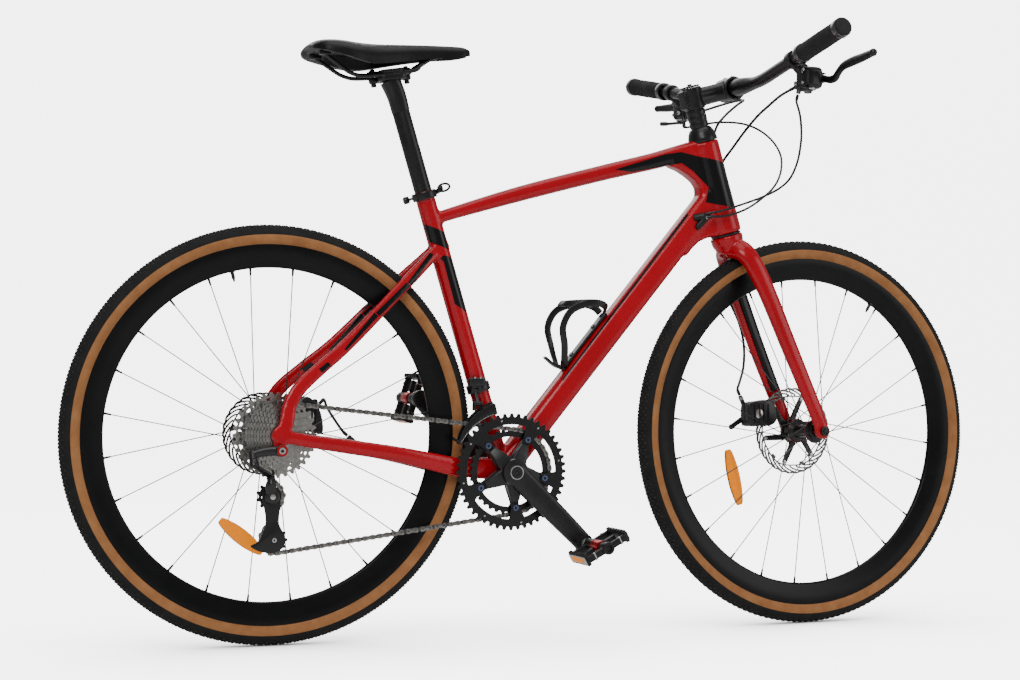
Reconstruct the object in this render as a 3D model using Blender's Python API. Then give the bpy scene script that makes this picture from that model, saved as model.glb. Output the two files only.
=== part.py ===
"""Flat-bar gravel bicycle with disc brakes, two chainrings and a wide cassette.

Metres, +Z up, +X forward, +Y to the rider's left. Everything is worked out from a point on the ground
midway between the axles, and at the end the bicycle is moved so that the origin lies under the middle
of its box. The pieces that steer are built straight ahead and hang from an empty that turns them.
"""
import math

import bmesh
import bpy
from mathutils import Matrix, Vector

# Wheels
WHEELBASE = 1.0074
TYRE_RADIUS = 0.350
TYRE_WIDTH = 0.040
TYRE_WALL = 0.0035
RIM_RADIUS = 0.3165
RIM_INNER_RADIUS = 0.2776
RIM_WIDTH = 0.026
RIM_FLANGE = 0.0025
RIM_WELL_DEPTH = 0.008
SPOKE_RADIUS = 0.0010
SPOKE_COUNT = 24
FRONT_SPOKE_START = 9.9
REAR_SPOKE_START = 7.5
HUB_FLANGE_RADIUS = 0.0215
FRONT_HUB_HALF = 0.050
REAR_HUB_HALF = 0.071
HUB_CORE_RADIUS = 0.011
FREEHUB_RADIUS = 0.0085
AXLE_RADIUS = 0.006
FRONT_ROTOR_RADIUS = 0.080
REAR_ROTOR_RADIUS = 0.070
ROTOR_THICKNESS = 0.0018
ROTOR_SEAT_RADIUS = 0.017
FRONT_ROTOR_SIDE = 0.0393
REAR_ROTOR_SIDE = 0.0520

# Frame
CHAINSTAY = 0.4155
BRACKET_DROP = 0.0645
SEAT_ANGLE = 73.0
SEAT_TUBE_LENGTH = 0.486
SEAT_TUBE_RADIUS = 0.017
SEAT_TUBE_NECK = 0.014
SEAT_BORE_DEPTH = 0.255
SEATPOST_RADIUS = 0.015
SEATPOST_TOP = 0.686
SEATPOST_INSERTION = 0.136
HEAD_ANGLE = 74.4
HEAD_TUBE_LENGTH = 0.174
HEAD_TUBE_TOP_RADIUS = 0.027
HEAD_TUBE_FOOT_RADIUS = 0.0295
HEAD_BORE_RADIUS = 0.021
DOWN_TUBE_JOIN = 0.469 * HEAD_TUBE_LENGTH
DOWN_TUBE_SIZE = 0.045
BRACKET_HALF = 0.034
BRACKET_RADIUS = 0.022
BRACKET_BORE_RADIUS = 0.0173
DROPOUT_THICKNESS = 0.007
DROPOUT_RADIUS = 0.017
JUNCTION_HALF = 0.018
HANGER_BOLT = (-0.507, 0.327)

# Fork and steering
FORK_OFFSET = 0.065
FORK_LENGTH = 0.386
STEERER_RADIUS = 0.0143
STEERER_LENGTH = 0.270
STEER_ANGLE = 5.1
LEG_THICKNESS = 0.0134
BEARING_HEIGHT = 0.0036
COVER_HEIGHT = 0.026
COVER_TOP_RADIUS = 0.0205
SPACER_HEIGHT = 0.033
SPACER_RADIUS = 0.017
STEM_LENGTH = 0.080
STEM_CLAMP_HEIGHT = 0.040
STEM_BAR_RADIUS = 0.021
BAR_CLAMP_RADIUS = 0.0159
BAR_RADIUS = 0.0111
BAR_HALF = 0.358
BAR_SLOPE = 0.2165
BAR_BEND_START = 0.075
BAR_BEND_END = 0.130
GRIP_RADIUS = 0.0155
GRIP_COLLAR_RADIUS = 0.0170
GRIP_START = 0.232
GRIP_CAP = 0.004
POD_SIDE = 0.212

# Drive
CHAIN_PITCH = 0.0127
RING_TEETH = 48
SMALL_RING_TEETH = 36
COGS = (34, 30, 27, 25, 23, 21, 19, 17, 15, 13, 11)
CHAIN_COG = COGS.index(27)
PULLEY_TEETH = 11
COG_SPACING = 0.0037
COG_THICKNESS = 0.0016
BIG_COG_SIDE = -0.029
SMALL_RING_SIDE = -0.041
BIG_RING_SIDE = -0.049
RING_THICKNESS = 0.002
CHAIN_WIDTH = 0.0052
CHAIN_HALF_HEIGHT = 0.003
CHAIN_STEP = 18.0
BOLT_CIRCLE = 0.062
SPIDER_ANGLE = 61.5
SPINDLE_RADIUS = 0.012
CRANK_LENGTH = 0.1725
CRANK_ANGLE = -45.0
CRANK_FACE = 0.0795
PEDAL_SPINDLE_RADIUS = 0.0055
PEDAL_LENGTH = 0.088
PEDAL_INNER = 0.104
PEDAL_OUTER = 0.190
RIGHT_PEDAL_TILT = 29.0
LEFT_PEDAL_TILT = 72.0
GUIDE_PULLEY = (-0.513, 0.250)
TENSION_PULLEY = (-0.506, 0.178)
CAGE_PLATE = 0.0015
PULLEY_BOLT_RADIUS = 0.0030
LINK_LENGTH = 0.054
LINK_TURN = 47.7
LINK_SLANT = 30.0

# Cables
BRAKE_CABLE_RADIUS = 0.0025
SHIFT_CABLE_RADIUS = 0.0022

# Move from the wheels' middle to the middle of the box, which the turned bar puts off centre
BOX_SHIFT = (0.0008, -0.0089, 0.0)

# Clearances between pieces
GAP = 0.0003
BORE_GAP = 0.0003

# Worked out from the sizes above
LEFT = Vector((0.0, 1.0, 0.0))
UP = Vector((0.0, 0.0, 1.0))
FORWARD = Vector((1.0, 0.0, 0.0))
ORIGIN = Vector((0.0, 0.0, 0.0))
REAR_AXLE = Vector((-WHEELBASE / 2, 0.0, TYRE_RADIUS))
FRONT_AXLE = Vector((WHEELBASE / 2, 0.0, TYRE_RADIUS))
BRACKET = Vector((REAR_AXLE.x + math.sqrt(CHAINSTAY ** 2 - BRACKET_DROP ** 2), 0.0,
                  TYRE_RADIUS - BRACKET_DROP))


def direction(degrees):
    """Unit vector in the XZ plane, at an angle above straight ahead."""
    angle = math.radians(degrees)
    return Vector((math.cos(angle), 0.0, math.sin(angle)))


SEAT_AXIS = direction(180.0 - SEAT_ANGLE)
SEAT_FORWARD = direction(90.0 - SEAT_ANGLE)
HEAD_AXIS = direction(180.0 - HEAD_ANGLE)
HEAD_FORWARD = direction(90.0 - HEAD_ANGLE)
CROWN = FRONT_AXLE - FORK_OFFSET * HEAD_FORWARD + FORK_LENGTH * HEAD_AXIS
DOWN_TUBE_LENGTH = 1.0036 * (CROWN + DOWN_TUBE_JOIN * HEAD_AXIS - BRACKET).length
DOWN_AXIS = (CROWN + DOWN_TUBE_JOIN * HEAD_AXIS - BRACKET).normalized()
DOWN_UP = DOWN_AXIS.cross(LEFT)
COVER_TOP = HEAD_TUBE_LENGTH + COVER_HEIGHT
STEM_FOOT = COVER_TOP + SPACER_HEIGHT + 2 * GAP
STEM_HEIGHT = STEM_FOOT + STEM_CLAMP_HEIGHT / 2


def head(along, out=0.0, side=0.0):
    """Point along the steering axis above the crown, ahead of it and to the left."""
    return CROWN + along * HEAD_AXIS + out * HEAD_FORWARD + side * LEFT


def seat(along, out=0.0, side=0.0):
    """Point up the seat tube from the bottom bracket, ahead of it and to the left."""
    return BRACKET + along * SEAT_AXIS + out * SEAT_FORWARD + side * LEFT


def down(along, out=0.0, side=0.0):
    """Point up the down tube from the bottom bracket, above it and to the left."""
    return BRACKET + along * DOWN_AXIS + out * DOWN_UP + side * LEFT


def between(start, end, share, lift, side=0.0):
    """Point a share of the way from start to end, raised square to that line, and to the left."""
    ahead = end - start
    return start + share * ahead + lift * ahead.normalized().cross(LEFT) + side * LEFT


def pitch_radius(teeth):
    """Radius at which a chain's pins run on a sprocket."""
    return CHAIN_PITCH / (2 * math.sin(math.pi / teeth))


def opened(radius, sides):
    """Radius of a many-sided hole whose flats clear a round piece of this radius."""
    return (radius + BORE_GAP) / math.cos(math.pi / sides)


def under_chain(teeth):
    """Radius that the engaged teeth reach inside the chain's band."""
    return (pitch_radius(teeth) - CHAIN_HALF_HEIGHT) * math.cos(math.radians(CHAIN_STEP / 2)) - 2 * GAP


def mirrored(point, hand):
    """The point as given for hand 1, and on the other side of the bicycle for hand -1."""
    return Vector((point[0], hand * point[1], point[2]))


def clear_scene():
    """Remove every object that the file holds."""
    for old in list(bpy.data.objects):
        bpy.data.objects.remove(old, do_unlink=True)


def body(mesh):
    """Put a bmesh in a temporary object, faces outward."""
    bmesh.ops.recalc_face_normals(mesh, faces=mesh.faces)
    data = bpy.data.meshes.new("body")
    mesh.to_mesh(data)
    mesh.free()
    made = bpy.data.objects.new("body", data)
    bpy.context.scene.collection.objects.link(made)
    return made


def skin(mesh, rings, closed=False):
    """Bridge rings of vertices with quads and cap the ends, or close the last ring on the first."""
    count = len(rings[0])
    pairs = list(zip(rings, rings[1:]))
    if closed:
        pairs.append((rings[-1], rings[0]))
    for first, second in pairs:
        for index in range(count):
            after = (index + 1) % count
            mesh.faces.new((first[index], first[after], second[after], second[index]))
    if not closed:
        mesh.faces.new(rings[0])
        mesh.faces.new(rings[-1])


def oblong(width, height, power, sides):
    """Points of a rounded oblong; power 2 gives an ellipse and a higher power a squarer form."""
    points = []
    for step in range(sides):
        angle = 2 * math.pi * (step + 0.5) / sides
        across = math.copysign(abs(math.cos(angle)) ** (2 / power), math.cos(angle))
        up = math.copysign(abs(math.sin(angle)) ** (2 / power), math.sin(angle))
        points.append((width / 2 * across, height / 2 * up))
    return points


def sweep(stations, power=2.0, sides=12, across=LEFT):
    """Solid through (point, width, height) stations, its widths along the across direction."""
    mesh = bmesh.new()
    points = [Vector(station[0]) for station in stations]
    rings = []
    for index, (_, width, height) in enumerate(stations):
        before = points[max(index - 1, 0)]
        after = points[min(index + 1, len(points) - 1)]
        ahead = (after - before).normalized()
        side = (across - across.dot(ahead) * ahead).normalized()
        up = side.cross(ahead)
        rings.append([mesh.verts.new(points[index] + side * a + up * b)
                      for a, b in oblong(width, height, power, sides)])
    skin(mesh, rings)
    return body(mesh)


def rod(start, end, radius, sides=12, end_radius=None):
    """Round bar or cone between two points."""
    last = radius if end_radius is None else end_radius
    ahead = (Vector(end) - Vector(start)).normalized()
    across = LEFT if abs(ahead.dot(LEFT)) < 0.9 else UP
    return sweep([(start, 2 * radius, 2 * radius), (end, 2 * last, 2 * last)], 2.0, sides, across)


def turned(profile, centre=ORIGIN, axis=LEFT, out=-UP, sides=24):
    """Solid of revolution of a closed profile of (radius, along) pairs."""
    mesh = bmesh.new()
    corners = [mesh.verts.new(centre + axis * along + out * radius) for radius, along in profile]
    edges = [mesh.edges.new((corner, corners[(index + 1) % len(corners)]))
             for index, corner in enumerate(corners)]
    bmesh.ops.spin(mesh, geom=corners + edges, cent=centre, axis=axis, angle=2 * math.pi,
                   steps=sides, use_merge=True)
    bmesh.ops.remove_doubles(mesh, verts=mesh.verts, dist=1e-6)
    on_axis = [edge for edge in mesh.edges if not edge.link_faces]
    bmesh.ops.delete(mesh, geom=on_axis, context="EDGES")
    return body(mesh)


def disc(centre, radius, low, high, sides=24, axis=LEFT, out=-UP):
    """Cylinder about an axis, from low to high along it."""
    return turned([(0.0, low), (radius, low), (radius, high), (0.0, high)], centre, axis, out, sides)


def ring(centre, inner, outer, low, high, sides=24, axis=LEFT, out=-UP):
    """Flat-faced ring about an axis."""
    profile = [(inner, low), (outer, low), (outer, high), (inner, high)]
    return turned(profile, centre, axis, out, sides)


def plate(outline, low, high, bevel=0.0):
    """Flat piece: an outline of (x, z) points, extruded along Y from low to high."""
    mesh = bmesh.new()
    face = mesh.faces.new([mesh.verts.new((x, low, z)) for x, z in outline])
    extruded = bmesh.ops.extrude_face_region(mesh, geom=[face])
    moved = [item for item in extruded["geom"] if isinstance(item, bmesh.types.BMVert)]
    bmesh.ops.translate(mesh, verts=moved, vec=(0.0, high - low, 0.0))
    if bevel:
        rims = [edge for edge in mesh.edges if abs(edge.verts[0].co.y - edge.verts[1].co.y) < 1e-7]
        bmesh.ops.bevel(mesh, geom=rims, offset=bevel, segments=1, affect="EDGES", profile=0.5)
    return body(mesh)


def block(centre, size, bevel=0.0, turn=None):
    """Box with bevelled edges, turned about its centre by a 3 by 3 matrix."""
    mesh = bmesh.new()
    bmesh.ops.create_cube(mesh, size=1.0)
    bmesh.ops.scale(mesh, vec=size, verts=mesh.verts)
    if bevel:
        bmesh.ops.bevel(mesh, geom=list(mesh.edges), offset=bevel, segments=1, affect="EDGES",
                        profile=0.5)
    if turn is not None:
        bmesh.ops.rotate(mesh, cent=ORIGIN, matrix=turn, verts=mesh.verts)
    bmesh.ops.translate(mesh, vec=centre, verts=mesh.verts)
    return body(mesh)


def combine(target, others, operation):
    """Apply one exact Boolean for each operand, and remove the operands."""
    for other in others:
        modifier = target.modifiers.new("combine", "BOOLEAN")
        modifier.operation = operation
        modifier.object = other
        modifier.solver = "EXACT"
        graph = bpy.context.evaluated_depsgraph_get()
        result = bpy.data.meshes.new_from_object(target.evaluated_get(graph))
        target.modifiers.clear()
        target.data = result
        bpy.data.objects.remove(other, do_unlink=True)


def clean(made):
    """Merge the points that a Boolean leaves within a hundredth of a millimetre, and fill slivers."""
    mesh = bmesh.new()
    mesh.from_mesh(made.data)
    bmesh.ops.remove_doubles(mesh, verts=mesh.verts, dist=2e-5)
    bmesh.ops.dissolve_degenerate(mesh, edges=mesh.edges, dist=1e-5)
    open_edges = [edge for edge in mesh.edges if len(edge.link_faces) == 1]
    bmesh.ops.holes_fill(mesh, edges=open_edges, sides=6)
    bmesh.ops.recalc_face_normals(mesh, faces=mesh.faces)
    mesh.to_mesh(made.data)
    mesh.free()


def finish(name, colour, roughness, metallic):
    """Material of one piece."""
    material = bpy.data.materials.new(name)
    material.use_nodes = True
    shader = material.node_tree.nodes["Principled BSDF"]
    shader.inputs["Base Color"].default_value = (*colour, 1.0)
    shader.inputs["Roughness"].default_value = roughness
    shader.inputs["Metallic"].default_value = metallic
    return material


RED = ((0.55, 0.006, 0.012), 0.22, 0.0)
BLACK = ((0.012, 0.012, 0.013), 0.38, 0.0)
RUBBER = ((0.02, 0.02, 0.02), 0.85, 0.0)
STEEL = ((0.55, 0.55, 0.53), 0.32, 1.0)
GREY = ((0.09, 0.09, 0.095), 0.35, 0.6)


def place(made, name, look, origin, parent):
    """Name a finished object, give it its material, and move its origin to its joint's axis."""
    made.name = name
    made.data.name = name
    made.data.materials.clear()
    made.data.materials.append(finish(name, *look))
    made.data.transform(Matrix.Translation(-origin))
    made.location = origin - parent.location if parent else origin
    made.parent = parent
    return made


def piece(name, look, bodies, cuts=(), origin=ORIGIN, parent=None):
    """Join bodies into one solid, cut it, and place it as a named piece."""
    made = bodies[0]
    combine(made, bodies[1:], "UNION")
    combine(made, cuts, "DIFFERENCE")
    if len(bodies) > 1 or cuts:
        clean(made)
    made.data.shade_smooth()
    made.data.set_sharp_from_angle(angle=math.radians(35))
    return place(made, name, look, origin, parent)


def smooth_route(points, spacing):
    """Catmull-Rom curve through a route's points, read at an even spacing along it."""
    route = [Vector(point) for point in points]
    padded = [2 * route[0] - route[1]] + route + [2 * route[-1] - route[-2]]
    fine = []
    for span in range(len(route) - 1):
        a, b, c, d = padded[span:span + 4]
        for step in range(40):
            t = step / 40
            fine.append(0.5 * (2 * b + (c - a) * t + (2 * a - 5 * b + 4 * c - d) * t ** 2
                               + (3 * b - a - 3 * c + d) * t ** 3))
    fine.append(route[-1])
    travelled = [0.0]
    for before, after in zip(fine, fine[1:]):
        travelled.append(travelled[-1] + (after - before).length)
    steps = round(travelled[-1] / spacing)
    read = [route[0]]
    for step in range(1, steps):
        wanted = travelled[-1] * step / steps
        index = next(i for i, value in enumerate(travelled) if value >= wanted)
        share = (wanted - travelled[index - 1]) / (travelled[index] - travelled[index - 1])
        read.append(fine[index - 1].lerp(fine[index], share))
    return read + [route[-1]]


def cable(name, points, radius, parent=None):
    """Housing along a route, as a bevelled curve with filled ends and a point every third diameter."""
    origin = parent.location if parent else ORIGIN
    curve = bpy.data.curves.new(name, "CURVE")
    curve.dimensions = "3D"
    curve.bevel_depth = radius
    curve.bevel_resolution = 2
    curve.use_fill_caps = True
    route = smooth_route(points, 6 * radius)
    spline = curve.splines.new("POLY")
    spline.points.add(len(route) - 1)
    for point, value in zip(spline.points, route):
        point.co = (*(value - origin), 1.0)
    curve.materials.append(finish(name, *BLACK))
    made = bpy.data.objects.new(name, curve)
    made.parent = parent
    bpy.context.scene.collection.objects.link(made)
    return made


def steered(point):
    """Where a point of the straight-ahead steering lies once the fork is turned to its rest angle."""
    turn = Matrix.Rotation(math.radians(STEER_ANGLE), 3, HEAD_AXIS)
    return CROWN + turn @ (Vector(point) - CROWN)


# Frame

# Stay stations: share of the way forward from the rear axle, lift, side, width across, height
CHAINSTAY_ROUTE = (
    (0.983, 0.0014, 0.0270, 0.0100, 0.038), (0.796, -0.0053, 0.0330, 0.0110, 0.035),
    (0.735, -0.0057, 0.0380, 0.0120, 0.033), (0.509, -0.0002, 0.0530, 0.0150, 0.027),
    (0.292, -0.0002, 0.0600, 0.0150, 0.025), (0.144, -0.0013, 0.0680, 0.0110, 0.023),
)
SEATSTAY_TOP = SEAT_TUBE_LENGTH - 0.0775
SEATSTAY_ROUTE = (
    (1.000, 0.0000, 0.0050, 0.0120, 0.022), (0.726, 0.0079, 0.0305, 0.0120, 0.023),
    (0.440, 0.0147, 0.0460, 0.0120, 0.023), (0.284, 0.0239, 0.0560, 0.0120, 0.024),
    (0.174, 0.0288, 0.0630, 0.0120, 0.025), (0.106, 0.0223, 0.0670, 0.0110, 0.025),
    (0.052, 0.0088, 0.0732, 0.0078, 0.026),
)
# Top tube stations: share of the way from its rear end to its front end, lift, width across, height
TOP_TUBE_REAR = SEAT_TUBE_LENGTH - 0.0378
TOP_TUBE_FRONT = HEAD_TUBE_LENGTH - 0.0080
TOP_TUBE_ROUTE = (
    (0.000, 0.0000, 0.028, 0.0200), (0.073, 0.0031, 0.030, 0.0215), (0.326, 0.0050, 0.035, 0.0270),
    (0.611, 0.0024, 0.036, 0.0280), (0.796, -0.0012, 0.036, 0.0300), (0.871, -0.0010, 0.036, 0.0310),
    (0.946, -0.0004, 0.036, 0.0310), (1.000, 0.0000, 0.036, 0.0310),
)
# Web between top, down and head tubes, with the rounded corner of the main triangle, as shares of the
# head tube's length above the crown and places ahead of the steering axis
JUNCTION_OUTLINE = (
    (0.841, -0.0789), (0.780, -0.0631), (0.705, -0.0501), (0.628, -0.0393), (0.555, -0.0346),
    (0.487, -0.0369), (0.415, -0.0476), (0.291, -0.0744), (0.079, -0.1024), (-0.091, -0.0930),
    (-0.044, -0.0814), (0.018, -0.0607), (0.032, -0.0434), (0.024, -0.0292), (0.054, -0.0050),
    (0.795, 0.0020), (0.951, -0.0320), (0.941, -0.0709),
)
RIGHT_PORT = (head(0.273 * HEAD_TUBE_LENGTH, -0.0691, -0.0160),
              head(0.266 * HEAD_TUBE_LENGTH, -0.0456, -0.0290))
PORT_SPREAD = 0.0034
LEFT_PORT = (head(0.401 * HEAD_TUBE_LENGTH, -0.0317, 0.0150),
             head(0.504 * HEAD_TUBE_LENGTH, -0.0085, 0.0310))
STAY_PORT = (between(REAR_AXLE, BRACKET, 0.412, 0.0026, 0.0560),
             between(REAR_AXLE, BRACKET, 0.363, 0.0176, 0.0620))


def stay(joint, route, hand, axle_side):
    """One stay, from its joint with the frame to the foot that joins it to its dropout."""
    stations = [(between(REAR_AXLE, joint, share, lift, hand * side), width, height)
                for share, lift, side, width, height in route]
    foot = Vector((REAR_AXLE.x, hand * axle_side, REAR_AXLE.z))
    approach = stations[-1][0] - foot
    approach.y = 0.0
    for reach in (DROPOUT_RADIUS + 0.002, 0.0):
        stations.append((foot + approach.normalized() * reach, DROPOUT_THICKNESS - 0.0002, route[-1][-1]))
    return sweep(stations, 2.6, 8)


def dropout(hand):
    """Plate at the rear axle, with the derailleur hanger on the right."""
    low, high = sorted((hand * REAR_HUB_HALF, hand * (REAR_HUB_HALF + DROPOUT_THICKNESS)))
    return disc(REAR_AXLE, DROPOUT_RADIUS, low, high, 16)


def hanger():
    """Tongue below the right dropout that carries the rear derailleur."""
    x, z = HANGER_BOLT
    outline = ((x - 0.010, REAR_AXLE.z), (x + 0.010, REAR_AXLE.z), (x + 0.009, z - 0.003),
               (x + 0.004, z - 0.009), (x - 0.004, z - 0.009), (x - 0.009, z - 0.003))
    return plate(outline, -REAR_HUB_HALF - DROPOUT_THICKNESS + 0.0006, -REAR_HUB_HALF - 0.0003)


def frame():
    """Frame, dropouts, hanger and cable ports in one welded piece."""
    head_tube = turned([(0.0, BEARING_HEIGHT), (HEAD_TUBE_FOOT_RADIUS, BEARING_HEIGHT),
                        (HEAD_TUBE_FOOT_RADIUS, 0.115 * HEAD_TUBE_LENGTH),
                        (HEAD_TUBE_TOP_RADIUS, 0.575 * HEAD_TUBE_LENGTH),
                        (HEAD_TUBE_TOP_RADIUS, HEAD_TUBE_LENGTH + 0.002),
                        (0.0, HEAD_TUBE_LENGTH + 0.002)], CROWN, HEAD_AXIS, HEAD_FORWARD, 20)
    seat_tube = rod(seat(0.0), seat(SEAT_TUBE_LENGTH), SEAT_TUBE_RADIUS, 16)
    neck = rod(seat(SEAT_TUBE_LENGTH - 0.02), seat(SEAT_TUBE_LENGTH + SEAT_TUBE_NECK),
               SEAT_TUBE_RADIUS - 0.0005, 16)
    down_tube = sweep([(down(0.0), DOWN_TUBE_SIZE + 0.003, DOWN_TUBE_SIZE),
                       (down(0.3), DOWN_TUBE_SIZE, DOWN_TUBE_SIZE),
                       (down(DOWN_TUBE_LENGTH), DOWN_TUBE_SIZE, DOWN_TUBE_SIZE)], 3.6, 12)
    shell = disc(BRACKET, BRACKET_RADIUS, -BRACKET_HALF, BRACKET_HALF, 20)
    top_rear, top_front = seat(TOP_TUBE_REAR, -0.0039), head(TOP_TUBE_FRONT, -0.0007)
    top_tube = sweep([(between(top_rear, top_front, share, lift), width, height)
                      for share, lift, width, height in TOP_TUBE_ROUTE], 2.8, 12)
    web = [head(share * HEAD_TUBE_LENGTH, out) for share, out in JUNCTION_OUTLINE]
    junction = plate([(corner.x, corner.z) for corner in web], -JUNCTION_HALF, JUNCTION_HALF, 0.005)
    bodies = [down_tube, head_tube, top_tube, junction, seat_tube, neck, shell]
    axle_side = REAR_HUB_HALF + DROPOUT_THICKNESS / 2
    for hand in (-1, 1):
        bodies.append(stay(BRACKET, CHAINSTAY_ROUTE, hand, axle_side))
        bodies.append(stay(seat(SEATSTAY_TOP, 0.0132), SEATSTAY_ROUTE, hand, axle_side))
        bodies.append(dropout(hand))
    bodies.append(hanger())
    bodies.append(rod(*RIGHT_PORT, 0.0070, 8))
    bodies.append(rod(*LEFT_PORT, 0.0050, 8))
    bodies.append(rod(*STAY_PORT, 0.0050, 8))
    reach = REAR_HUB_HALF + 2 * DROPOUT_THICKNESS
    cuts = [
        disc(CROWN, opened(HEAD_BORE_RADIUS, 16), -0.02, 2 * HEAD_TUBE_LENGTH, 16, HEAD_AXIS, HEAD_FORWARD),
        disc(CROWN, opened(HEAD_TUBE_TOP_RADIUS, 20), HEAD_TUBE_LENGTH, 2 * HEAD_TUBE_LENGTH, 20,
             HEAD_AXIS, HEAD_FORWARD),
        disc(BRACKET, opened(BRACKET_BORE_RADIUS, 16), -0.05, 0.05, 16),
        disc(BRACKET, opened(SEATPOST_RADIUS, 16), SEAT_TUBE_LENGTH + SEAT_TUBE_NECK
             - SEAT_BORE_DEPTH, SEAT_TUBE_LENGTH + 0.05, 16, SEAT_AXIS, SEAT_FORWARD),
        disc(REAR_AXLE, opened(AXLE_RADIUS, 12), -reach, reach, 12),
    ]
    return piece("frame", RED, bodies, cuts)


def headset():
    """Lower bearing under the head tube, and the conical cover that holds the upper bearing."""
    inner = opened(STEERER_RADIUS, 16)
    cup = HEAD_BORE_RADIUS
    lower = [(inner, GAP), (HEAD_TUBE_FOOT_RADIUS - 0.002, GAP),
             (HEAD_TUBE_FOOT_RADIUS - 0.002, BEARING_HEIGHT - GAP), (cup, BEARING_HEIGHT - GAP),
             (cup, BEARING_HEIGHT + 0.008), (inner, BEARING_HEIGHT + 0.008)]
    piece("headset_lower_bearing", STEEL, [turned(lower, CROWN, HEAD_AXIS, HEAD_FORWARD, 16)])
    foot = HEAD_TUBE_LENGTH + GAP
    upper = [(inner, foot - 0.012), (cup, foot - 0.012), (cup, foot), (HEAD_TUBE_TOP_RADIUS, foot),
             (HEAD_TUBE_TOP_RADIUS - 0.001, foot + 0.008), (COVER_TOP_RADIUS + 0.002, COVER_TOP - 0.004),
             (COVER_TOP_RADIUS, COVER_TOP), (inner, COVER_TOP)]
    piece("headset_cover", BLACK, [turned(upper, CROWN, HEAD_AXIS, HEAD_FORWARD, 16)])


# Seat

SADDLE_TILT = 9.0
RAIL_RADIUS = 0.0035
RAIL_SPACING = 0.0220
CLAMP_AHEAD = 0.0130
RAIL_CENTRE = Vector((-0.315, 0.0, 0.9588))
# Left half of the rails, from the rear socket to the loop under the nose
RAIL_ROUTE = (
    (-0.4250, 0.0300, 0.9865), (-0.4020, 0.0275, 0.9715), (-0.3760, 0.0235, 0.9565),
    (-0.3450, 0.0220, 0.9540), (-0.2680, 0.0220, 0.9662), (-0.2520, 0.0180, 0.9765),
    (-0.2350, 0.0115, 0.9875), (-0.2180, 0.0075, 0.9955), (-0.2100, 0.0000, 0.9970),
)
# Saddle stations: x, half width, top, lip, underside
SADDLE_STATIONS = (
    (-0.447, 0.040, 1.0000, 0.9920, 0.9960), (-0.441, 0.056, 1.0060, 0.9890, 0.9960),
    (-0.430, 0.068, 1.0100, 0.9860, 0.9905), (-0.412, 0.072, 1.0120, 0.9820, 0.9905),
    (-0.392, 0.072, 1.0120, 0.9780, 0.9930), (-0.370, 0.067, 1.0105, 0.9730, 0.9930),
    (-0.345, 0.055, 1.0100, 0.9705, 0.9940), (-0.320, 0.043, 1.0105, 0.9735, 0.9950),
    (-0.290, 0.032, 1.0120, 0.9790, 0.9970), (-0.255, 0.0245, 1.0135, 0.9850, 1.0000),
    (-0.220, 0.0210, 1.0145, 0.9900, 1.0010), (-0.190, 0.0195, 1.0150, 0.9930, 1.0020),
    (-0.172, 0.0175, 1.0145, 0.9960, 1.0050), (-0.160, 0.0110, 1.0110, 0.9990, 1.0040),
)


def saddle_section(half, top, lip, under):
    """Crowned top from lip to lip, and a hollow underside, as (across, up) pairs."""
    points = []
    steps = 12
    for step in range(steps + 1):
        angle = math.pi * step / steps
        rise = math.sin(angle) ** 0.62
        points.append((half * math.cos(angle), lip + (top - lip) * rise))
    for share, height in ((-0.80, lip + 0.001), (-0.62, under), (0.0, under), (0.62, under),
                          (0.80, lip + 0.001)):
        points.append((half * share, height))
    return points


def saddle():
    """Padded saddle with a crowned top and drawn-in sides."""
    mesh = bmesh.new()
    rings = []
    for x, half, top, lip, under in SADDLE_STATIONS:
        rings.append([mesh.verts.new((x, across, up))
                      for across, up in saddle_section(half, top, lip, under)])
    skin(mesh, rings)
    piece("saddle", BLACK, [body(mesh)], origin=seat(SEATPOST_TOP))


def saddle_rails():
    """One bent wire: both rails and the loop under the nose."""
    left = [Vector(point) for point in RAIL_ROUTE]
    right = [mirrored(point, -1) for point in reversed(left[:-1])]
    stations = [(point, 2 * RAIL_RADIUS, 2 * RAIL_RADIUS) for point in left + right]
    mesh = sweep(stations, 2.0, 8, UP)
    piece("saddle_rails", BLACK, [mesh], origin=seat(SEATPOST_TOP))


def seatpost():
    """Post with the lower rail cradle, and the upper clamp plate that its bolt pulls down."""
    tilt = Matrix.Rotation(math.radians(-SADDLE_TILT), 3, "Y")
    level = tilt @ UP
    ahead = tilt @ FORWARD
    middle = RAIL_CENTRE + CLAMP_AHEAD * ahead
    bottom = SEAT_TUBE_LENGTH - SEATPOST_INSERTION
    size = (0.054, 0.054, 0.0115)
    cradle = block(middle - level * (GAP + size[2] / 2), size, 0.002, tilt)
    post = rod(seat(bottom), seat(SEATPOST_TOP - 0.030), SEATPOST_RADIUS, 16)
    neck = rod(seat(SEATPOST_TOP - 0.035), seat(SEATPOST_TOP + 0.012), 0.0145, 12)
    pocket = rod(middle - level * 0.014, middle + level * 0.02, opened(0.0040, 8), 8)
    piece("seatpost", BLACK, [post, neck, cradle], [pocket] + rail_grooves(middle, ahead),
          origin=seat(SEATPOST_TOP))
    top = block(middle + level * (GAP + 0.0035), (0.046, 0.054, 0.0070), 0.002, tilt)
    bolt = rod(middle - level * 0.0135, middle + level * 0.004, 0.0040, 8)
    piece("saddle_clamp", STEEL, [top, bolt], rail_grooves(middle, ahead), origin=seat(SEATPOST_TOP))


def rail_grooves(middle, ahead):
    """Cutters for the two grooves that the rails lie in."""
    reach = ahead * 0.04
    radius = opened(RAIL_RADIUS, 10)
    return [rod(middle - reach + LEFT * hand * RAIL_SPACING, middle + reach + LEFT * hand * RAIL_SPACING,
                radius, 10) for hand in (-1, 1)]


SKEWER_SIDE = 0.0250
CLAMP_FOOT = SEAT_TUBE_LENGTH + GAP
CLAMP_HEIGHT = 0.0135


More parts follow.
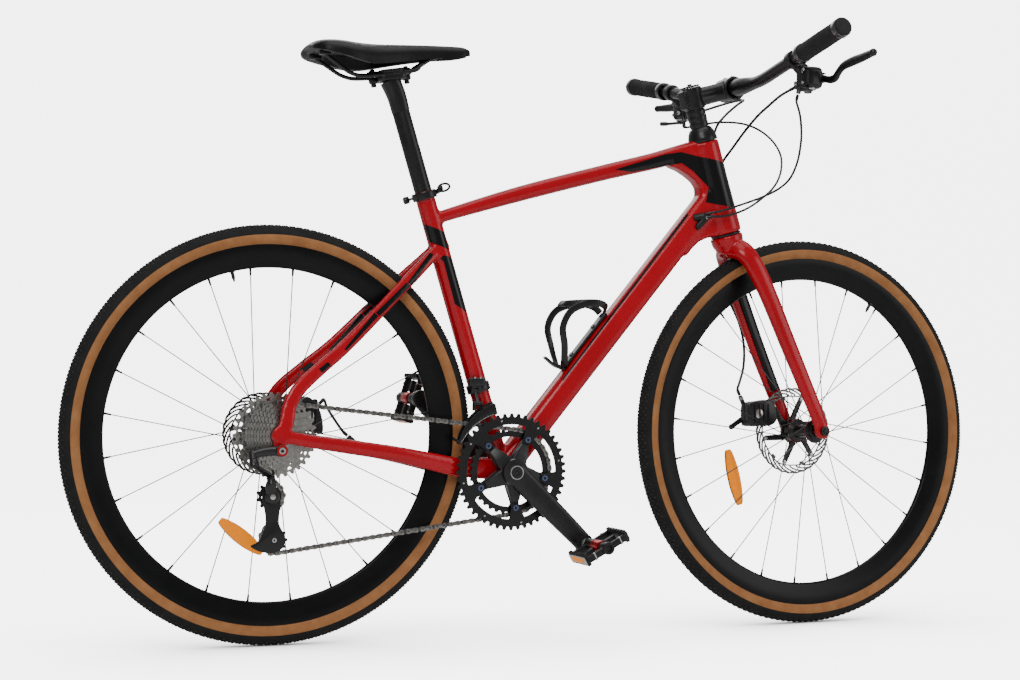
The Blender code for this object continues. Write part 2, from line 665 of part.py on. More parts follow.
def seat_clamp():
    """Collar with its ears and skewer, and the lever that closes it."""
    inner = opened(SEAT_TUBE_RADIUS - 0.0005, 16)
    middle = CLAMP_FOOT + CLAMP_HEIGHT / 2
    collar = ring(BRACKET, inner, inner + 0.004, CLAMP_FOOT, CLAMP_FOOT + CLAMP_HEIGHT, 16,
                  SEAT_AXIS, SEAT_FORWARD)
    turn = Matrix.Rotation(math.radians(SEAT_ANGLE - 90.0), 3, "Y")
    ears = block(seat(middle, 0.0, SKEWER_SIDE - 0.001), (0.026, 0.012, CLAMP_HEIGHT - 0.001),
                 0.001, turn)
    skewer = rod(seat(middle, -0.028, SKEWER_SIDE), seat(middle, 0.019, SKEWER_SIDE), 0.0025, 8)
    nut = rod(seat(middle, -0.030, SKEWER_SIDE), seat(middle, -0.021, SKEWER_SIDE), 0.0060, 10)
    piece("seat_clamp", BLACK, [collar, ears, skewer, nut])
    pivot = seat(middle, 0.0245, SKEWER_SIDE)
    route = [pivot, seat(middle, 0.0290, SKEWER_SIDE - 0.004),
             seat(middle + 0.002, 0.0330, SKEWER_SIDE - 0.016),
             seat(middle + 0.005, 0.0330, SKEWER_SIDE - 0.030)]
    arm = sweep([(route[0], 0.009, 0.007), (route[1], 0.009, 0.006), (route[2], 0.009, 0.005),
                 (route[3], 0.008, 0.004)], 2.4, 8, SEAT_AXIS)
    cam = disc(pivot, 0.0050, -0.0055, 0.0055, 16, SEAT_AXIS, SEAT_FORWARD)
    piece("seat_clamp_lever", BLACK, [arm, cam], origin=pivot)


# Wheels

def tyre(name, axle, parent):
    """Hollow tyre, open towards the rim's well."""
    half = TYRE_WIDTH / 2
    bead = RIM_WIDTH / 2 - RIM_FLANGE - GAP
    foot = RIM_RADIUS - RIM_WELL_DEPTH + GAP
    middle = TYRE_RADIUS - half
    outer = [(foot, bead), (RIM_RADIUS + 0.0006, bead), (middle, half),
             (middle + 0.0135, half - 0.0055), (TYRE_RADIUS, 0.0)]
    inner = [(TYRE_RADIUS - TYRE_WALL - 0.001, 0.0), (middle + 0.001, half - TYRE_WALL - 0.001),
             (foot, bead - TYRE_WALL)]
    near = [(radius, side) for radius, side in outer]
    far = [(radius, -side) for radius, side in reversed(outer[:-1])]
    inside = [(radius, -side) for radius, side in reversed(inner[1:])] + inner
    turned_tyre = turned(near + far + inside, axle, LEFT, -UP, 40)
    piece(name, RUBBER, [turned_tyre], origin=axle, parent=parent)


def spoke_ends(axle, index, start, flanges):
    """Rim end and hub end of one spoke of a twice-crossed wheel, clear of its hub."""
    angle = math.radians(start + index * 360.0 / SPOKE_COUNT)
    side = flanges[index % 2]
    lean = math.radians(60.0) * (1 if (index // 2) % 2 else -1)
    rim_end = axle + Vector((math.cos(angle), 0.0, math.sin(angle))) * (RIM_INNER_RADIUS + 0.006)
    hub_angle = angle + lean
    radius = HUB_FLANGE_RADIUS - 0.002
    inset = 0.0013 if (index // 2) % 2 else -0.0013
    hub_end = axle + Vector((math.cos(hub_angle) * radius, side + inset, math.sin(hub_angle) * radius))
    ahead = (rim_end - hub_end)
    share = 0.0
    while math.hypot((hub_end + ahead * share - axle).x, (hub_end + ahead * share - axle).z) \
            < HUB_FLANGE_RADIUS + SPOKE_RADIUS + 3 * GAP:
        share += 0.002
    return rim_end, hub_end + ahead * share


def rim(name, axle, start, flanges, parent):
    """Deep rim with its spokes; the well and the flanges hold the tyre."""
    half = RIM_WIDTH / 2
    lip = half - RIM_FLANGE
    well = RIM_RADIUS - RIM_WELL_DEPTH
    near = [(RIM_RADIUS, half), (RIM_INNER_RADIUS, 0.0060)]
    far = [(radius, -side) for radius, side in reversed(near)]
    channel = [(RIM_RADIUS, -lip), (well, -lip), (well, lip), (RIM_RADIUS, lip)]
    bodies = [turned(near + far + channel, axle, LEFT, -UP, 40)]
    for index in range(SPOKE_COUNT):
        rim_end, hub_end = spoke_ends(axle, index, start, flanges)
        bodies.append(rod(rim_end, hub_end, SPOKE_RADIUS, 4))
    piece(name, BLACK, bodies, origin=axle, parent=parent)


def hub(name, axle, profile, parent):
    """Turned hub shell with its bore."""
    piece(name, BLACK, [turned(profile, axle, LEFT, -UP, 12)], origin=axle, parent=parent)


def front_hub_profile():
    """Hub between the fork's dropouts; the rotor's seat is on the left."""
    end = FRONT_HUB_HALF - GAP
    bore = opened(AXLE_RADIUS, 12)
    seat_face = FRONT_ROTOR_SIDE - GAP
    return [(bore, -end), (0.0095, -end), (0.0095, -0.0445), (0.0165, -0.0440), (0.0165, -0.0370),
            (HUB_FLANGE_RADIUS, -0.0360), (HUB_FLANGE_RADIUS, -0.0320), (0.0130, -0.0280),
            (HUB_CORE_RADIUS, 0.0), (0.0130, 0.0180), (HUB_FLANGE_RADIUS, 0.0220),
            (HUB_FLANGE_RADIUS, seat_face),
            (ROTOR_SEAT_RADIUS, seat_face), (ROTOR_SEAT_RADIUS, 0.0435), (0.0095, 0.0440),
            (0.0095, end), (bore, end)]


def rear_hub_profile():
    """Hub between the rear dropouts, with the long sleeve that carries the cassette on the right."""
    end = REAR_HUB_HALF - GAP
    bore = opened(AXLE_RADIUS, 12)
    seat_face = REAR_ROTOR_SIDE - GAP
    return [(bore, -end), (0.0105, -end), (0.0105, -0.0680), (FREEHUB_RADIUS, -0.0680),
            (FREEHUB_RADIUS, -0.0255), (0.0170, -0.0255), (HUB_FLANGE_RADIUS, -0.0220), (HUB_FLANGE_RADIUS, -0.0180),
            (0.0130, -0.0130), (HUB_CORE_RADIUS, 0.0050), (0.0130, 0.0280),
            (HUB_FLANGE_RADIUS, 0.0310), (HUB_FLANGE_RADIUS, seat_face), (ROTOR_SEAT_RADIUS, seat_face),
            (ROTOR_SEAT_RADIUS, 0.0570), (0.0105, 0.0580), (0.0105, end), (bore, end)]


def rotor(name, axle, radius, side, parent):
    """Wavy brake disc on a six-armed carrier."""
    outline = []
    waves = 12
    for step in range(waves * 3):
        angle = 2 * math.pi * step / (waves * 3)
        reach = radius - (0.0028 if step % 3 == 0 else 0.0)
        outline.append((axle.x + reach * math.cos(angle), axle.z + reach * math.sin(angle)))
    cuts = [disc(axle, opened(ROTOR_SEAT_RADIUS, 16), side - 0.01, side + 0.01, 16)]
    inner, outer = 0.026, radius - 0.019
    for arm in range(6):
        start = 60.0 * arm
        corners = []
        for share, reach in ((14, inner), (46, inner), (50, outer), (30, outer), (10, outer)):
            angle = math.radians(start + share)
            corners.append((axle.x + reach * math.cos(angle), axle.z + reach * math.sin(angle)))
        cuts.append(plate(corners, side - 0.01, side + 0.01))
    disc_plate = plate(outline, side, side + ROTOR_THICKNESS)
    piece(name, STEEL, [disc_plate], cuts, origin=axle, parent=parent)


def through_axle(name, axle, low, high, head_side, head_radius, parent):
    """Through axle whose round head stands outside the dropout."""
    if head_side < 0:
        profile = [(0.0, low), (head_radius, low), (head_radius, low + 0.0050), (AXLE_RADIUS, low + 0.0050),
                   (AXLE_RADIUS, high), (0.0, high)]
    else:
        profile = [(0.0, low), (AXLE_RADIUS, low), (AXLE_RADIUS, high - 0.0050),
                   (head_radius, high - 0.0050), (head_radius, high), (0.0, high)]
    piece(name, BLACK, [turned(profile, axle, LEFT, -UP, 12)], origin=axle, parent=parent)


def wheels(steering):
    """Both wheels, their discs and axles."""
    tyre("rear_tyre", REAR_AXLE, None)
    tyre("front_tyre", FRONT_AXLE, steering)
    rim("rear_rim", REAR_AXLE, REAR_SPOKE_START, (0.0330, -0.0200), None)
    rim("front_rim", FRONT_AXLE, FRONT_SPOKE_START, (0.0240, -0.0340), steering)
    hub("rear_hub", REAR_AXLE, rear_hub_profile(), None)
    hub("front_hub", FRONT_AXLE, front_hub_profile(), steering)
    rotor("rear_rotor", REAR_AXLE, REAR_ROTOR_RADIUS, REAR_ROTOR_SIDE, None)
    rotor("front_rotor", FRONT_AXLE, FRONT_ROTOR_RADIUS, FRONT_ROTOR_SIDE, steering)
    outside = REAR_HUB_HALF + DROPOUT_THICKNESS + GAP
    through_axle("rear_axle", REAR_AXLE, -outside + 0.001, outside + 0.005, 1, 0.0090, None)
    leg = FRONT_HUB_HALF + LEG_THICKNESS + GAP
    through_axle("front_axle", FRONT_AXLE, -leg - 0.005, leg - 0.001, -1, 0.0085, steering)


# Fork, stem, bar and controls

# Right-hand fork leg stations: point, width across the bicycle, depth
LEG_ROUTE = (
    ((0.3400, -0.0060, 0.6820), 0.030, 0.036), ((0.3520, -0.0280, 0.6760), 0.028, 0.038),
    ((0.3660, -0.0410, 0.6550), 0.024, 0.036), ((0.3920, -0.0490, 0.6020), 0.021, 0.034),
    ((0.4385, -0.0540, 0.4970), 0.018, 0.032), ((0.4885, -0.0568, 0.3890), 0.0145, 0.029),
    ((0.5037, -0.0567, 0.3520), 0.0132, 0.027),
)


def fork(steering):
    """Crown, steerer and both legs."""
    crown = turned([(0.0, -0.030), (0.024, -0.030), (HEAD_TUBE_FOOT_RADIUS, -0.012),
                    (HEAD_TUBE_FOOT_RADIUS, 0.0), (0.0, 0.0)], CROWN, HEAD_AXIS, HEAD_FORWARD, 20)
    steerer = rod(head(-0.010), head(STEERER_LENGTH), STEERER_RADIUS, 12)
    bodies = [crown, steerer]
    for hand in (-1, 1):
        bodies.append(sweep([(mirrored(point, -hand), width, depth)
                             for point, width, depth in LEG_ROUTE], 2.4, 10))
        low, high = sorted((hand * FRONT_HUB_HALF, hand * (FRONT_HUB_HALF + LEG_THICKNESS)))
        bodies.append(disc(FRONT_AXLE, 0.0140, low, high, 16))
    reach = FRONT_HUB_HALF + 2 * LEG_THICKNESS
    bore = disc(FRONT_AXLE, opened(AXLE_RADIUS, 12), -reach, reach, 12)
    piece("fork", RED, bodies, [bore], origin=CROWN.copy(), parent=steering)


def stem(steering):
    """Spacers, stem and the faceplate that holds the bar."""
    inner = opened(STEERER_RADIUS, 12)
    spacers = ring(CROWN, inner, SPACER_RADIUS, COVER_TOP + GAP, COVER_TOP + GAP + SPACER_HEIGHT, 12,
                   HEAD_AXIS, HEAD_FORWARD)
    piece("steerer_spacers", BLACK, [spacers], origin=CROWN.copy(), parent=steering)
    top = STEM_FOOT + STEM_CLAMP_HEIGHT
    collar = disc(CROWN, 0.0190, STEM_FOOT, top, 16, HEAD_AXIS, HEAD_FORWARD)
    arm = sweep([(head(STEM_HEIGHT, 0.0), 0.034, 0.036), (head(STEM_HEIGHT, 0.040), 0.031, 0.033),
                 (head(STEM_HEIGHT, STEM_LENGTH - 0.006), 0.036, 0.036)], 2.4, 14)
    centre = head(STEM_HEIGHT, STEM_LENGTH)
    half = 0.021
    barrel = disc(centre, STEM_BAR_RADIUS, -half, half, 16)
    turn = Matrix.Rotation(math.radians(HEAD_ANGLE - 90.0), 3, "Y")
    split = 0.0008
    front = block(head(STEM_HEIGHT, STEM_LENGTH + 0.05 - split), (0.1, 0.1, 0.1), 0.0, turn)
    bar_bore = opened(BAR_CLAMP_RADIUS, 14)
    cuts = [front, disc(centre, bar_bore, -0.05, 0.05, 14),
            disc(CROWN, inner, -0.02, top + 0.02, 12, HEAD_AXIS, HEAD_FORWARD)]
    piece("stem", BLACK, [collar, arm, barrel], cuts, origin=centre.copy(), parent=steering)
    back = block(head(STEM_HEIGHT, STEM_LENGTH - 0.05 + split), (0.1, 0.1, 0.1), 0.0, turn)
    face = disc(centre, STEM_BAR_RADIUS, -half, half, 16)
    piece("stem_faceplate", BLACK, [face], [back, disc(centre, bar_bore, -0.05, 0.05, 14)],
          origin=centre.copy(), parent=steering)


def bar_point(side):
    """Centre of the handlebar at a distance to the left: level in the clamp, then rising outward."""
    centre = head(STEM_HEIGHT, STEM_LENGTH)
    reach = abs(side)
    span = BAR_BEND_END - BAR_BEND_START
    if reach <= BAR_BEND_START:
        rise = 0.0
    elif reach < BAR_BEND_END:
        rise = BAR_SLOPE * (reach - BAR_BEND_START) ** 2 / (2 * span)
    else:
        rise = BAR_SLOPE * (reach - BAR_BEND_END + span / 2)
    return Vector((centre.x, side, centre.z + rise))


def bar_radius(side):
    """Bar radius: thick in the clamp, tapered to the grips' size."""
    reach = abs(side)
    thick_end, thin_start = 0.032, 0.095
    share = min(max((reach - thick_end) / (thin_start - thick_end), 0.0), 1.0)
    return BAR_CLAMP_RADIUS + (BAR_RADIUS - BAR_CLAMP_RADIUS) * share


def handlebar(steering):
    """Flat bar and both grips."""
    centre = head(STEM_HEIGHT, STEM_LENGTH)
    reaches = [0.0, 0.032, 0.055, BAR_BEND_START, 0.095, 0.112, BAR_BEND_END, BAR_HALF]
    sides = [-reach for reach in reversed(reaches)] + reaches[1:]
    stations = [(bar_point(side), 2 * bar_radius(side), 2 * bar_radius(side)) for side in sides]
    piece("handlebar", BLACK, [sweep(stations, 2.0, 12, UP)], origin=centre.copy(), parent=steering)
    for name, hand in (("grip_right", -1), ("grip_left", 1)):
        start, end = bar_point(hand * GRIP_START), bar_point(hand * (BAR_HALF + GRIP_CAP))
        along = (end - start).normalized()
        grip = rod(start, end, GRIP_RADIUS, 12)
        inner = rod(start, start + along * 0.012, GRIP_COLLAR_RADIUS, 12)
        outer = rod(end - along * 0.016, end - along * 0.004, GRIP_COLLAR_RADIUS, 12)
        bore = rod(start - along * 0.01, bar_point(hand * (BAR_HALF + GAP)),
                   opened(BAR_RADIUS, 12), 12)
        piece(name, RUBBER, [grip, inner, outer], [bore], origin=start, parent=steering)


POD_CENTRE = Vector((0.3770, POD_SIDE, 0.9620))
POD_SIZE = (0.038, 0.040, 0.038)
LEVER_PIVOT = Vector((0.4000, 0.2170, 0.9640))
# Left brake lever: point, depth fore and aft, height
LEVER_ROUTE = (
    ((0.4000, 0.2170, 0.9640), 0.010, 0.011), ((0.4035, 0.2340, 0.9585), 0.010, 0.013),
    ((0.4060, 0.2470, 0.9600), 0.010, 0.014), ((0.4075, 0.2560, 0.9690), 0.009, 0.013),
    ((0.4080, 0.2690, 0.9770), 0.008, 0.012), ((0.4080, 0.2950, 0.9810), 0.008, 0.013),
    ((0.4065, 0.3250, 0.9830), 0.008, 0.012), ((0.4035, 0.3620, 0.9860), 0.009, 0.011),
)
SHIFT_PIVOT = Vector((0.3720, 0.2150, 0.9385))
SHIFT_ROUTE = (
    ((0.3720, 0.2150, 0.9385), 0.012, 0.005), ((0.3600, 0.2270, 0.9375), 0.011, 0.005),
    ((0.3480, 0.2400, 0.9375), 0.016, 0.006),
)
BRAKE_EXIT = (Vector((0.3690, 0.1960, 0.9530)), Vector((0.3668, 0.1830, 0.9500)))
SHIFT_EXIT = (Vector((0.3665, 0.1970, 0.9470)), Vector((0.3654, 0.1940, 0.9370)))


def control_pod(hand):
    """Brake perch and shifter housing, clamped round the bar inboard of the grip."""
    clamp_side = POD_SIDE - 0.004
    low, high = bar_point(hand * (clamp_side - 0.007)), bar_point(hand * (clamp_side + 0.007))
    clamp = rod(low, high, 0.0155, 12)
    pod = block(mirrored(POD_CENTRE, hand), POD_SIZE, 0.006)
    neck = sweep([(bar_point(hand * clamp_side), 0.014, 0.022),
                  (mirrored(POD_CENTRE + Vector((-0.004, -0.004, 0.008)), hand), 0.020, 0.026)],
                 2.6, 10)
    perch = sweep([(mirrored(POD_CENTRE + Vector((0.004, 0.0, 0.008)), hand), 0.024, 0.022),
                   (mirrored(LEVER_PIVOT + Vector((-0.008, -0.004, 0.0055)), hand), 0.014, 0.012)],
                  2.6, 10)
    bodies = [pod, clamp, neck, perch]
    for start, end in (BRAKE_EXIT, SHIFT_EXIT):
        bodies.append(rod(mirrored(start, hand), mirrored(end, hand), 0.0042, 8))
    bore_low, bore_high = bar_point(hand * (clamp_side - 0.02)), bar_point(hand * (clamp_side + 0.02))
    bore = rod(bore_low, bore_high, opened(BAR_RADIUS, 12), 12)
    slot = block(mirrored(LEVER_PIVOT + Vector((0.006, 0.008, 0.0)), hand), (0.0245, 0.030, 0.0165))
    return bodies, [bore, slot]


def controls(steering):
    """Pods, brake levers and shift levers on both sides."""
    for side_name, hand in (("right", -1), ("left", 1)):
        bodies, cuts = control_pod(hand)
        origin = bar_point(hand * POD_SIDE)
        piece("lever_body_" + side_name, BLACK, bodies, cuts, origin=origin, parent=steering)
        blade = sweep([(mirrored(point, hand), depth, height)
                       for point, depth, height in LEVER_ROUTE], 2.4, 8, FORWARD)
        piece("brake_lever_" + side_name, BLACK, [blade], origin=mirrored(LEVER_PIVOT, hand),
              parent=steering)
        paddle = sweep([(mirrored(point, hand), width, height)
                        for point, width, height in SHIFT_ROUTE], 2.6, 8, FORWARD)
        piece("shift_lever_" + side_name, GREY, [paddle], origin=mirrored(SHIFT_PIVOT, hand),
              parent=steering)


# Brakes

FRONT_CALIPER_OUTLINE = ((0.402, 0.396), (0.410, 0.403), (0.450, 0.407), (0.461, 0.394),
                         (0.463, 0.370), (0.450, 0.360), (0.408, 0.359), (0.402, 0.366))
REAR_CALIPER_OUTLINE = ((-0.446, 0.398), (-0.432, 0.412), (-0.418, 0.406), (-0.405, 0.385),
                        (-0.401, 0.353), (-0.415, 0.3515), (-0.436, 0.3555), (-0.446, 0.375))
CALIPER_INSIDE = 0.0105
FRONT_CALIPER_REACH = 0.0180
REAR_CALIPER_REACH = 0.0130
FRONT_ARM = ((0.424, 0.382), (0.384, 0.358))
REAR_ARM = ((-0.426, 0.380), (-0.409, 0.403))
FRONT_STOP = (Vector((0.4080, 0.0560, 0.3980)), Vector((0.4010, 0.0580, 0.4150)))
REAR_STOP = (Vector((-0.4120, 0.0570, 0.3920)), Vector((-0.4030, 0.0610, 0.4000)))


def caliper(name, outline, axle, radius, side, reach, stop, parent):
    """Caliper body, slotted for its disc, with the stop that its cable runs into."""
    slot = 0.0016
    middle = side + ROTOR_THICKNESS / 2
    xs = [x for x, _ in outline]
    zs = [z for _, z in outline]
    centre = Vector(((max(xs) + min(xs)) / 2, middle, (max(zs) + min(zs)) / 2))
    gap = disc(axle, radius + 0.0025, side - slot, side + ROTOR_THICKNESS + slot, 48)
    bodies = [plate(outline, middle - CALIPER_INSIDE, middle + reach, 0.003), rod(*stop, 0.0045, 8)]
    piece(name, BLACK, bodies, [gap], origin=centre, parent=parent)


def brake_arm(name, ends, low, high, parent):
    """Lever arm on the caliper's outer face."""
    (pivot_x, pivot_z), (tip_x, tip_z) = ends
    middle = (low + high) / 2
    pivot, tip = Vector((pivot_x, middle, pivot_z)), Vector((tip_x, middle, tip_z))
    arm = sweep([(pivot, high - low, 0.013), (tip, high - low, 0.009)], 3.0, 8)
    boss = disc(Vector((pivot_x, 0.0, pivot_z)), 0.0085, low, high - 0.0003, 12)
    piece(name, BLACK, [arm, boss], origin=pivot, parent=parent)


def brakes(steering):
    """Calipers and their arms; the rear caliper stands on the left chainstay."""
    caliper("front_brake_caliper", FRONT_CALIPER_OUTLINE, FRONT_AXLE, FRONT_ROTOR_RADIUS,
            FRONT_ROTOR_SIDE, FRONT_CALIPER_REACH, FRONT_STOP, steering)
    caliper("rear_brake_caliper", REAR_CALIPER_OUTLINE, REAR_AXLE, REAR_ROTOR_RADIUS,
            REAR_ROTOR_SIDE, REAR_CALIPER_REACH, REAR_STOP, None)
    front_face = FRONT_ROTOR_SIDE + ROTOR_THICKNESS / 2 + FRONT_CALIPER_REACH + GAP
    rear_face = REAR_ROTOR_SIDE + ROTOR_THICKNESS / 2 + REAR_CALIPER_REACH + GAP
    brake_arm("front_brake_arm", FRONT_ARM, front_face, front_face + 0.005, steering)
    brake_arm("rear_brake_arm", REAR_ARM, rear_face, rear_face + 0.005, None)


# Drive train

def toothed(centre, teeth, root, tip, points_each=3):
    """Outline of a sprocket: each tooth has one root point and a blunt or pointed tip."""
    shares = ((-0.5, root), (-0.13, tip), (0.13, tip)) if points_each == 3 else ((-0.5, root), (0.0, tip))
    outline = []
    for tooth in range(teeth):
        for share, radius in shares:
            angle = 2 * math.pi * (tooth + share) / teeth
            outline.append((centre.x + radius * math.cos(angle), centre.z + radius * math.sin(angle)))
    return outline


def lobed(centre, wide, narrow, lobe_half):
    """Round hole with five tabs left standing at the spider's bolts."""
    outline = []
    for bolt in range(5):
        for share, radius in ((-36.0, wide), (-lobe_half - 6.0, wide), (-lobe_half, narrow),
                              (lobe_half, narrow), (lobe_half + 6.0, wide)):
            angle = math.radians(SPIDER_ANGLE + 72.0 * bolt + share)
            outline.append((centre.x + radius * math.cos(angle), centre.z + radius * math.sin(angle)))
    return outline


def chainring(name, teeth, side, root, tip, hole, points_each):
    """Toothed ring with five bolt tabs."""
    low, high = side - RING_THICKNESS / 2, side + RING_THICKNESS / 2
    blank = plate(toothed(BRACKET, teeth, root, tip, points_each), low, high)
    cut = plate(lobed(BRACKET, hole, BOLT_CIRCLE - 0.007, 8.0), low - 0.01, high + 0.01)
    piece(name, BLACK, [blank], [cut], origin=BRACKET.copy())


def crank_arm(hand, degrees):
    """Arm from the spindle to the pedal, stepping outward, with the pedal's spindle on its end."""
    along = direction(degrees)
    stations = ((0.0, 0.064, 0.024, 0.040), (0.030, 0.066, 0.021, 0.039), (0.080, 0.072, 0.018, 0.037),
                (0.140, 0.078, 0.016, 0.034), (CRANK_LENGTH, CRANK_FACE, 0.015, 0.032))
    arm = sweep([(BRACKET + along * reach + LEFT * hand * side, thick, width)
                 for reach, side, thick, width in stations], 3.0, 10)
    end = BRACKET + along * CRANK_LENGTH
    low, high = sorted((hand * (CRANK_FACE - 0.0074), hand * (CRANK_FACE + 0.0074)))
    eye = disc(end, 0.0160, low, high, 16)
    low, high = sorted((hand * CRANK_FACE, hand * (PEDAL_OUTER - 0.012)))
    spindle = disc(end, PEDAL_SPINDLE_RADIUS, low, high, 8)
    return [arm, eye, spindle]


def crankset():
    """Right crank with spider and spindle, left crank, and both rings."""
    tab_low = BIG_RING_SIDE + RING_THICKNESS / 2 + GAP
    tab_high = SMALL_RING_SIDE - RING_THICKNESS / 2 - GAP
    bodies = crank_arm(-1, CRANK_ANGLE)
    bodies.append(disc(BRACKET, 0.0230, -0.0740, tab_high, 16))
    bodies.append(disc(BRACKET, SPINDLE_RADIUS, -0.070, 0.0640, 12))
    tab_middle = (tab_low + tab_high) / 2
    for bolt in range(5):
        along = direction(SPIDER_ANGLE + 72.0 * bolt)
        reach = [(0.012, 0.020), (0.045, 0.016), (BOLT_CIRCLE + 0.0055, 0.013)]
        bodies.append(sweep([(BRACKET + along * distance + LEFT * tab_middle, tab_high - tab_low, width)
                             for distance, width in reach], 6.0, 8))
        bodies.append(sweep([(BRACKET + along * 0.015 - LEFT * 0.0530, 0.018, 0.020),
                             (BRACKET + along * 0.051 - LEFT * 0.0485, 0.007, 0.015)], 3.0, 8))
    piece("crank_right", GREY, bodies, origin=BRACKET.copy())
    left = crank_arm(1, CRANK_ANGLE + 180.0)
    left.append(disc(BRACKET, 0.0200, 0.0420, 0.0740, 16))
    bore = disc(BRACKET, opened(SPINDLE_RADIUS, 12), 0.030, 0.0643, 12)
    piece("crank_left", GREY, left, [bore], origin=BRACKET.copy())
    chainring("chainring_outer", RING_TEETH, BIG_RING_SIDE,
              pitch_radius(RING_TEETH) - 0.0028, pitch_radius(RING_TEETH) + 0.0026, 0.081, 2)
    small_tip = under_chain(SMALL_RING_TEETH)
    chainring("chainring_inner", SMALL_RING_TEETH, SMALL_RING_SIDE, small_tip - 0.003, small_tip,
              0.0600, 2)
    flange = SPINDLE_RADIUS + 0.0085
    cup = BRACKET_HALF + GAP
    bore = opened(SPINDLE_RADIUS, 16)
    sleeve = [(bore, -0.0390), (flange, -0.0390), (flange, -cup), (BRACKET_BORE_RADIUS, -cup),
              (BRACKET_BORE_RADIUS, cup), (flange, cup), (flange, 0.0400), (bore, 0.0400)]
    piece("bottom_bracket", BLACK, [turned(sleeve, BRACKET, LEFT, -UP, 16)], origin=BRACKET.copy())


def pedal(name, hand, degrees, tilt):
    """Platform pedal: barrel, two toothed long sides and two end bars."""
    centre = BRACKET + direction(degrees) * CRANK_LENGTH
    ahead = direction(tilt)
    turn = Matrix.Rotation(math.radians(-tilt), 3, "Y")
    middle = hand * (PEDAL_INNER + PEDAL_OUTER) / 2
    width = PEDAL_OUTER - PEDAL_INNER
    low, high = sorted((hand * PEDAL_INNER, hand * PEDAL_OUTER))
    bodies = [disc(centre, 0.0105, low, high, 12)]
    bar_depth = 0.009
    for sign in (-1, 1):
        place_at = centre + ahead * sign * (PEDAL_LENGTH - bar_depth) / 2 + LEFT * middle
        bodies.append(block(place_at, (bar_depth, width - 0.012, 0.022), 0.0, turn))
        beam = centre + LEFT * (middle + sign * (width / 2 - 0.007))
        bodies.append(block(beam, (PEDAL_LENGTH - 0.004, 0.0080, 0.0125), 0.0, turn))
    bodies.append(block(centre + LEFT * middle, (PEDAL_LENGTH - 0.002, 0.0100, 0.009), 0.0, turn))
    low, high = sorted((hand * 0.09, hand * (PEDAL_OUTER - 0.010)))
    bore = disc(centre, opened(PEDAL_SPINDLE_RADIUS, 8), low, high, 8)
    piece(name, BLACK, bodies, [bore], origin=centre)


def cog_side(index):
    """Middle plane of a cog, counted from the largest."""
    return BIG_COG_SIDE - index * COG_SPACING


def cassette():
    """Stack of cogs on their carrier, from the spokes outward."""
    sleeve = opened(FREEHUB_RADIUS, 12)
    profile = [(sleeve, BIG_COG_SIDE + 0.0030), (0.0160, BIG_COG_SIDE + 0.0030)]
    for index, teeth in enumerate(COGS):
        if index == CHAIN_COG:
            tip = under_chain(teeth)
        else:
            tip = pitch_radius(teeth) + 0.0015
        valley = max(pitch_radius(COGS[min(index + 1, len(COGS) - 1)]) - 0.010, 0.0160)
        side = cog_side(index)
        if index:
            profile.append((previous_valley, side + COG_THICKNESS / 2))
        profile.append((tip, side + COG_THICKNESS / 2))
        profile.append((tip, side - COG_THICKNESS / 2))
        if index < len(COGS) - 1:
            profile.append((valley, side - COG_THICKNESS / 2))
        previous_valley = valley
    last = cog_side(len(COGS) - 1) - COG_THICKNESS / 2
    profile += [(0.0150, last), (0.0150, last - 0.0012), (sleeve, last - 0.0012)]
    piece("cassette", STEEL, [turned(profile, REAR_AXLE, LEFT, -UP, 12)], origin=REAR_AXLE.copy())


def tangent(first, second):
    """Heading of the straight chain run from one oriented circle to the next."""
    (start, start_radius, start_turn), (end, end_radius, end_turn) = first[:3], second[:3]
    across = end[0] - start[0], end[1] - start[1]
    distance = math.hypot(*across)
    heading = math.atan2(across[1], across[0])
    return heading - math.asin((end_turn * end_radius - start_turn * start_radius) / distance)


def chain():
    """Chain as a plain band round the small ring, both pulleys and its cog."""
    ring_circle = ((BRACKET.x, BRACKET.z), pitch_radius(SMALL_RING_TEETH), -1, SMALL_RING_SIDE)
    pulley = pitch_radius(PULLEY_TEETH)
    plane = cog_side(CHAIN_COG)
    circles = [ring_circle, (TENSION_PULLEY, pulley, -1, plane), (GUIDE_PULLEY, pulley, 1, plane),
               ((REAR_AXLE.x, REAR_AXLE.z), pitch_radius(COGS[CHAIN_COG]), -1, plane)]
    path = []
    for index, circle in enumerate(circles):
        centre, radius, turn, side = circle
        arrive = tangent(circles[index - 1], circle)
        leave = tangent(circle, circles[(index + 1) % len(circles)])
        sweep_angle = (turn * (leave - arrive)) % (2 * math.pi)
        steps = max(2, round(sweep_angle / math.radians(CHAIN_STEP)))
        for step in range(steps + 1):
            heading = arrive + turn * sweep_angle * step / steps
            normal = (-math.sin(heading), math.cos(heading))
            point = (centre[0] - turn * radius * normal[0], centre[1] - turn * radius * normal[1])
            path.append((point, normal, side))
    mesh = bmesh.new()
    rings = []
    for (x, z), (across_x, across_z), side in path:
        corners = []
        for width, height in ((-1, -1), (1, -1), (1, 1), (-1, 1)):
            lift = height * CHAIN_HALF_HEIGHT
            corners.append(mesh.verts.new((x + across_x * lift, side + width * CHAIN_WIDTH / 2,
                                           z + across_z * lift)))
        rings.append(corners)
    skin(mesh, rings, closed=True)
    piece("chain", STEEL, [body(mesh)])


def pulley_wheel(name, centre):
    """Jockey wheel, cut back to the inside of the chain band."""
    plane = cog_side(CHAIN_COG)
    tip = under_chain(PULLEY_TEETH)
    wheel_centre = Vector((centre[0], 0.0, centre[1]))
    outline = toothed(wheel_centre, PULLEY_TEETH, tip - 0.002, tip)
    blank = plate(outline, plane - 0.0020, plane + 0.0020)
    bore = disc(wheel_centre, opened(PULLEY_BOLT_RADIUS, 10), plane - 0.01, plane + 0.01, 10)
    origin = Vector((centre[0], plane, centre[1]))
    piece(name, BLACK, [blank], [bore], origin=origin)


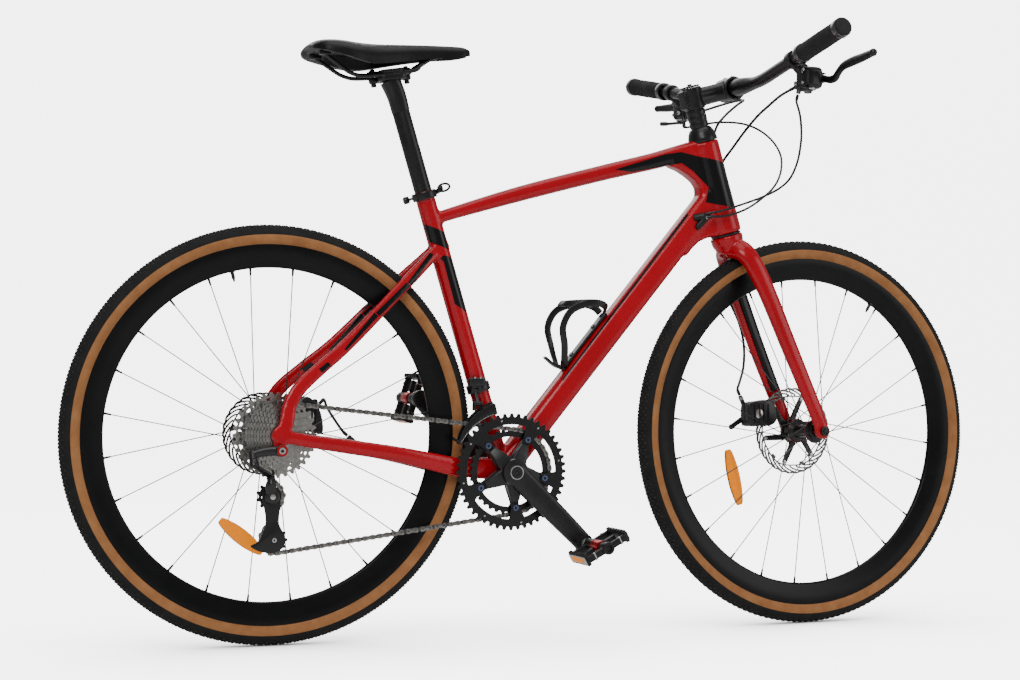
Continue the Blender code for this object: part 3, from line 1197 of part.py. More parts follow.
LINK_UP = Vector((0.0, math.sin(math.radians(LINK_SLANT)), math.cos(math.radians(LINK_SLANT))))
LINK_IN = Vector((0.0, math.cos(math.radians(LINK_SLANT)), -math.sin(math.radians(LINK_SLANT))))
OUTER_PIVOT = Vector((-0.552, -0.085, 0.306))
INNER_PIVOT = OUTER_PIVOT + LINK_LENGTH * (FORWARD * math.cos(math.radians(LINK_TURN))
                                           + LINK_IN * math.sin(math.radians(LINK_TURN)))
CAGE_OUTLINE = ((-0.526, 0.262), (-0.513, 0.267), (-0.500, 0.260), (-0.496, 0.240), (-0.498, 0.205),
                (-0.488, 0.176), (-0.492, 0.164), (-0.507, 0.157), (-0.536, 0.162), (-0.546, 0.169),
                (-0.527, 0.184), (-0.521, 0.212), (-0.527, 0.242))
INNER_CAGE_OUTLINE = ((-0.522, 0.258), (-0.513, 0.262), (-0.504, 0.258), (-0.501, 0.240),
                      (-0.496, 0.190), (-0.496, 0.172), (-0.506, 0.166), (-0.516, 0.172),
                      (-0.517, 0.190), (-0.522, 0.240))


def rear_derailleur():
    """Knuckle on the hanger, slanted link, body, cage and both pulleys."""
    plane = cog_side(CHAIN_COG)
    half = 0.006
    outside = REAR_HUB_HALF + DROPOUT_THICKNESS + GAP
    bolt = Vector((HANGER_BOLT[0], 0.0, HANGER_BOLT[1]))
    barrel = disc(bolt, 0.0095, -outside - 0.0150, -outside, 16)
    shoulder = OUTER_PIVOT + LINK_UP * 0.0170
    arm = sweep([(bolt - LEFT * (outside + 0.0080), 0.0120, 0.0150), (shoulder, 0.0120, 0.0130)],
                2.8, 10)
    post = disc(OUTER_PIVOT, 0.0068, half + GAP, 0.0200, 14, LINK_UP, FORWARD)
    piece("rear_derailleur_knuckle", BLACK, [arm, barrel, post], origin=bolt - LEFT * outside)
    bodies = [sweep([(OUTER_PIVOT, 0.0130, 2 * half - 0.0002), (INNER_PIVOT, 0.0130, 2 * half - 0.0002)],
                    4.0, 8, LINK_UP.cross(INNER_PIVOT - OUTER_PIVOT).normalized())]
    for pivot in (OUTER_PIVOT, INNER_PIVOT):
        bodies.append(disc(pivot, 0.0072, -half, half, 14, LINK_UP, FORWARD))
    piece("rear_derailleur_link", BLACK, bodies, origin=OUTER_PIVOT.copy())
    guide = Vector((GUIDE_PULLEY[0], 0.0, GUIDE_PULLEY[1]))
    plate_outer = plane - 0.0034 - CAGE_PLATE
    barrel = disc(guide, 0.0120, plate_outer - 0.0160, plate_outer - GAP, 18)
    column = disc(INNER_PIVOT, 0.0070, -0.0200, -half - GAP, 14, LINK_UP, FORWARD)
    join_low = Vector((GUIDE_PULLEY[0], plate_outer - 0.0090, GUIDE_PULLEY[1] + 0.004))
    arm = sweep([(INNER_PIVOT - LINK_UP * 0.0150, 0.0130, 0.0170), (join_low, 0.0140, 0.0200)], 2.8, 10)
    piece("rear_derailleur_body", BLACK, [column, arm, barrel], origin=INNER_PIVOT.copy())
    bodies = [plate(CAGE_OUTLINE, plate_outer, plate_outer + CAGE_PLATE),
              plate(INNER_CAGE_OUTLINE, plane + 0.0034, plane + 0.0034 + CAGE_PLATE)]
    for x, z in (GUIDE_PULLEY, TENSION_PULLEY):
        bodies.append(disc(Vector((x, 0.0, z)), PULLEY_BOLT_RADIUS, plate_outer + 0.0003,
                           plane + 0.0034 + CAGE_PLATE - 0.0003, 10))
    piece("rear_derailleur_cage", BLACK, bodies, origin=Vector((GUIDE_PULLEY[0], plane, GUIDE_PULLEY[1])))
    pulley_wheel("guide_pulley", GUIDE_PULLEY)
    pulley_wheel("tension_pulley", TENSION_PULLEY)


BAND_ALONG = 0.150
FRONT_PIVOT_OUTER = Vector((-0.1520, -0.0270, 0.4230))
FRONT_PIVOT_CAGE = Vector((-0.1520, -0.0405, 0.4020))


def arc_outline(inner, outer, first, last, steps):
    """Outline of part of a flat ring about the bottom bracket, between two angles."""
    angles = [math.radians(first + (last - first) * step / steps) for step in range(steps + 1)]
    far = [(BRACKET.x + outer * math.cos(a), BRACKET.z + outer * math.sin(a)) for a in angles]
    near = [(BRACKET.x + inner * math.cos(a), BRACKET.z + inner * math.sin(a)) for a in reversed(angles)]
    return far + near


def front_derailleur():
    """Clamp band and body on the seat tube, link and cage."""
    inner = opened(SEAT_TUBE_RADIUS, 16)
    band = ring(BRACKET, inner, inner + 0.0030, BAND_ALONG - 0.007, BAND_ALONG + 0.007, 16, SEAT_AXIS,
                SEAT_FORWARD)
    housing = block(FRONT_PIVOT_OUTER + Vector((0.0040, 0.0025, 0.0155)), (0.0300, 0.0100, 0.0150), 0.002)
    ears = [block(FRONT_PIVOT_OUTER + Vector((hand * 0.0060, 0.0, 0.0030)), (0.0050, 0.0092, 0.0152))
            for hand in (-1, 1)]
    bridge = block(FRONT_PIVOT_OUTER + Vector((0.0, 0.0015, 0.0080)), (0.0168, 0.0088, 0.0060))
    piece("front_derailleur_body", BLACK, [housing, band, bridge] + ears)
    across = (FRONT_PIVOT_CAGE - FRONT_PIVOT_OUTER).cross(FORWARD).normalized()
    link = sweep([(FRONT_PIVOT_OUTER, 0.0064, 0.0050), (FRONT_PIVOT_CAGE, 0.0064, 0.0050)], 4.0, 8,
                 FORWARD)
    knobs = [disc(pivot, 0.0042, -0.0032, 0.0032, 12, FORWARD, across)
             for pivot in (FRONT_PIVOT_OUTER, FRONT_PIVOT_CAGE)]
    piece("front_derailleur_link", BLACK, [link] + knobs, origin=FRONT_PIVOT_OUTER.copy())
    outer_low = SMALL_RING_SIDE - CHAIN_WIDTH / 2 - 0.0035
    inner_low = SMALL_RING_SIDE + CHAIN_WIDTH / 2 + 0.0020
    outer_plate = plate(arc_outline(0.1020, 0.1220, 104.0, 153.0, 7), outer_low, outer_low + CAGE_PLATE)
    inner_plate = plate(arc_outline(0.1020, 0.1260, 106.0, 153.0, 6), inner_low, inner_low + CAGE_PLATE)
    top = plate(arc_outline(0.1180, 0.1215, 105.0, 116.0, 2), outer_low + 0.0003,
                inner_low + CAGE_PLATE - 0.0003)
    tail = plate(arc_outline(0.1040, 0.1200, 150.0, 152.0, 1), outer_low + 0.0003,
                 inner_low + CAGE_PLATE - 0.0003)
    eye = [disc(FRONT_PIVOT_CAGE, 0.0042, low, low + 0.0045, 12, FORWARD, UP) for low in (-0.0080, 0.0035)]
    stalk = [block(FRONT_PIVOT_CAGE + Vector((low + 0.00225, 0.0035, -0.0060)), (0.0043, 0.0080, 0.0120))
             for low in (-0.0080, 0.0035)]
    piece("front_derailleur_cage", BLACK, [outer_plate, inner_plate, top, tail] + eye + stalk,
          origin=FRONT_PIVOT_CAGE.copy())


# Bottle cage and cables

def bottle_cage():
    """Spine on the down tube, a hoop round the bottle and a foot hook."""
    base = DOWN_TUBE_SIZE / 2 + GAP
    spine = sweep([(down(0.206, base + 0.0030), 0.024, 0.0050), (down(0.334, base + 0.0030), 0.024, 0.0050)],
                  5.0, 8)
    hoop = []
    route = ((0.332, 0.030, 0.009), (0.337, 0.040, 0.026), (0.330, 0.058, 0.037), (0.312, 0.080, 0.035),
             (0.298, 0.096, 0.018), (0.294, 0.100, 0.0))
    side = ((0.322, 0.070, 0.037), (0.288, 0.088, 0.037), (0.256, 0.082, 0.036), (0.234, 0.058, 0.032),
            (0.214, 0.036, 0.020), (0.210, 0.029, 0.008))
    for hand in (-1, 1):
        hoop.append(sweep([(down(along, out, hand * across), 0.006, 0.006)
                           for along, out, across in route], 2.4, 6, DOWN_AXIS))
        hoop.append(sweep([(down(along, out, hand * across), 0.006, 0.006)
                           for along, out, across in side], 2.4, 6, DOWN_UP))
    hook = sweep([(down(0.209, base + 0.0020), 0.020, 0.0050), (down(0.203, 0.040), 0.018, 0.0050),
                  (down(0.202, 0.064), 0.012, 0.0050)], 3.0, 8)
    piece("bottle_cage", BLACK, [spine, hook] + hoop)


# Cable routes, chosen by hand along the real runs; the sockets give each route its ends
RIGHT_SHIFT_ROUTE = (
    (0.3880, -0.1810, 0.9060), (0.3970, -0.1700, 0.8810), (0.4040, -0.1550, 0.8570),
    (0.4080, -0.1350, 0.8270), (0.4070, -0.1100, 0.8010), (0.3970, -0.0850, 0.7840),
    (0.3770, -0.0640, 0.7710), (0.3570, -0.0480, 0.7620), (0.3380, -0.0395, 0.7550),
    (0.3140, -0.0375, 0.7470),
)
LEFT_SHIFT_ROUTE = (
    (0.3900, 0.1850, 0.9290), (0.4150, 0.1790, 0.9320), (0.4400, 0.1600, 0.9300),
    (0.4570, 0.1400, 0.9230), (0.4710, 0.1180, 0.9100), (0.4800, 0.0920, 0.8900),
    (0.4810, 0.0650, 0.8650), (0.4710, 0.0400, 0.8400), (0.4540, 0.0180, 0.8150),
    (0.4280, -0.0060, 0.7920), (0.3950, -0.0260, 0.7710), (0.3640, -0.0390, 0.7540),
    (0.3410, -0.0415, 0.7440), (0.3140, -0.0385, 0.7365),
)
REAR_BRAKE_ROUTE = (
    (0.3660, -0.1480, 0.9410), (0.3590, -0.1200, 0.9270), (0.3540, -0.0850, 0.9110),
    (0.3490, -0.0450, 0.8870), (0.3450, -0.0120, 0.8640), (0.3410, 0.0160, 0.8440),
    (0.3330, 0.0350, 0.8190),
)
# Straight ahead, because this cable turns with the fork
FRONT_BRAKE_ROUTE = (
    (0.3900, 0.1530, 0.9560), (0.4280, 0.1350, 0.9690), (0.4450, 0.1100, 0.9720),
    (0.4100, 0.0800, 0.9550), (0.3700, 0.0560, 0.9300), (0.3450, 0.0450, 0.9050),
    (0.3330, 0.0420, 0.8600), (0.3450, 0.0420, 0.8000), (0.3610, 0.0430, 0.7400),
    (0.3680, 0.0620, 0.6950), (0.3660, 0.0700, 0.6500), (0.3830, 0.0710, 0.6000),
    (0.4060, 0.0680, 0.5500), (0.4150, 0.0660, 0.5100), (0.4130, 0.0640, 0.4700),
    (0.4030, 0.0620, 0.4400),
)
CABLE_TAIL_ROUTE = ((-0.3880, 0.0665, 0.3930), (-0.3740, 0.0675, 0.3720))


def socket(ends, across=0.0):
    """Two points of a cable that enters a barrel squarely: just clear of its face, and further out."""
    start, end = Vector(ends[0]), Vector(ends[1])
    along = (end - start).normalized()
    above = (UP - UP.dot(along) * along).normalized()
    face = end + above * across
    return [face + along * 3 * GAP, face + along * 0.012]


def cables(steering):
    """Brake and shift housings along their real routes."""
    pods = {}
    for kind, ends in (("brake", BRAKE_EXIT), ("shift", SHIFT_EXIT)):
        for hand in (-1, 1):
            pods[kind, hand] = socket([mirrored(point, hand) for point in ends])
    turned_pods = {key: [steered(point) for point in points] for key, points in pods.items()}
    near_port = list(reversed(socket(RIGHT_PORT, PORT_SPREAD)))
    far_port = list(reversed(socket(RIGHT_PORT, -PORT_SPREAD)))
    left_port = list(reversed(socket(LEFT_PORT)))
    cable("right_shift_cable", turned_pods["shift", -1] + list(RIGHT_SHIFT_ROUTE) + near_port,
          SHIFT_CABLE_RADIUS)
    cable("left_shift_cable", turned_pods["shift", 1] + list(LEFT_SHIFT_ROUTE) + far_port,
          SHIFT_CABLE_RADIUS)
    cable("rear_brake_cable", turned_pods["brake", -1] + list(REAR_BRAKE_ROUTE) + left_port,
          BRAKE_CABLE_RADIUS)
    front_stop = list(reversed(socket(FRONT_STOP)))
    cable("front_brake_cable", pods["brake", 1] + list(FRONT_BRAKE_ROUTE) + front_stop,
          BRAKE_CABLE_RADIUS, steering)
    stay_port = list(reversed(socket(STAY_PORT)))
    cable("rear_brake_cable_tail", socket(REAR_STOP) + list(CABLE_TAIL_ROUTE) + stay_port,
          BRAKE_CABLE_RADIUS)


def main():
    """Build every piece in order."""
    clear_scene()
    steering = bpy.data.objects.new("steering", None)
    bpy.context.scene.collection.objects.link(steering)
    steering.location = CROWN
    frame()
    headset()
    saddle()
    saddle_rails()
    seatpost()
    seat_clamp()
    wheels(steering)
    fork(steering)
    stem(steering)
    handlebar(steering)
    controls(steering)
    brakes(steering)
    crankset()
    pedal("pedal_right", -1, CRANK_ANGLE, RIGHT_PEDAL_TILT)
    pedal("pedal_left", 1, CRANK_ANGLE + 180.0, LEFT_PEDAL_TILT)
    cassette()
    chain()
    rear_derailleur()
    front_derailleur()
    bottle_cage()
    cables(steering)
    for made in bpy.context.scene.objects:
        if made.parent is None:
            made.location += Vector(BOX_SHIFT)
    steering.rotation_mode = "QUATERNION"
    steering.rotation_quaternion = Matrix.Rotation(math.radians(STEER_ANGLE), 3, HEAD_AXIS).to_quaternion()


main()
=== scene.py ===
"""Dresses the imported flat-bar gravel bicycle and sets its stage, lights and camera.

Metres, +Z up, +X forward, +Y to the rider's left. Every shape is worked out from a point on the ground
midway between the axles and then moved by SHIFT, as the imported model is. The pieces that steer are
built straight ahead and turned with the fork.
"""
import logging
import math
from dataclasses import dataclass, replace
from enum import Enum
from typing import Callable, Optional, Sequence, Union

import bmesh
import bpy
import numpy as np
from mathutils import Matrix, Vector


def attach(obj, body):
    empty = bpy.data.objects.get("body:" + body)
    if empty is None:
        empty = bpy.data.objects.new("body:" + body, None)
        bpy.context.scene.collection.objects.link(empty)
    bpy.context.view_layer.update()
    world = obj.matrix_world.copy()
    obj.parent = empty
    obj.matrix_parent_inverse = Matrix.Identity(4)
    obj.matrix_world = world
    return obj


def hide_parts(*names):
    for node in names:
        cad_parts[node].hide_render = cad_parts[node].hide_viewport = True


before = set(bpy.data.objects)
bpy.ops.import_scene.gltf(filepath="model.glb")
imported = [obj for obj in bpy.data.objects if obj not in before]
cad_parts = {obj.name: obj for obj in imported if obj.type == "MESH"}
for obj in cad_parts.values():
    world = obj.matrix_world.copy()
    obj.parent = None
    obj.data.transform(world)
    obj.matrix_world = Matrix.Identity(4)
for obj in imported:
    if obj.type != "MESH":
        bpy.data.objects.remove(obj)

Array = np.ndarray
Colour = tuple[float, float, float]
Socket = bpy.types.NodeSocket
Sockets = bpy.types.bpy_prop_collection
Value = Union[float, Colour, Socket]
log = logging.getLogger("bicycle")
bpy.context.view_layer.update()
FORWARD, LEFT, UP = np.eye(3)
SHIFT = np.array([0.0008, -0.0089, 0.0])

# Sizes that several pieces share: a disc is its radius and inner side, a port is its two ends
CHAIN_PITCH = 0.0127
HANGER_BOLT = (-0.507, 0.327)
FRONT_DISC = (0.080, 0.0393)
REAR_DISC = (0.070, 0.0520)
DISC_THICKNESS = 0.0018
SHIFT_HOUSING = 0.0022
BRAKE_HOUSING = 0.0025
LEFT_PORT = ((0.288, 0.0150, 0.7630), (0.3055, 0.0310, 0.7865))
STAY_PORT = ((-0.334, 0.0560, 0.3260), (-0.3520, 0.0620, 0.3440))


# Vectors

def unit(vector: Array) -> Array:
    """Vector of length one along the given one: v / |v|."""
    return np.asarray(vector, float) / np.linalg.norm(vector)


def heading(degrees: float) -> Array:
    """Unit vector in the XZ plane at an angle above straight ahead: (cos a, 0, sin a)."""
    angle = math.radians(degrees)
    return np.array([math.cos(angle), 0.0, math.sin(angle)])


def rotation(axis: Array, degrees: float) -> Array:
    """Rotation matrix about an axis by Rodrigues' formula: I + sin a K + (1 - cos a) K K.

    Args:
        axis: direction to turn about.
        degrees: angle of the turn.

    Returns:
        The matrix.
    """
    x, y, z = unit(axis)
    skew = np.array([[0, -z, y], [z, 0, -x], [-y, x, 0]])
    angle = math.radians(degrees)
    return np.eye(3) + math.sin(angle) * skew + (1 - math.cos(angle)) * skew @ skew


def mirrored(points: Array, hand: int) -> Array:
    """Points as given for hand 1, and on the bicycle's other side for hand -1: (x, hand y, z)."""
    return np.asarray(points, float) * np.array([1.0, hand, 1.0])


def flow(stations: Sequence[Sequence[float]], count: int, closed: bool = False) -> Array:
    """Smooth curve through rows of numbers, read at an even spacing of its first three columns.

    Each span is a Catmull-Rom cubic, 0.5 (2b + (c-a)t + (2a-5b+4c-d)t^2 + (3b-a-3c+d)t^3).

    Args:
        stations: rows whose first three numbers are a point; further columns follow along.
        count: how many rows to return.
        closed: whether the last row runs on to the first.

    Returns:
        Array of count rows.
    """
    rows = np.asarray(stations, float)
    if closed:
        padded = np.vstack([rows[-1], rows, rows[0], rows[1]])
    else:
        padded = np.vstack([2 * rows[0] - rows[1], rows, 2 * rows[-1] - rows[-2]])
    t = np.linspace(0.0, 1.0, 24, endpoint=False)[None, :, None]
    a, b, c, d = (padded[k:len(padded) - 3 + k, None, :] for k in range(4))
    fine = 0.5 * (2 * b + (c - a) * t + (2 * a - 5 * b + 4 * c - d) * t ** 2
                  + (3 * b - a - 3 * c + d) * t ** 3)
    fine = np.vstack([fine.reshape(-1, rows.shape[1]), padded[-2]])
    travelled = np.concatenate([[0.0], np.cumsum(np.linalg.norm(np.diff(fine[:, :3], axis=0), axis=1))])
    wanted = np.linspace(0.0, travelled[-1], count, endpoint=not closed)
    return np.stack([np.interp(wanted, travelled, column) for column in fine.T], -1)


# Layout

@dataclass(frozen=True)
class Layout:
    """Driving sizes of the bicycle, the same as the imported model's."""

    wheelbase: float = 1.0074
    tyre_radius: float = 0.350
    chainstay: float = 0.4155
    bracket_drop: float = 0.0645
    seat_angle: float = 73.0
    seat_tube: float = 0.486
    head_angle: float = 74.4
    head_tube: float = 0.174
    down_angle: float = 50.6
    down_tube: float = 0.646
    down_size: float = 0.045
    fork_offset: float = 0.065
    fork_length: float = 0.386
    steer_angle: float = 5.1

    @property
    def rear_axle(self) -> Array:
        """Centre of the rear wheel."""
        return np.array([-self.wheelbase / 2, 0.0, self.tyre_radius])

    @property
    def front_axle(self) -> Array:
        """Centre of the front wheel, straight ahead."""
        return np.array([self.wheelbase / 2, 0.0, self.tyre_radius])

    @property
    def bracket(self) -> Array:
        """Centre of the bottom bracket."""
        ahead = math.sqrt(self.chainstay ** 2 - self.bracket_drop ** 2)
        return self.rear_axle + np.array([ahead, 0.0, -self.bracket_drop])

    @property
    def head_axis(self) -> Array:
        """Direction up the steering axis."""
        return heading(180.0 - self.head_angle)

    @property
    def crown(self) -> Array:
        """Point of the steering axis under the lower bearing."""
        return (self.front_axle - self.fork_offset * heading(90.0 - self.head_angle)
                + self.fork_length * self.head_axis)

    @property
    def seat_axis(self) -> Array:
        """Direction up the seat tube."""
        return heading(180.0 - self.seat_angle)

    def head(self, along: float, out: float = 0.0, side: float = 0.0) -> Array:
        """Point along the steering axis above the crown, ahead of it and to the left."""
        return self.crown + along * self.head_axis + out * heading(90.0 - self.head_angle) + side * LEFT

    def seat(self, along: float, out: float = 0.0, side: float = 0.0) -> Array:
        """Point up the seat tube from the bottom bracket, ahead of it and to the left."""
        return self.bracket + along * self.seat_axis + out * heading(90.0 - self.seat_angle) + side * LEFT

    def down(self, along: float, out: float = 0.0, side: float = 0.0) -> Array:
        """Point up the down tube from the bottom bracket, above it and to the left."""
        return (self.bracket + along * heading(self.down_angle)
                + out * heading(self.down_angle + 90.0) + side * LEFT)


BIKE = Layout()


@dataclass(frozen=True)
class Place:
    """Moves a sub-assembly from the sizes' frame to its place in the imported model."""

    steers: bool = False

    def of(self, points: Array) -> Array:
        """Points at rest: crown + R (p - crown) + shift, where R turns only what steers.

        Args:
            points: points in the sizes' frame.

        Returns:
            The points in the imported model.
        """
        points = np.asarray(points, float)
        if self.steers:
            turn = rotation(BIKE.head_axis, BIKE.steer_angle)
            points = (points - BIKE.crown) @ turn.T + BIKE.crown
        return points + SHIFT


FIXED = Place(False)
STEERED = Place(True)


# Surfaces

@dataclass
class Surface:
    """Polygons over points, with a chart position for each corner and a finish number for each face."""

    points: Array
    corners: Array
    counts: Array
    chart: Array
    skin: Array

    def moved(self, turn: Array, shift: Array) -> "Surface":
        """The same surface at R p + shift."""
        return replace(self, points=self.points @ np.asarray(turn, float).T + shift)

    def dressed(self, number: int) -> "Surface":
        """The same surface with one finish number on every face."""
        return replace(self, skin=np.full(len(self.counts), number))

    def copies(self, turns: Array, shifts: Array) -> "Surface":
        """Copies of the surface at R p + s for each pair of matrix and shift, as one surface.

        Args:
            turns: a matrix for each copy.
            shifts: a shift for each copy.

        Returns:
            All the copies as one surface.
        """
        number, size = len(shifts), len(self.points)
        points = np.einsum("nij,pj->npi", turns, self.points) + shifts[:, None, :]
        offsets = np.arange(number)[:, None] * size
        return Surface(points.reshape(-1, 3), (self.corners[None] + offsets).ravel(),
                       np.tile(self.counts, number), np.tile(self.chart, (number, 1)),
                       np.tile(self.skin, number))


def joined(*parts: Surface) -> Surface:
    """One surface out of several, their corner numbers moved on past the points before them.

    Args:
        parts: the surfaces, in the order that their faces are to have.

    Returns:
        The one surface.
    """
    sizes = [0] + [len(part.points) for part in parts]
    starts = np.cumsum(sizes)
    return Surface(np.vstack([part.points for part in parts]),
                   np.concatenate([part.corners + start for part, start in zip(parts, starts)]),
                   np.concatenate([part.counts for part in parts]),
                   np.vstack([part.chart for part in parts]),
                   np.concatenate([part.skin for part in parts]))


def lattice(points: Array, around: bool = True, loop: bool = False, caps: bool = True) -> Surface:
    """Quads over a grid of points S(i, j).

    Args:
        points: array of rows by columns by 3.
        around: whether each row closes on itself.
        loop: whether the last row joins the first.
        caps: whether the first and last rows are closed by a polygon each.

    Returns:
        The surface; its chart is (i / rows, j / columns).
    """
    rows, columns = points.shape[:2]
    i, j = np.meshgrid(np.arange(rows if loop else rows - 1), np.arange(columns if around else columns - 1),
                       indexing="ij")
    steps = [(0, 0), (1, 0), (1, 1), (0, 1)]
    corners = np.stack([(i + a) % rows * columns + (j + b) % columns for a, b in steps], -1)
    chart = np.stack([np.stack([(i + a) / rows, (j + b) / columns], -1) for a, b in steps], -2)
    corners, chart = corners.reshape(-1), chart.reshape(-1, 2)
    counts = np.full(i.size, 4)
    if caps and around and not loop:
        ends = np.concatenate([np.arange(columns)[::-1], (rows - 1) * columns + np.arange(columns)])
        corners = np.concatenate([corners, ends])
        counts = np.concatenate([counts, [columns, columns]])
        chart = np.vstack([chart, np.zeros((columns, 2)), np.ones((columns, 2))])
    return Surface(points.reshape(-1, 3), corners, counts, chart, np.zeros(len(counts), int))


def oval(sides: int, power: float) -> Array:
    """Unit superellipse: (sgn cos a |cos a|^(2/p), sgn sin a |sin a|^(2/p)), round for p = 2."""
    angle = 2 * np.pi * (np.arange(sides) + 0.5) / sides
    return np.stack([np.sign(f) * np.abs(f) ** (2 / power) for f in (np.cos(angle), np.sin(angle))], -1)


def sweep(stations: Sequence, sides: int = 24, power: float = 2.0, across: Array = LEFT, count: int = 0,
          edge: float = 0.0, loop: bool = False) -> Surface:
    """Profile carried along a path: S(i, j) = p(i) + w(i)/2 cx(j) a(i) + h(i)/2 cz(j) b(i).

    Args:
        stations: rows of (point, width, height).
        sides: points around the profile.
        power: superellipse power of the profile.
        across: direction that the widths follow; a is its part square to the path and b = a x path.
        count: rows along a smooth curve through the stations, or 0 for the stations as they are.
        edge: radius of the rounded rim at both ends.
        loop: whether the path closes on itself.

    Returns:
        The closed surface.
    """
    rows = np.array([[*point, width, height] for point, width, height in stations], float)
    if count:
        rows = flow(rows, count, loop)
    path, width, height = rows[:, :3], rows[:, 3], rows[:, 4]
    if loop:
        ahead = np.roll(path, -1, 0) - np.roll(path, 1, 0)
    else:
        ahead = np.vstack([path[1] - path[0], path[2:] - path[:-2], path[-1] - path[-2]])
    ahead = ahead / np.linalg.norm(ahead, axis=1, keepdims=True)
    side = across - (ahead @ across)[:, None] * ahead
    side /= np.linalg.norm(side, axis=1, keepdims=True)
    above = np.cross(side, ahead)
    if edge and not loop:
        angle = np.radians([0.0, 30.0, 60.0, 90.0])
        inset, drawn = edge * (1 - np.sin(angle)), edge * (1 - np.cos(angle))
        first = path[0] + ahead[0] * drawn[:, None]
        last = path[-1] - ahead[-1] * drawn[::-1, None]
        path = np.vstack([first, path[1:-1], last])
        keep = [0] * 4 + list(range(1, len(width) - 1)) + [len(width) - 1] * 4
        less = np.concatenate([inset, np.zeros(len(width) - 2), inset[::-1]]) * 2
        width, height, side, above = width[keep] - less, height[keep] - less, side[keep], above[keep]
    shape = oval(sides, power)
    grid = (path[:, None] + side[:, None] * (width[:, None] / 2 * shape[None, :, 0])[..., None]
            + above[:, None] * (height[:, None] / 2 * shape[None, :, 1])[..., None])
    return lattice(grid, True, loop)


def rod(start: Array, end: Array, radius: float, last: Optional[float] = None, sides: int = 20,
        edge: float = 0.0005) -> Surface:
    """Round bar or cone between two points, its ends eased.

    Args:
        start: middle of the first end.
        end: middle of the last end.
        radius: radius at the first end.
        last: radius at the last end, or None for the same.
        sides: points round the bar.
        edge: radius of the eased rims.

    Returns:
        The closed surface.
    """
    start, end = np.asarray(start, float), np.asarray(end, float)
    last = radius if last is None else last
    across = LEFT if abs(unit(end - start) @ LEFT) < 0.9 else UP
    return sweep([(start, 2 * radius, 2 * radius), (end, 2 * last, 2 * last)], sides, 2.0, across, 0, edge)


def pipe(route: Sequence, radius: float, count: int, sides: int = 16, across: Array = UP) -> Surface:
    """Round tube of one radius on a smooth curve through a route."""
    return sweep([(point, 2 * radius, 2 * radius) for point in route], sides, 2.0, across, count)


def lathe(profile: Sequence, centre: Array, axis: Array = LEFT, sides: int = 48) -> Surface:
    """Closed profile turned about an axis: S(i, j) = c + s(i) n + r(i) (cos a(j) e + sin a(j) n x e).

    Args:
        profile: (radius, along) pairs of a closed outline; a corner on the axis has radius 0.
        centre: point of the axis where along is 0.
        axis: direction n.
        sides: steps round the axis.

    Returns:
        The closed surface, its first column following the profile.
    """
    pairs = np.asarray(profile, float)
    axis = unit(axis)
    out = unit(np.cross(axis, FORWARD if abs(axis @ FORWARD) < 0.9 else UP))
    angle = 2 * np.pi * np.arange(sides) / sides
    ring = np.cos(angle)[:, None] * out + np.sin(angle)[:, None] * np.cross(axis, out)
    grid = centre + pairs[:, 1][:, None, None] * axis + np.maximum(pairs[:, 0], 0)[:, None, None] * ring[None]
    return lattice(grid, True, True)


def eased(profile: Sequence, edge: float) -> list:
    """The closed (radius, along) outline with each corner off the axis cut back twice by an edge.

    Args:
        profile: (radius, along) pairs of a closed outline.
        edge: how far a corner is cut back at most.

    Returns:
        The pairs of the new outline.
    """
    pairs = [np.asarray(pair, float) for pair in profile]
    made = []
    for index, corner in enumerate(pairs):
        before, after = pairs[index - 1] - corner, pairs[(index + 1) % len(pairs)] - corner
        if corner[0] < 1e-6:
            made.append(tuple(corner))
            continue
        cut = [min(edge, np.linalg.norm(arm) / 2.2) for arm in (before, after)]
        low, high = corner + unit(before) * cut[0], corner + unit(after) * cut[1]
        middle = 0.5 * corner + 0.25 * (low + high)
        made += [tuple(low), tuple(middle), tuple(high)]
    return made


def disc(centre: Array, radius: float, low: float, high: float, axis: Array = LEFT, sides: int = 32,
         edge: float = 0.0005) -> Surface:
    """Round slab from low to high along an axis, its rim eased."""
    return lathe(eased([(0, low), (radius, low), (radius, high), (0, high)], edge), centre, axis, sides)


def band(centre: Array, inner: float, outer: float, low: float, high: float, axis: Array = LEFT,
         sides: int = 48, edge: float = 0.0004) -> Surface:
    """Ring from low to high along an axis, its four rims eased."""
    return lathe(eased([(inner, low), (outer, low), (outer, high), (inner, high)], edge), centre, axis, sides)


def prism(outline: Sequence, low: float, high: float, edge: float = 0.0008) -> Surface:
    """Flat piece with a rounded rim: an outline of (x, z) points carried from low to high along Y.

    The rim's rings are the outline drawn towards its middle by edge (1 - sin a) at each side.

    Args:
        outline: (x, z) points in order.
        low: lower face along Y.
        high: upper face along Y.
        edge: radius of the rounded rim.

    Returns:
        The closed surface.
    """
    flat = np.asarray(outline, float)
    before, after = np.roll(flat, 1, 0), np.roll(flat, -1, 0)
    way = after - before
    turning = np.sum(before[:, 0] * flat[:, 1] - flat[:, 0] * before[:, 1])
    inward = np.stack([-way[:, 1], way[:, 0]], -1) * np.sign(turning)
    inward /= np.linalg.norm(inward, axis=1, keepdims=True)
    edge = min(edge, (high - low) / 2)
    angle = np.radians([0.0, 30.0, 60.0, 90.0])
    drawn = edge * (1 - np.sin(angle))
    heights = np.concatenate([low + edge * (1 - np.cos(angle)), high - edge * (1 - np.cos(angle))[::-1]])
    rows = flat[None] + inward[None] * np.concatenate([drawn, drawn[::-1]])[:, None, None]
    grid = np.stack([rows[..., 0], np.broadcast_to(heights[:, None], rows.shape[:2]), rows[..., 1]], -1)
    return lattice(grid)


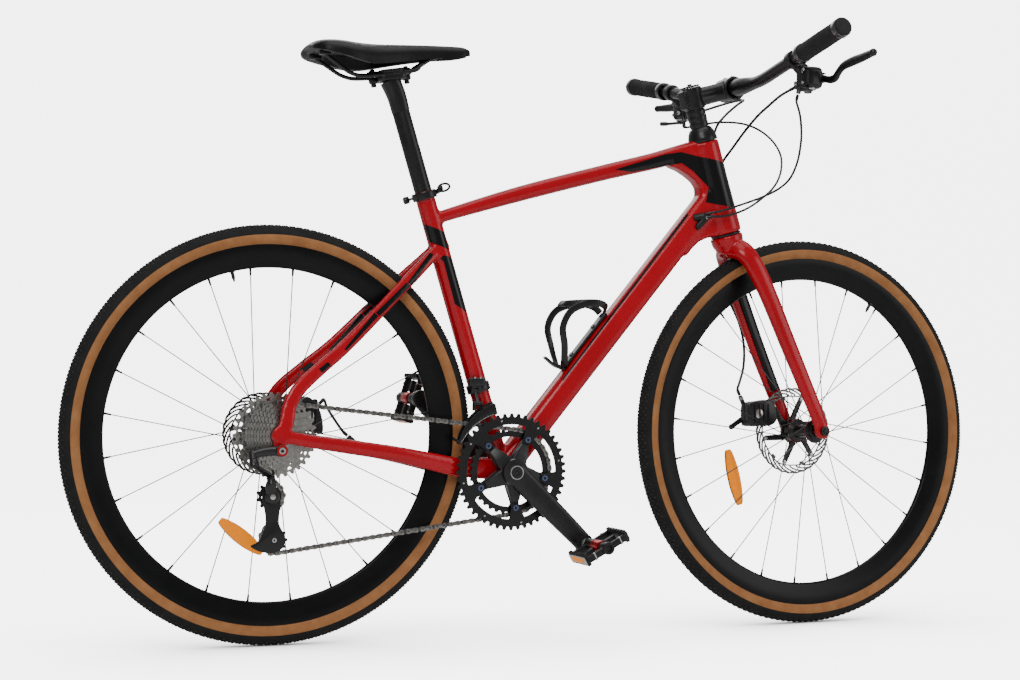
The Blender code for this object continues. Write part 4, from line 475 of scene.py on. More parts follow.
def block(centre: Array, size: Sequence[float], edge: float = 0.001, turn: Optional[Array] = None,
          power: float = 8.0, sides: int = 24) -> Surface:
    """Soft-edged block: a superellipse of a high power carried along Z and drawn in at both ends.

    Args:
        centre: middle of the block.
        size: lengths along its own X, Y and Z.
        edge: radius of the rounding at both ends.
        turn: rotation matrix, or None.
        power: superellipse power of the section.
        sides: points round the section.

    Returns:
        The closed surface.
    """
    x, y, z = size
    made = sweep([((0, 0, -z / 2), y, x), ((0, 0, z / 2), y, x)], sides, power, LEFT, 0, edge)
    return made.moved(np.eye(3) if turn is None else turn, np.asarray(centre, float))


def pierced(centre: Array, radii: Sequence[float], steps: int, keep: Callable[[Array, Array], Array],
            low: float, high: float, wave: Callable[[Array, Array], Array]) -> Surface:
    """Flat ring with holes, as a polar grid of cells of which some are left out.

    The point of cell corner (i, j) is c + r (cos t, 0, sin t) with t = 2 pi j / steps and
    r = wave(r(i), t).

    Args:
        centre: middle of the ring.
        radii: radii of the cells' rims, from the inside out.
        steps: cells round the ring.
        keep: function of the cells' row and column numbers that is true where metal stands.
        low: lower face along Y.
        high: upper face along Y.
        wave: function of radius and angle that gives the radius to use.

    Returns:
        The closed surface, with walls round every hole.
    """
    radii = np.asarray(radii, float)
    rows, columns = len(radii) - 1, steps
    angle = np.broadcast_to(2 * np.pi * np.arange(columns) / columns, (len(radii), columns))
    radius = wave(np.broadcast_to(radii[:, None], angle.shape), angle)
    flat = np.stack([centre[0] + radius * np.cos(angle), np.zeros_like(angle),
                     centre[2] + radius * np.sin(angle)], -1)
    points = np.concatenate([(flat + [0, low, 0]).reshape(-1, 3), (flat + [0, high, 0]).reshape(-1, 3)])
    top = (rows + 1) * columns
    i, j = np.meshgrid(np.arange(rows), np.arange(columns), indexing="ij")
    kept = keep(i, j)

    def at(row: Array, column: Array) -> Array:
        """Numbers of the lower face's points at a row and a column of the grid."""
        return row * columns + column % columns

    a, b, c, d = at(i, j)[kept], at(i, j + 1)[kept], at(i + 1, j + 1)[kept], at(i + 1, j)[kept]
    faces = [np.stack([a, b, c, d], -1), np.stack([d, c, b, a], -1) + top]
    blank = np.zeros((1, columns), bool)
    inside = kept & ~np.vstack([blank, kept[:-1]])
    outside = kept & ~np.vstack([kept[1:], blank])
    before = kept & ~np.roll(kept, 1, 1)
    behind = kept & ~np.roll(kept, -1, 1)
    for where, first, second in ((inside, (0, 0), (0, 1)), (outside, (1, 1), (1, 0)),
                                 (before, (1, 0), (0, 0)), (behind, (0, 1), (1, 1))):
        p = at(i + first[0], j + first[1])[where]
        q = at(i + second[0], j + second[1])[where]
        faces.append(np.stack([p, p + top, q + top, q], -1))
    quads = np.vstack(faces)
    used, corners = np.unique(quads.ravel(), return_inverse=True)
    points = points[used]
    chart = (points[corners][:, [0, 2]] - centre[[0, 2]]) / radii[-1] * 0.5 + 0.5
    return Surface(points, corners.ravel(), np.full(len(quads), 4), chart, np.zeros(len(quads), int))


def about(axis: Array, degrees: Array) -> Array:
    """Stack of rotation matrices about one axis."""
    return np.stack([rotation(axis, angle) for angle in np.atleast_1d(degrees)])


def round_copies(made: Surface, centre: Array, degrees: Array, axis: Array = LEFT) -> Surface:
    """Copies of a surface turned about an axis through a centre: c + R (p - c)."""
    turns = about(axis, degrees)
    return made.copies(turns, centre - np.einsum("nij,j->ni", turns, centre))


# Finishes

class Graph:
    """Nodes of one material or group, added and joined by short calls."""

    def __init__(self, tree: bpy.types.NodeTree) -> None:
        """Holds the node tree that the calls add to."""
        self.tree = tree

    def add(self, kind: str, inputs: Optional[dict] = None, **settings: object) -> bpy.types.Node:
        """Adds a node.

        Args:
            kind: the node's type name.
            inputs: values or output sockets by input name or number.
            settings: attributes of the node.

        Returns:
            The node.
        """
        node = self.tree.nodes.new(kind)
        for name, value in settings.items():
            setattr(node, name, value)
        for name, value in (inputs or {}).items():
            if isinstance(value, bpy.types.NodeSocket):
                self.tree.links.new(value, node.inputs[name])
            else:
                node.inputs[name].default_value = value
        return node

    def math(self, operation: str, first: Value, second: Value = 0.0, third: Value = 0.0,
             clamp: bool = False) -> Socket:
        """Adds a maths node.

        Args:
            operation: the operation's name.
            first: number or socket.
            second: number or socket.
            third: number or socket.
            clamp: whether the result is held between 0 and 1.

        Returns:
            The result's socket.
        """
        node = self.add("ShaderNodeMath", {0: first, 1: second, 2: third}, operation=operation,
                        use_clamp=clamp)
        return node.outputs[0]

    def mix(self, share: Value, first: Value, second: Value) -> Socket:
        """Adds a node that mixes two colours.

        Args:
            share: share of the second colour.
            first: colour or socket.
            second: colour or socket.

        Returns:
            The result's socket.
        """
        node = self.tree.nodes.new("ShaderNodeMix")
        node.data_type = "RGBA"
        for number, value in ((0, share), (6, first), (7, second)):
            if isinstance(value, bpy.types.NodeSocket):
                self.tree.links.new(value, node.inputs[number])
            elif number == 0:
                node.inputs[number].default_value = value
            else:
                node.inputs[number].default_value = (*value, 1.0)
        return node.outputs[2]


def make_group(name: str, inputs: Sequence, outputs: Sequence, build: Callable) -> bpy.types.NodeTree:
    """Shader node group, made once.

    Args:
        name: the group's name.
        inputs: (socket type, name, value) rows.
        outputs: (socket type, name) rows.
        build: function of the graph and the group's inputs that returns the outputs' sockets in order.

    Returns:
        The group's tree.
    """
    if name in bpy.data.node_groups:
        return bpy.data.node_groups[name]
    tree = bpy.data.node_groups.new(name, "ShaderNodeTree")
    for kind, label, value in inputs:
        made = tree.interface.new_socket(label, in_out="INPUT", socket_type=kind)
        if value is not None:
            made.default_value = value
    for kind, label in outputs:
        tree.interface.new_socket(label, in_out="OUTPUT", socket_type=kind)
    graph = Graph(tree)
    source = graph.add("NodeGroupInput")
    sink = graph.add("NodeGroupOutput")
    for index, socket in enumerate(build(graph, source.outputs)):
        tree.links.new(socket, sink.inputs[index])
    return tree


def mottle_group() -> bpy.types.NodeTree:
    """Group that clouds a surface: a soft noise mixes two colours and two roughnesses.

    Returns:
        The group's tree.
    """
    def build(graph: Graph, given: Sockets) -> list:
        """Reads the noise once for colour and once, finer, for roughness.

        Args:
            graph: graph that the nodes are added to.
            given: the group's inputs, by name.

        Returns:
            The sockets of the colour and of the roughness.
        """
        cloud = graph.add("ShaderNodeTexNoise", {"Vector": given["Place"], "Scale": given["Scale"],
                                                 "Detail": 3.0, "Roughness": 0.6}).outputs["Fac"]
        fine = graph.add("ShaderNodeTexNoise", {"Vector": given["Place"], "Detail": 2.0,
                                                "Scale": graph.math("MULTIPLY", given["Scale"], 4.0)})
        share = graph.math("MULTIPLY_ADD", cloud, 2.2, -0.6, clamp=True)
        rough = graph.math("MULTIPLY_ADD", fine.outputs["Fac"], given["Spread"], given["Rough"])
        return [graph.mix(share, given["Dark"], given["Light"]), rough]
    return make_group("Mottle", [("NodeSocketVector", "Place", None), ("NodeSocketFloat", "Scale", 40.0),
                                 ("NodeSocketColor", "Dark", None), ("NodeSocketColor", "Light", None),
                                 ("NodeSocketFloat", "Rough", 0.3), ("NodeSocketFloat", "Spread", 0.1)],
                      [("NodeSocketColor", "Colour"), ("NodeSocketFloat", "Roughness")], build)


def grain_group() -> bpy.types.NodeTree:
    """Group that gives the height of a fine cast, moulded or sprayed grain.

    Returns:
        The group's tree.
    """
    def build(graph: Graph, given: Sockets) -> list:
        """Adds a pebbled cell pattern to a fine noise, in the shares that the caller gives.

        Args:
            graph: graph that the nodes are added to.
            given: the group's inputs, by name.

        Returns:
            The socket of the height.
        """
        noise = graph.add("ShaderNodeTexNoise", {"Vector": given["Place"], "Scale": given["Scale"],
                                                 "Detail": 2.0}).outputs["Fac"]
        cells = graph.add("ShaderNodeTexVoronoi", {"Vector": given["Place"], "Scale": given["Scale"]},
                          feature="SMOOTH_F1").outputs["Distance"]
        pebbles = graph.math("MULTIPLY", cells, given["Pebbles"])
        return [graph.math("MULTIPLY", graph.math("ADD", noise, pebbles), given["Depth"])]
    return make_group("Grain", [("NodeSocketVector", "Place", None), ("NodeSocketFloat", "Scale", 900.0),
                                ("NodeSocketFloat", "Pebbles", 0.0), ("NodeSocketFloat", "Depth", 1.0)],
                      [("NodeSocketFloat", "Height")], build)


def side_group() -> bpy.types.NodeTree:
    """Group that is 1 on one side of a plane and 0 on the other, with a fine soft edge.

    Returns:
        The group's tree.
    """
    def build(graph: Graph, given: Sockets) -> list:
        """Takes (n . p - d) / edge + 0.5, held between 0 and 1.

        Args:
            graph: graph that the nodes are added to.
            given: the group's inputs, by name.

        Returns:
            The socket of the mask.
        """
        reach = graph.add("ShaderNodeVectorMath", {0: given["Place"], 1: given["Normal"]},
                          operation="DOT_PRODUCT").outputs["Value"]
        past = graph.math("SUBTRACT", reach, given["Offset"])
        return [graph.math("MULTIPLY_ADD", past, 2500.0, 0.5, clamp=True)]
    return make_group("Side of a plane", [("NodeSocketVector", "Place", None),
                                          ("NodeSocketVector", "Normal", None),
                                          ("NodeSocketFloat", "Offset", 0.0)],
                      [("NodeSocketFloat", "Mask")], build)


class Pattern(Enum):
    """Relief that a finish carries besides its grain."""

    NONE = 0
    BRUSHED = 1
    LEATHER = 2


@dataclass(frozen=True)
class Finish:
    """One surface finish: two tones, a roughness and its spread, and a relief."""

    name: str
    dark: Colour
    light: Colour
    rough: float = 0.3
    spread: float = 0.12
    metal: float = 0.0
    coat: float = 0.0
    clouds: float = 30.0
    grain: float = 900.0
    pebbles: float = 0.0
    depth: float = 0.05
    pattern: Pattern = Pattern.NONE
    gloss: float = 0.5

    def material(self) -> bpy.types.Material:
        """Builds the finish's material once.

        Returns:
            The material.
        """
        if self.name in bpy.data.materials:
            return bpy.data.materials[self.name]
        made = bpy.data.materials.new(self.name)
        made.use_nodes = True
        graph = Graph(made.node_tree)
        shader = made.node_tree.nodes["Principled BSDF"]
        place = graph.add("ShaderNodeTexCoord").outputs["Object"]
        if self.pattern is Pattern.BRUSHED:
            place = graph.add("ShaderNodeMapping", {"Vector": place, "Scale": (1.0, 6.0, 1.0)}).outputs[0]
        cloud = graph.add("ShaderNodeGroup", node_tree=mottle_group())
        values = {"Place": place, "Scale": self.clouds, "Dark": (*self.dark, 1.0),
                  "Light": (*self.light, 1.0), "Rough": self.rough - self.spread / 2,
                  "Spread": self.spread}
        self.fill(graph, cloud, values)
        colour, rough = self.painted(graph, place, cloud.outputs["Colour"], cloud.outputs["Roughness"])
        made.node_tree.links.new(colour, shader.inputs["Base Color"])
        made.node_tree.links.new(rough, shader.inputs["Roughness"])
        shader.inputs["Metallic"].default_value = self.metal
        shader.inputs["Coat Weight"].default_value = self.coat
        shader.inputs["Coat Roughness"].default_value = 0.06
        shader.inputs["Specular IOR Level"].default_value = self.gloss
        grain = graph.add("ShaderNodeGroup", node_tree=grain_group())
        self.fill(graph, grain, {"Place": place, "Scale": self.grain, "Pebbles": self.pebbles, "Depth": 1.0})
        bump = graph.add("ShaderNodeBump", {"Height": self.relief(graph, place, grain.outputs["Height"]),
                                            "Strength": self.depth, "Distance": 0.0006})
        made.node_tree.links.new(bump.outputs[0], shader.inputs["Normal"])
        return made

    @staticmethod
    def fill(graph: Graph, node: bpy.types.Node, values: dict) -> None:
        """Sets or links the inputs of a group node.

        Args:
            graph: graph that the nodes are added to.
            node: the group node.
            values: numbers, colours or sockets by input name.
        """
        for name, value in values.items():
            if isinstance(value, bpy.types.NodeSocket):
                graph.tree.links.new(value, node.inputs[name])
            else:
                node.inputs[name].default_value = value

    def painted(self, graph: Graph, place: Socket, colour: Socket, rough: Socket) -> tuple:
        """Lets a kind of finish lay markings over its colour and roughness."""
        return colour, rough

    def relief(self, graph: Graph, place: Socket, height: Socket) -> Socket:
        """Adds the finish's own relief to the grain's height.

        Args:
            graph: graph that the nodes are added to.
            place: socket of the point that patterns are read at.
            height: socket of the grain's height.

        Returns:
            The socket of the whole height.
        """
        if self.pattern is Pattern.LEATHER:
            folds = graph.add("ShaderNodeTexVoronoi", {"Vector": place, "Scale": 420.0},
                              feature="DISTANCE_TO_EDGE").outputs["Distance"]
            return graph.math("ADD", height, graph.math("MULTIPLY", folds, 1.6))
        return height


@dataclass(frozen=True)
class PaintedPanels(Finish):
    """Gloss paint with panels of a second colour, each a convex outline in the XZ plane."""

    panels: tuple = ()
    panel_colour: Colour = (0.002, 0.002, 0.0022)
    spaces: tuple = ()

    def panel(self, graph: Graph, place: Socket, outline: Sequence) -> Socket:
        """Mask of one convex panel: the least of its edges' half-plane masks.

        Args:
            graph: graph that the nodes are added to.
            place: socket of the point that patterns are read at.
            outline: (x, z) corners in order.

        Returns:
            The socket of the mask.
        """
        corners = np.asarray(outline, float)
        middle = corners.mean(0)
        planes = []
        for start, end in zip(corners, np.roll(corners, -1, 0)):
            normal = unit(np.array([-(end - start)[1], (end - start)[0]]))
            normal = normal * (1.0 if normal @ (middle - start) > 0 else -1.0)
            planes.append(((normal[0], 0.0, normal[1]), float(normal @ start)))
        return self.cut(graph, place, planes)

    def cut(self, graph: Graph, place: Socket, planes: Sequence) -> Socket:
        """Mask of a solid bounded by planes, each a normal towards the solid and its offset.

        Args:
            graph: graph that the nodes are added to.
            place: socket of the point that patterns are read at.
            planes: (normal, offset) pairs.

        Returns:
            The socket of the mask.
        """
        mask = None
        for normal, offset in planes:
            side = graph.add("ShaderNodeGroup", node_tree=side_group())
            self.fill(graph, side, {"Place": place, "Normal": tuple(normal), "Offset": offset})
            mask = side.outputs[0] if mask is None else graph.math("MINIMUM", mask, side.outputs[0])
        return mask

    def painted(self, graph: Graph, place: Socket, colour: Socket, rough: Socket) -> tuple:
        """Lays the second colour over the first wherever a panel's mask is 1.

        Args:
            graph: graph that the nodes are added to.
            place: socket of the point that patterns are read at.
            colour: socket of the colour so far.
            rough: socket of the roughness so far.

        Returns:
            The sockets of the colour and of the roughness.
        """
        mask = None
        for one in [self.panel(graph, place, outline) for outline in self.panels] + [
                self.cut(graph, place, planes) for planes in self.spaces]:
            mask = one if mask is None else graph.math("MAXIMUM", mask, one)
        if mask is None:
            return colour, rough
        return graph.mix(mask, colour, self.panel_colour), rough


# Outlines of the frame's black panels in metres, x and z, each one convex
FRAME_PANELS = (
    ((0.1097, 0.8136), (0.2066, 0.8445), (0.2414, 0.8504), (0.2416, 0.8303), (0.1435, 0.8108)),
    ((0.2397, 0.8501), (0.2638, 0.8454), (0.2640, 0.8162), (0.2398, 0.8305)),
    ((0.2634, 0.8456), (0.3701, 0.8244), (0.3744, 0.7914), (0.2936, 0.7886), (0.2636, 0.8163)),
    ((0.2936, 0.7893), (0.3804, 0.7924), (0.3848, 0.7458), (0.2863, 0.7615)),
    ((-0.2389, 0.7073), (-0.2046, 0.6947), (-0.1953, 0.6641), (-0.2288, 0.6769)),
    ((-0.2062, 0.6437), (-0.1969, 0.6532), (-0.1898, 0.6513), (-0.1605, 0.5560), (-0.1857, 0.5718)),
    ((-0.2131, 0.6493), (-0.2065, 0.6552), (-0.1889, 0.6510), (-0.1989, 0.6382)),
    ((-0.2321, 0.6588), (-0.2249, 0.6553), (-0.2680, 0.6014), (-0.2762, 0.6063)),
    ((-0.2784, 0.6064), (-0.2702, 0.6015), (-0.3286, 0.5484), (-0.3353, 0.5543)),
    ((-0.3374, 0.5545), (-0.3307, 0.5486), (-0.3882, 0.4902), (-0.3917, 0.4935)),
    ((-0.4219, 0.4715), (-0.4151, 0.4665), (-0.4309, 0.4533), (-0.4378, 0.4598)),
    ((0.2532, 0.7402), (0.0120, 0.4424), (0.0143, 0.4405), (0.2555, 0.7383)),
)

RED = PaintedPanels("gloss_red_paint", (0.38, 0.0004, 0.0070), (0.45, 0.0008, 0.0100), rough=0.24,
                    spread=0.05, coat=0.3, clouds=9.0, grain=1500.0, depth=0.012, gloss=0.2,
                    panels=FRAME_PANELS)


def leg_planes(hand: int) -> tuple:
    """Planes about the inner face of one fork leg, its rear edge left out.

    Args:
        hand: 1 for the left leg, -1 for the right one.

    Returns:
        (normal, offset) pairs, each normal towards the painted space.
    """
    ends = ((0.3920, -0.0490, 0.6020), (0.4885, -0.0568, 0.3890))
    high, low = (STEERED.of(mirrored(spot, -hand)) for spot in ends)
    along = unit(low - high)
    inward = unit(-LEFT * hand - (-LEFT * hand @ along) * along)
    forward = np.cross(along, inward) * hand
    forward = forward * (1.0 if forward @ FORWARD > 0 else -1.0)
    return ((tuple(inward), float(inward @ high + 0.0030)), (tuple(forward), float(forward @ high - 0.0080)),
            (tuple(along), float(along @ high - 0.0500)), (tuple(-along), float(-along @ high - 0.1950)),
            (tuple(LEFT * hand), float(SHIFT[1] * hand)))


FORK_RED = replace(RED, name="gloss_red_fork_paint", panels=(), spaces=(leg_planes(1), leg_planes(-1)))
SATIN_BLACK = Finish("satin_black_alloy", (0.0030, 0.0030, 0.0032), (0.007, 0.007, 0.0075), rough=0.32,
                     coat=0.1, clouds=60.0, grain=1400.0, pebbles=0.2, depth=0.04, gloss=0.4)
RIM_BLACK = Finish("deep_rim_black", (0.0022, 0.0022, 0.0024), (0.0045, 0.0045, 0.005), spread=0.06,
                   clouds=20.0, grain=1500.0, depth=0.01, gloss=0.2)
CAST_BLACK = Finish("cast_black_parts", (0.003, 0.003, 0.0032), (0.008, 0.008, 0.0085), rough=0.34,
                    spread=0.16, coat=0.1, clouds=90.0, grain=1100.0, pebbles=0.4, depth=0.10, gloss=0.5)
GREY_ALLOY = Finish("forged_grey_alloy", (0.0085, 0.0085, 0.0088), (0.017, 0.017, 0.0172), rough=0.34,
                    metal=0.2, clouds=70.0, grain=1300.0, pebbles=0.2, depth=0.06)
BRIGHT = Finish("bright_plated_steel", (0.42, 0.42, 0.41), (0.62, 0.62, 0.60), rough=0.24, spread=0.16,
                metal=1.0, clouds=120.0, grain=1200.0, pattern=Pattern.BRUSHED)
DARK_CHROME = Finish("dark_polished_alloy", (0.06, 0.06, 0.063), (0.22, 0.22, 0.225), rough=0.16, metal=1.0,
                     clouds=240.0, grain=1200.0, depth=0.03)
SPOKE_STEEL = Finish("dark_spoke_steel", (0.05, 0.05, 0.052), (0.09, 0.09, 0.092), spread=0.10, metal=1.0,
                     clouds=90.0, grain=1200.0, depth=0.03)
BLUE_STEEL = Finish("blued_bolt_steel", (0.05, 0.07, 0.16), (0.22, 0.26, 0.42), rough=0.22, spread=0.16,
                    metal=1.0, clouds=900.0, grain=1200.0, depth=0.03)
CHAIN_DARK = Finish("dark_chain_steel", (0.050, 0.048, 0.045), (0.15, 0.145, 0.138), rough=0.36,
                    spread=0.20, metal=0.8, clouds=260.0, depth=0.08)
ROTOR_STEEL = Finish("ground_rotor_steel", (0.075, 0.070, 0.066), (0.24, 0.23, 0.22), rough=0.28,
                     spread=0.16, metal=1.0, clouds=300.0, grain=1200.0)
COG_STEEL = Finish("nickel_cog_steel", (0.27, 0.262, 0.240), (0.46, 0.45, 0.42), spread=0.18, metal=1.0,
                   clouds=160.0, depth=0.06, pattern=Pattern.BRUSHED)
CHAIN_STEEL = Finish("oiled_chain_steel", (0.13, 0.125, 0.118), (0.36, 0.35, 0.33), rough=0.32, spread=0.20,
                     metal=1.0, clouds=260.0, depth=0.08)
RUBBER = Finish("black_tyre_rubber", (0.006, 0.006, 0.006), (0.013, 0.013, 0.0125), rough=0.82, clouds=50.0,
                pebbles=0.6, depth=0.30, gloss=0.3)
# Knobs in lighter rubber than the tyre: a painted highlight where the light catches the tread blocks.
KNOB_HIGHLIGHT_RUBBER = replace(RUBBER, name="painted_highlight_knob_rubber", dark=(0.014, 0.014, 0.014),
                      light=(0.034, 0.034, 0.033))
TAN = Finish("tan_sidewall", (0.29, 0.115, 0.036), (0.40, 0.175, 0.062), rough=0.72, clouds=36.0,
             grain=1500.0, pebbles=0.3, depth=0.22, gloss=0.3)
GRIP = Finish("ribbed_grip_rubber", (0.005, 0.005, 0.005), (0.011, 0.011, 0.011), rough=0.62, clouds=80.0,
              grain=1000.0, pebbles=0.8, depth=0.30, gloss=0.4)
PLASTIC = Finish("moulded_black_plastic", (0.003, 0.003, 0.0034), (0.008, 0.008, 0.0085), rough=0.42,
                 spread=0.14, clouds=70.0, grain=1100.0, pebbles=0.5, depth=0.12, gloss=0.4)
HOUSING = Finish("smooth_cable_housing", (0.003, 0.003, 0.003), (0.006, 0.006, 0.006), rough=0.28,
                 spread=0.10, coat=0.2, clouds=120.0, grain=1600.0, depth=0.02)
LEATHER = Finish("saddle_leather", (0.003, 0.003, 0.0033), (0.008, 0.008, 0.0085), rough=0.38, spread=0.14,
                 clouds=40.0, grain=1200.0, pebbles=0.6, depth=0.16, pattern=Pattern.LEATHER, gloss=0.2)
RED_ACCENT = Finish("anodised_red_alloy", (0.38, 0.004, 0.008), (0.52, 0.008, 0.014), rough=0.28, metal=0.6,
                    clouds=90.0, grain=1400.0, depth=0.04)


@dataclass(frozen=True)
class PrismLens(Finish):
    """Reflector lens: a regular net of small prisms with darker joints, and a painted glow of its own that
    stands in for the light it sends back.
    """

    painted_glow_colour: Colour = (1.0, 0.30, 0.0)
    painted_glow_strength: float = 0.55

    def material(self) -> bpy.types.Material:
        """Builds the material once and sets its painted glow, an emission that stands in for the light the
        lens sends back.

        Returns:
            The material.
        """
        made = super().material()
        shader = made.node_tree.nodes["Principled BSDF"]
        # Painted glow: the lens emits orange light of its own although it is no lamp.
        shader.inputs["Emission Color"].default_value = (*self.painted_glow_colour, 1.0)
        shader.inputs["Emission Strength"].default_value = self.painted_glow_strength
        return made

    def painted(self, graph: Graph, place: Socket, colour: Socket, rough: Socket) -> tuple:
        """Darkens the joints between the prisms.

        Args:
            graph: graph that the nodes are added to.
            place: socket of the point that patterns are read at.
            colour: socket of the colour so far.
            rough: socket of the roughness so far.

        Returns:
            The sockets of the colour and of the roughness.
        """
        net = graph.add("ShaderNodeTexVoronoi", {"Vector": place, "Scale": 260.0, "Randomness": 0.0},
                        feature="DISTANCE_TO_EDGE").outputs["Distance"]
        joint = graph.math("MULTIPLY_ADD", net, -9.0, 1.2, clamp=True)
        return graph.mix(joint, colour, (0.45, 0.10, 0.001)), rough


# Amber lens with a painted glow, used on the pedals and the spokes.
AMBER = PrismLens("amber_reflector", (0.62, 0.13, 0.0), (0.80, 0.22, 0.0), spread=0.10, clouds=220.0,
                  grain=500.0, pebbles=0.6, depth=0.25, gloss=0.1)
WHITE = Finish("white_plastic", (0.62, 0.62, 0.61), (0.74, 0.74, 0.73), rough=0.40, spread=0.10,
               clouds=90.0, grain=1200.0, pebbles=0.2)


# Pieces

def build(name: str, surface: Surface, finishes: Sequence[Finish], body: str, slot: str,
          nodes: Sequence[str] = (), place: Place = FIXED, bevel: float = 0.0) -> bpy.types.Object:
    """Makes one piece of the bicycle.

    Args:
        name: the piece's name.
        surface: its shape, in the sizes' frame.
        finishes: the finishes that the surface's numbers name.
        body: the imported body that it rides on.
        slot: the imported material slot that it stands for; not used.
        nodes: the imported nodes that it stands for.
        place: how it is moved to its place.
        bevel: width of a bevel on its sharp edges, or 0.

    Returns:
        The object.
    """
    mesh = bpy.data.meshes.new(name)
    points = place.of(surface.points)
    mesh.vertices.add(len(points))
    mesh.vertices.foreach_set("co", points.astype(np.float32).ravel())
    mesh.loops.add(len(surface.corners))
    mesh.loops.foreach_set("vertex_index", surface.corners.astype(np.int32))
    mesh.polygons.add(len(surface.counts))
    starts = np.concatenate([[0], np.cumsum(surface.counts)[:-1]])
    mesh.polygons.foreach_set("loop_start", starts.astype(np.int32))
    mesh.polygons.foreach_set("material_index", surface.skin.astype(np.int32))
    mesh.update(calc_edges=True)
    mesh.validate()
    chart = mesh.uv_layers.new(name="Chart")
    if len(mesh.loops) == len(surface.chart):
        chart.data.foreach_set("uv", surface.chart.astype(np.float32).ravel())
    shell = bmesh.new()
    shell.from_mesh(mesh)
    bmesh.ops.remove_doubles(shell, verts=shell.verts, dist=1e-7)
    bmesh.ops.recalc_face_normals(shell, faces=shell.faces)
    shell.to_mesh(mesh)
    shell.free()
    for finish in finishes:
        mesh.materials.append(finish.material())
    mesh.shade_smooth()
    mesh.set_sharp_from_angle(angle=math.radians(38))
    made = bpy.data.objects.new(name, mesh)
    bpy.context.scene.collection.objects.link(made)
    if bevel:
        cut = made.modifiers.new("eased edges", "BEVEL")
        cut.width, cut.segments, cut.limit_method = bevel, 2, "ANGLE"
        cut.angle_limit = math.radians(40)
    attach(made, body)
    if nodes:
        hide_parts(*nodes)
    log.info("%s: %d faces on %s", name, len(mesh.polygons), body)
    return made


def melt(made: bpy.types.Object, voxel: float, smoothing: int) -> None:
    """Welds a piece's crossing tubes into one skin of even quads and softens where they meet.

    Args:
        made: the piece.
        voxel: size of the skin's quads.
        smoothing: how many times the skin is softened.
    """
    weld = made.modifiers.new("weld", "REMESH")
    weld.mode, weld.voxel_size = "VOXEL", voxel
    soft = made.modifiers.new("soften", "SMOOTH")
    soft.factor, soft.iterations = 0.5, smoothing
    graph = bpy.context.evaluated_depsgraph_get()
    result = bpy.data.meshes.new_from_object(made.evaluated_get(graph))
    made.modifiers.clear()
    materials = list(made.data.materials)
    made.data = result
    result.materials.clear()
    for material in materials:
        result.materials.append(material)
    result.shade_smooth()
    log.info("%s: welded to %d faces", made.name, len(result.polygons))


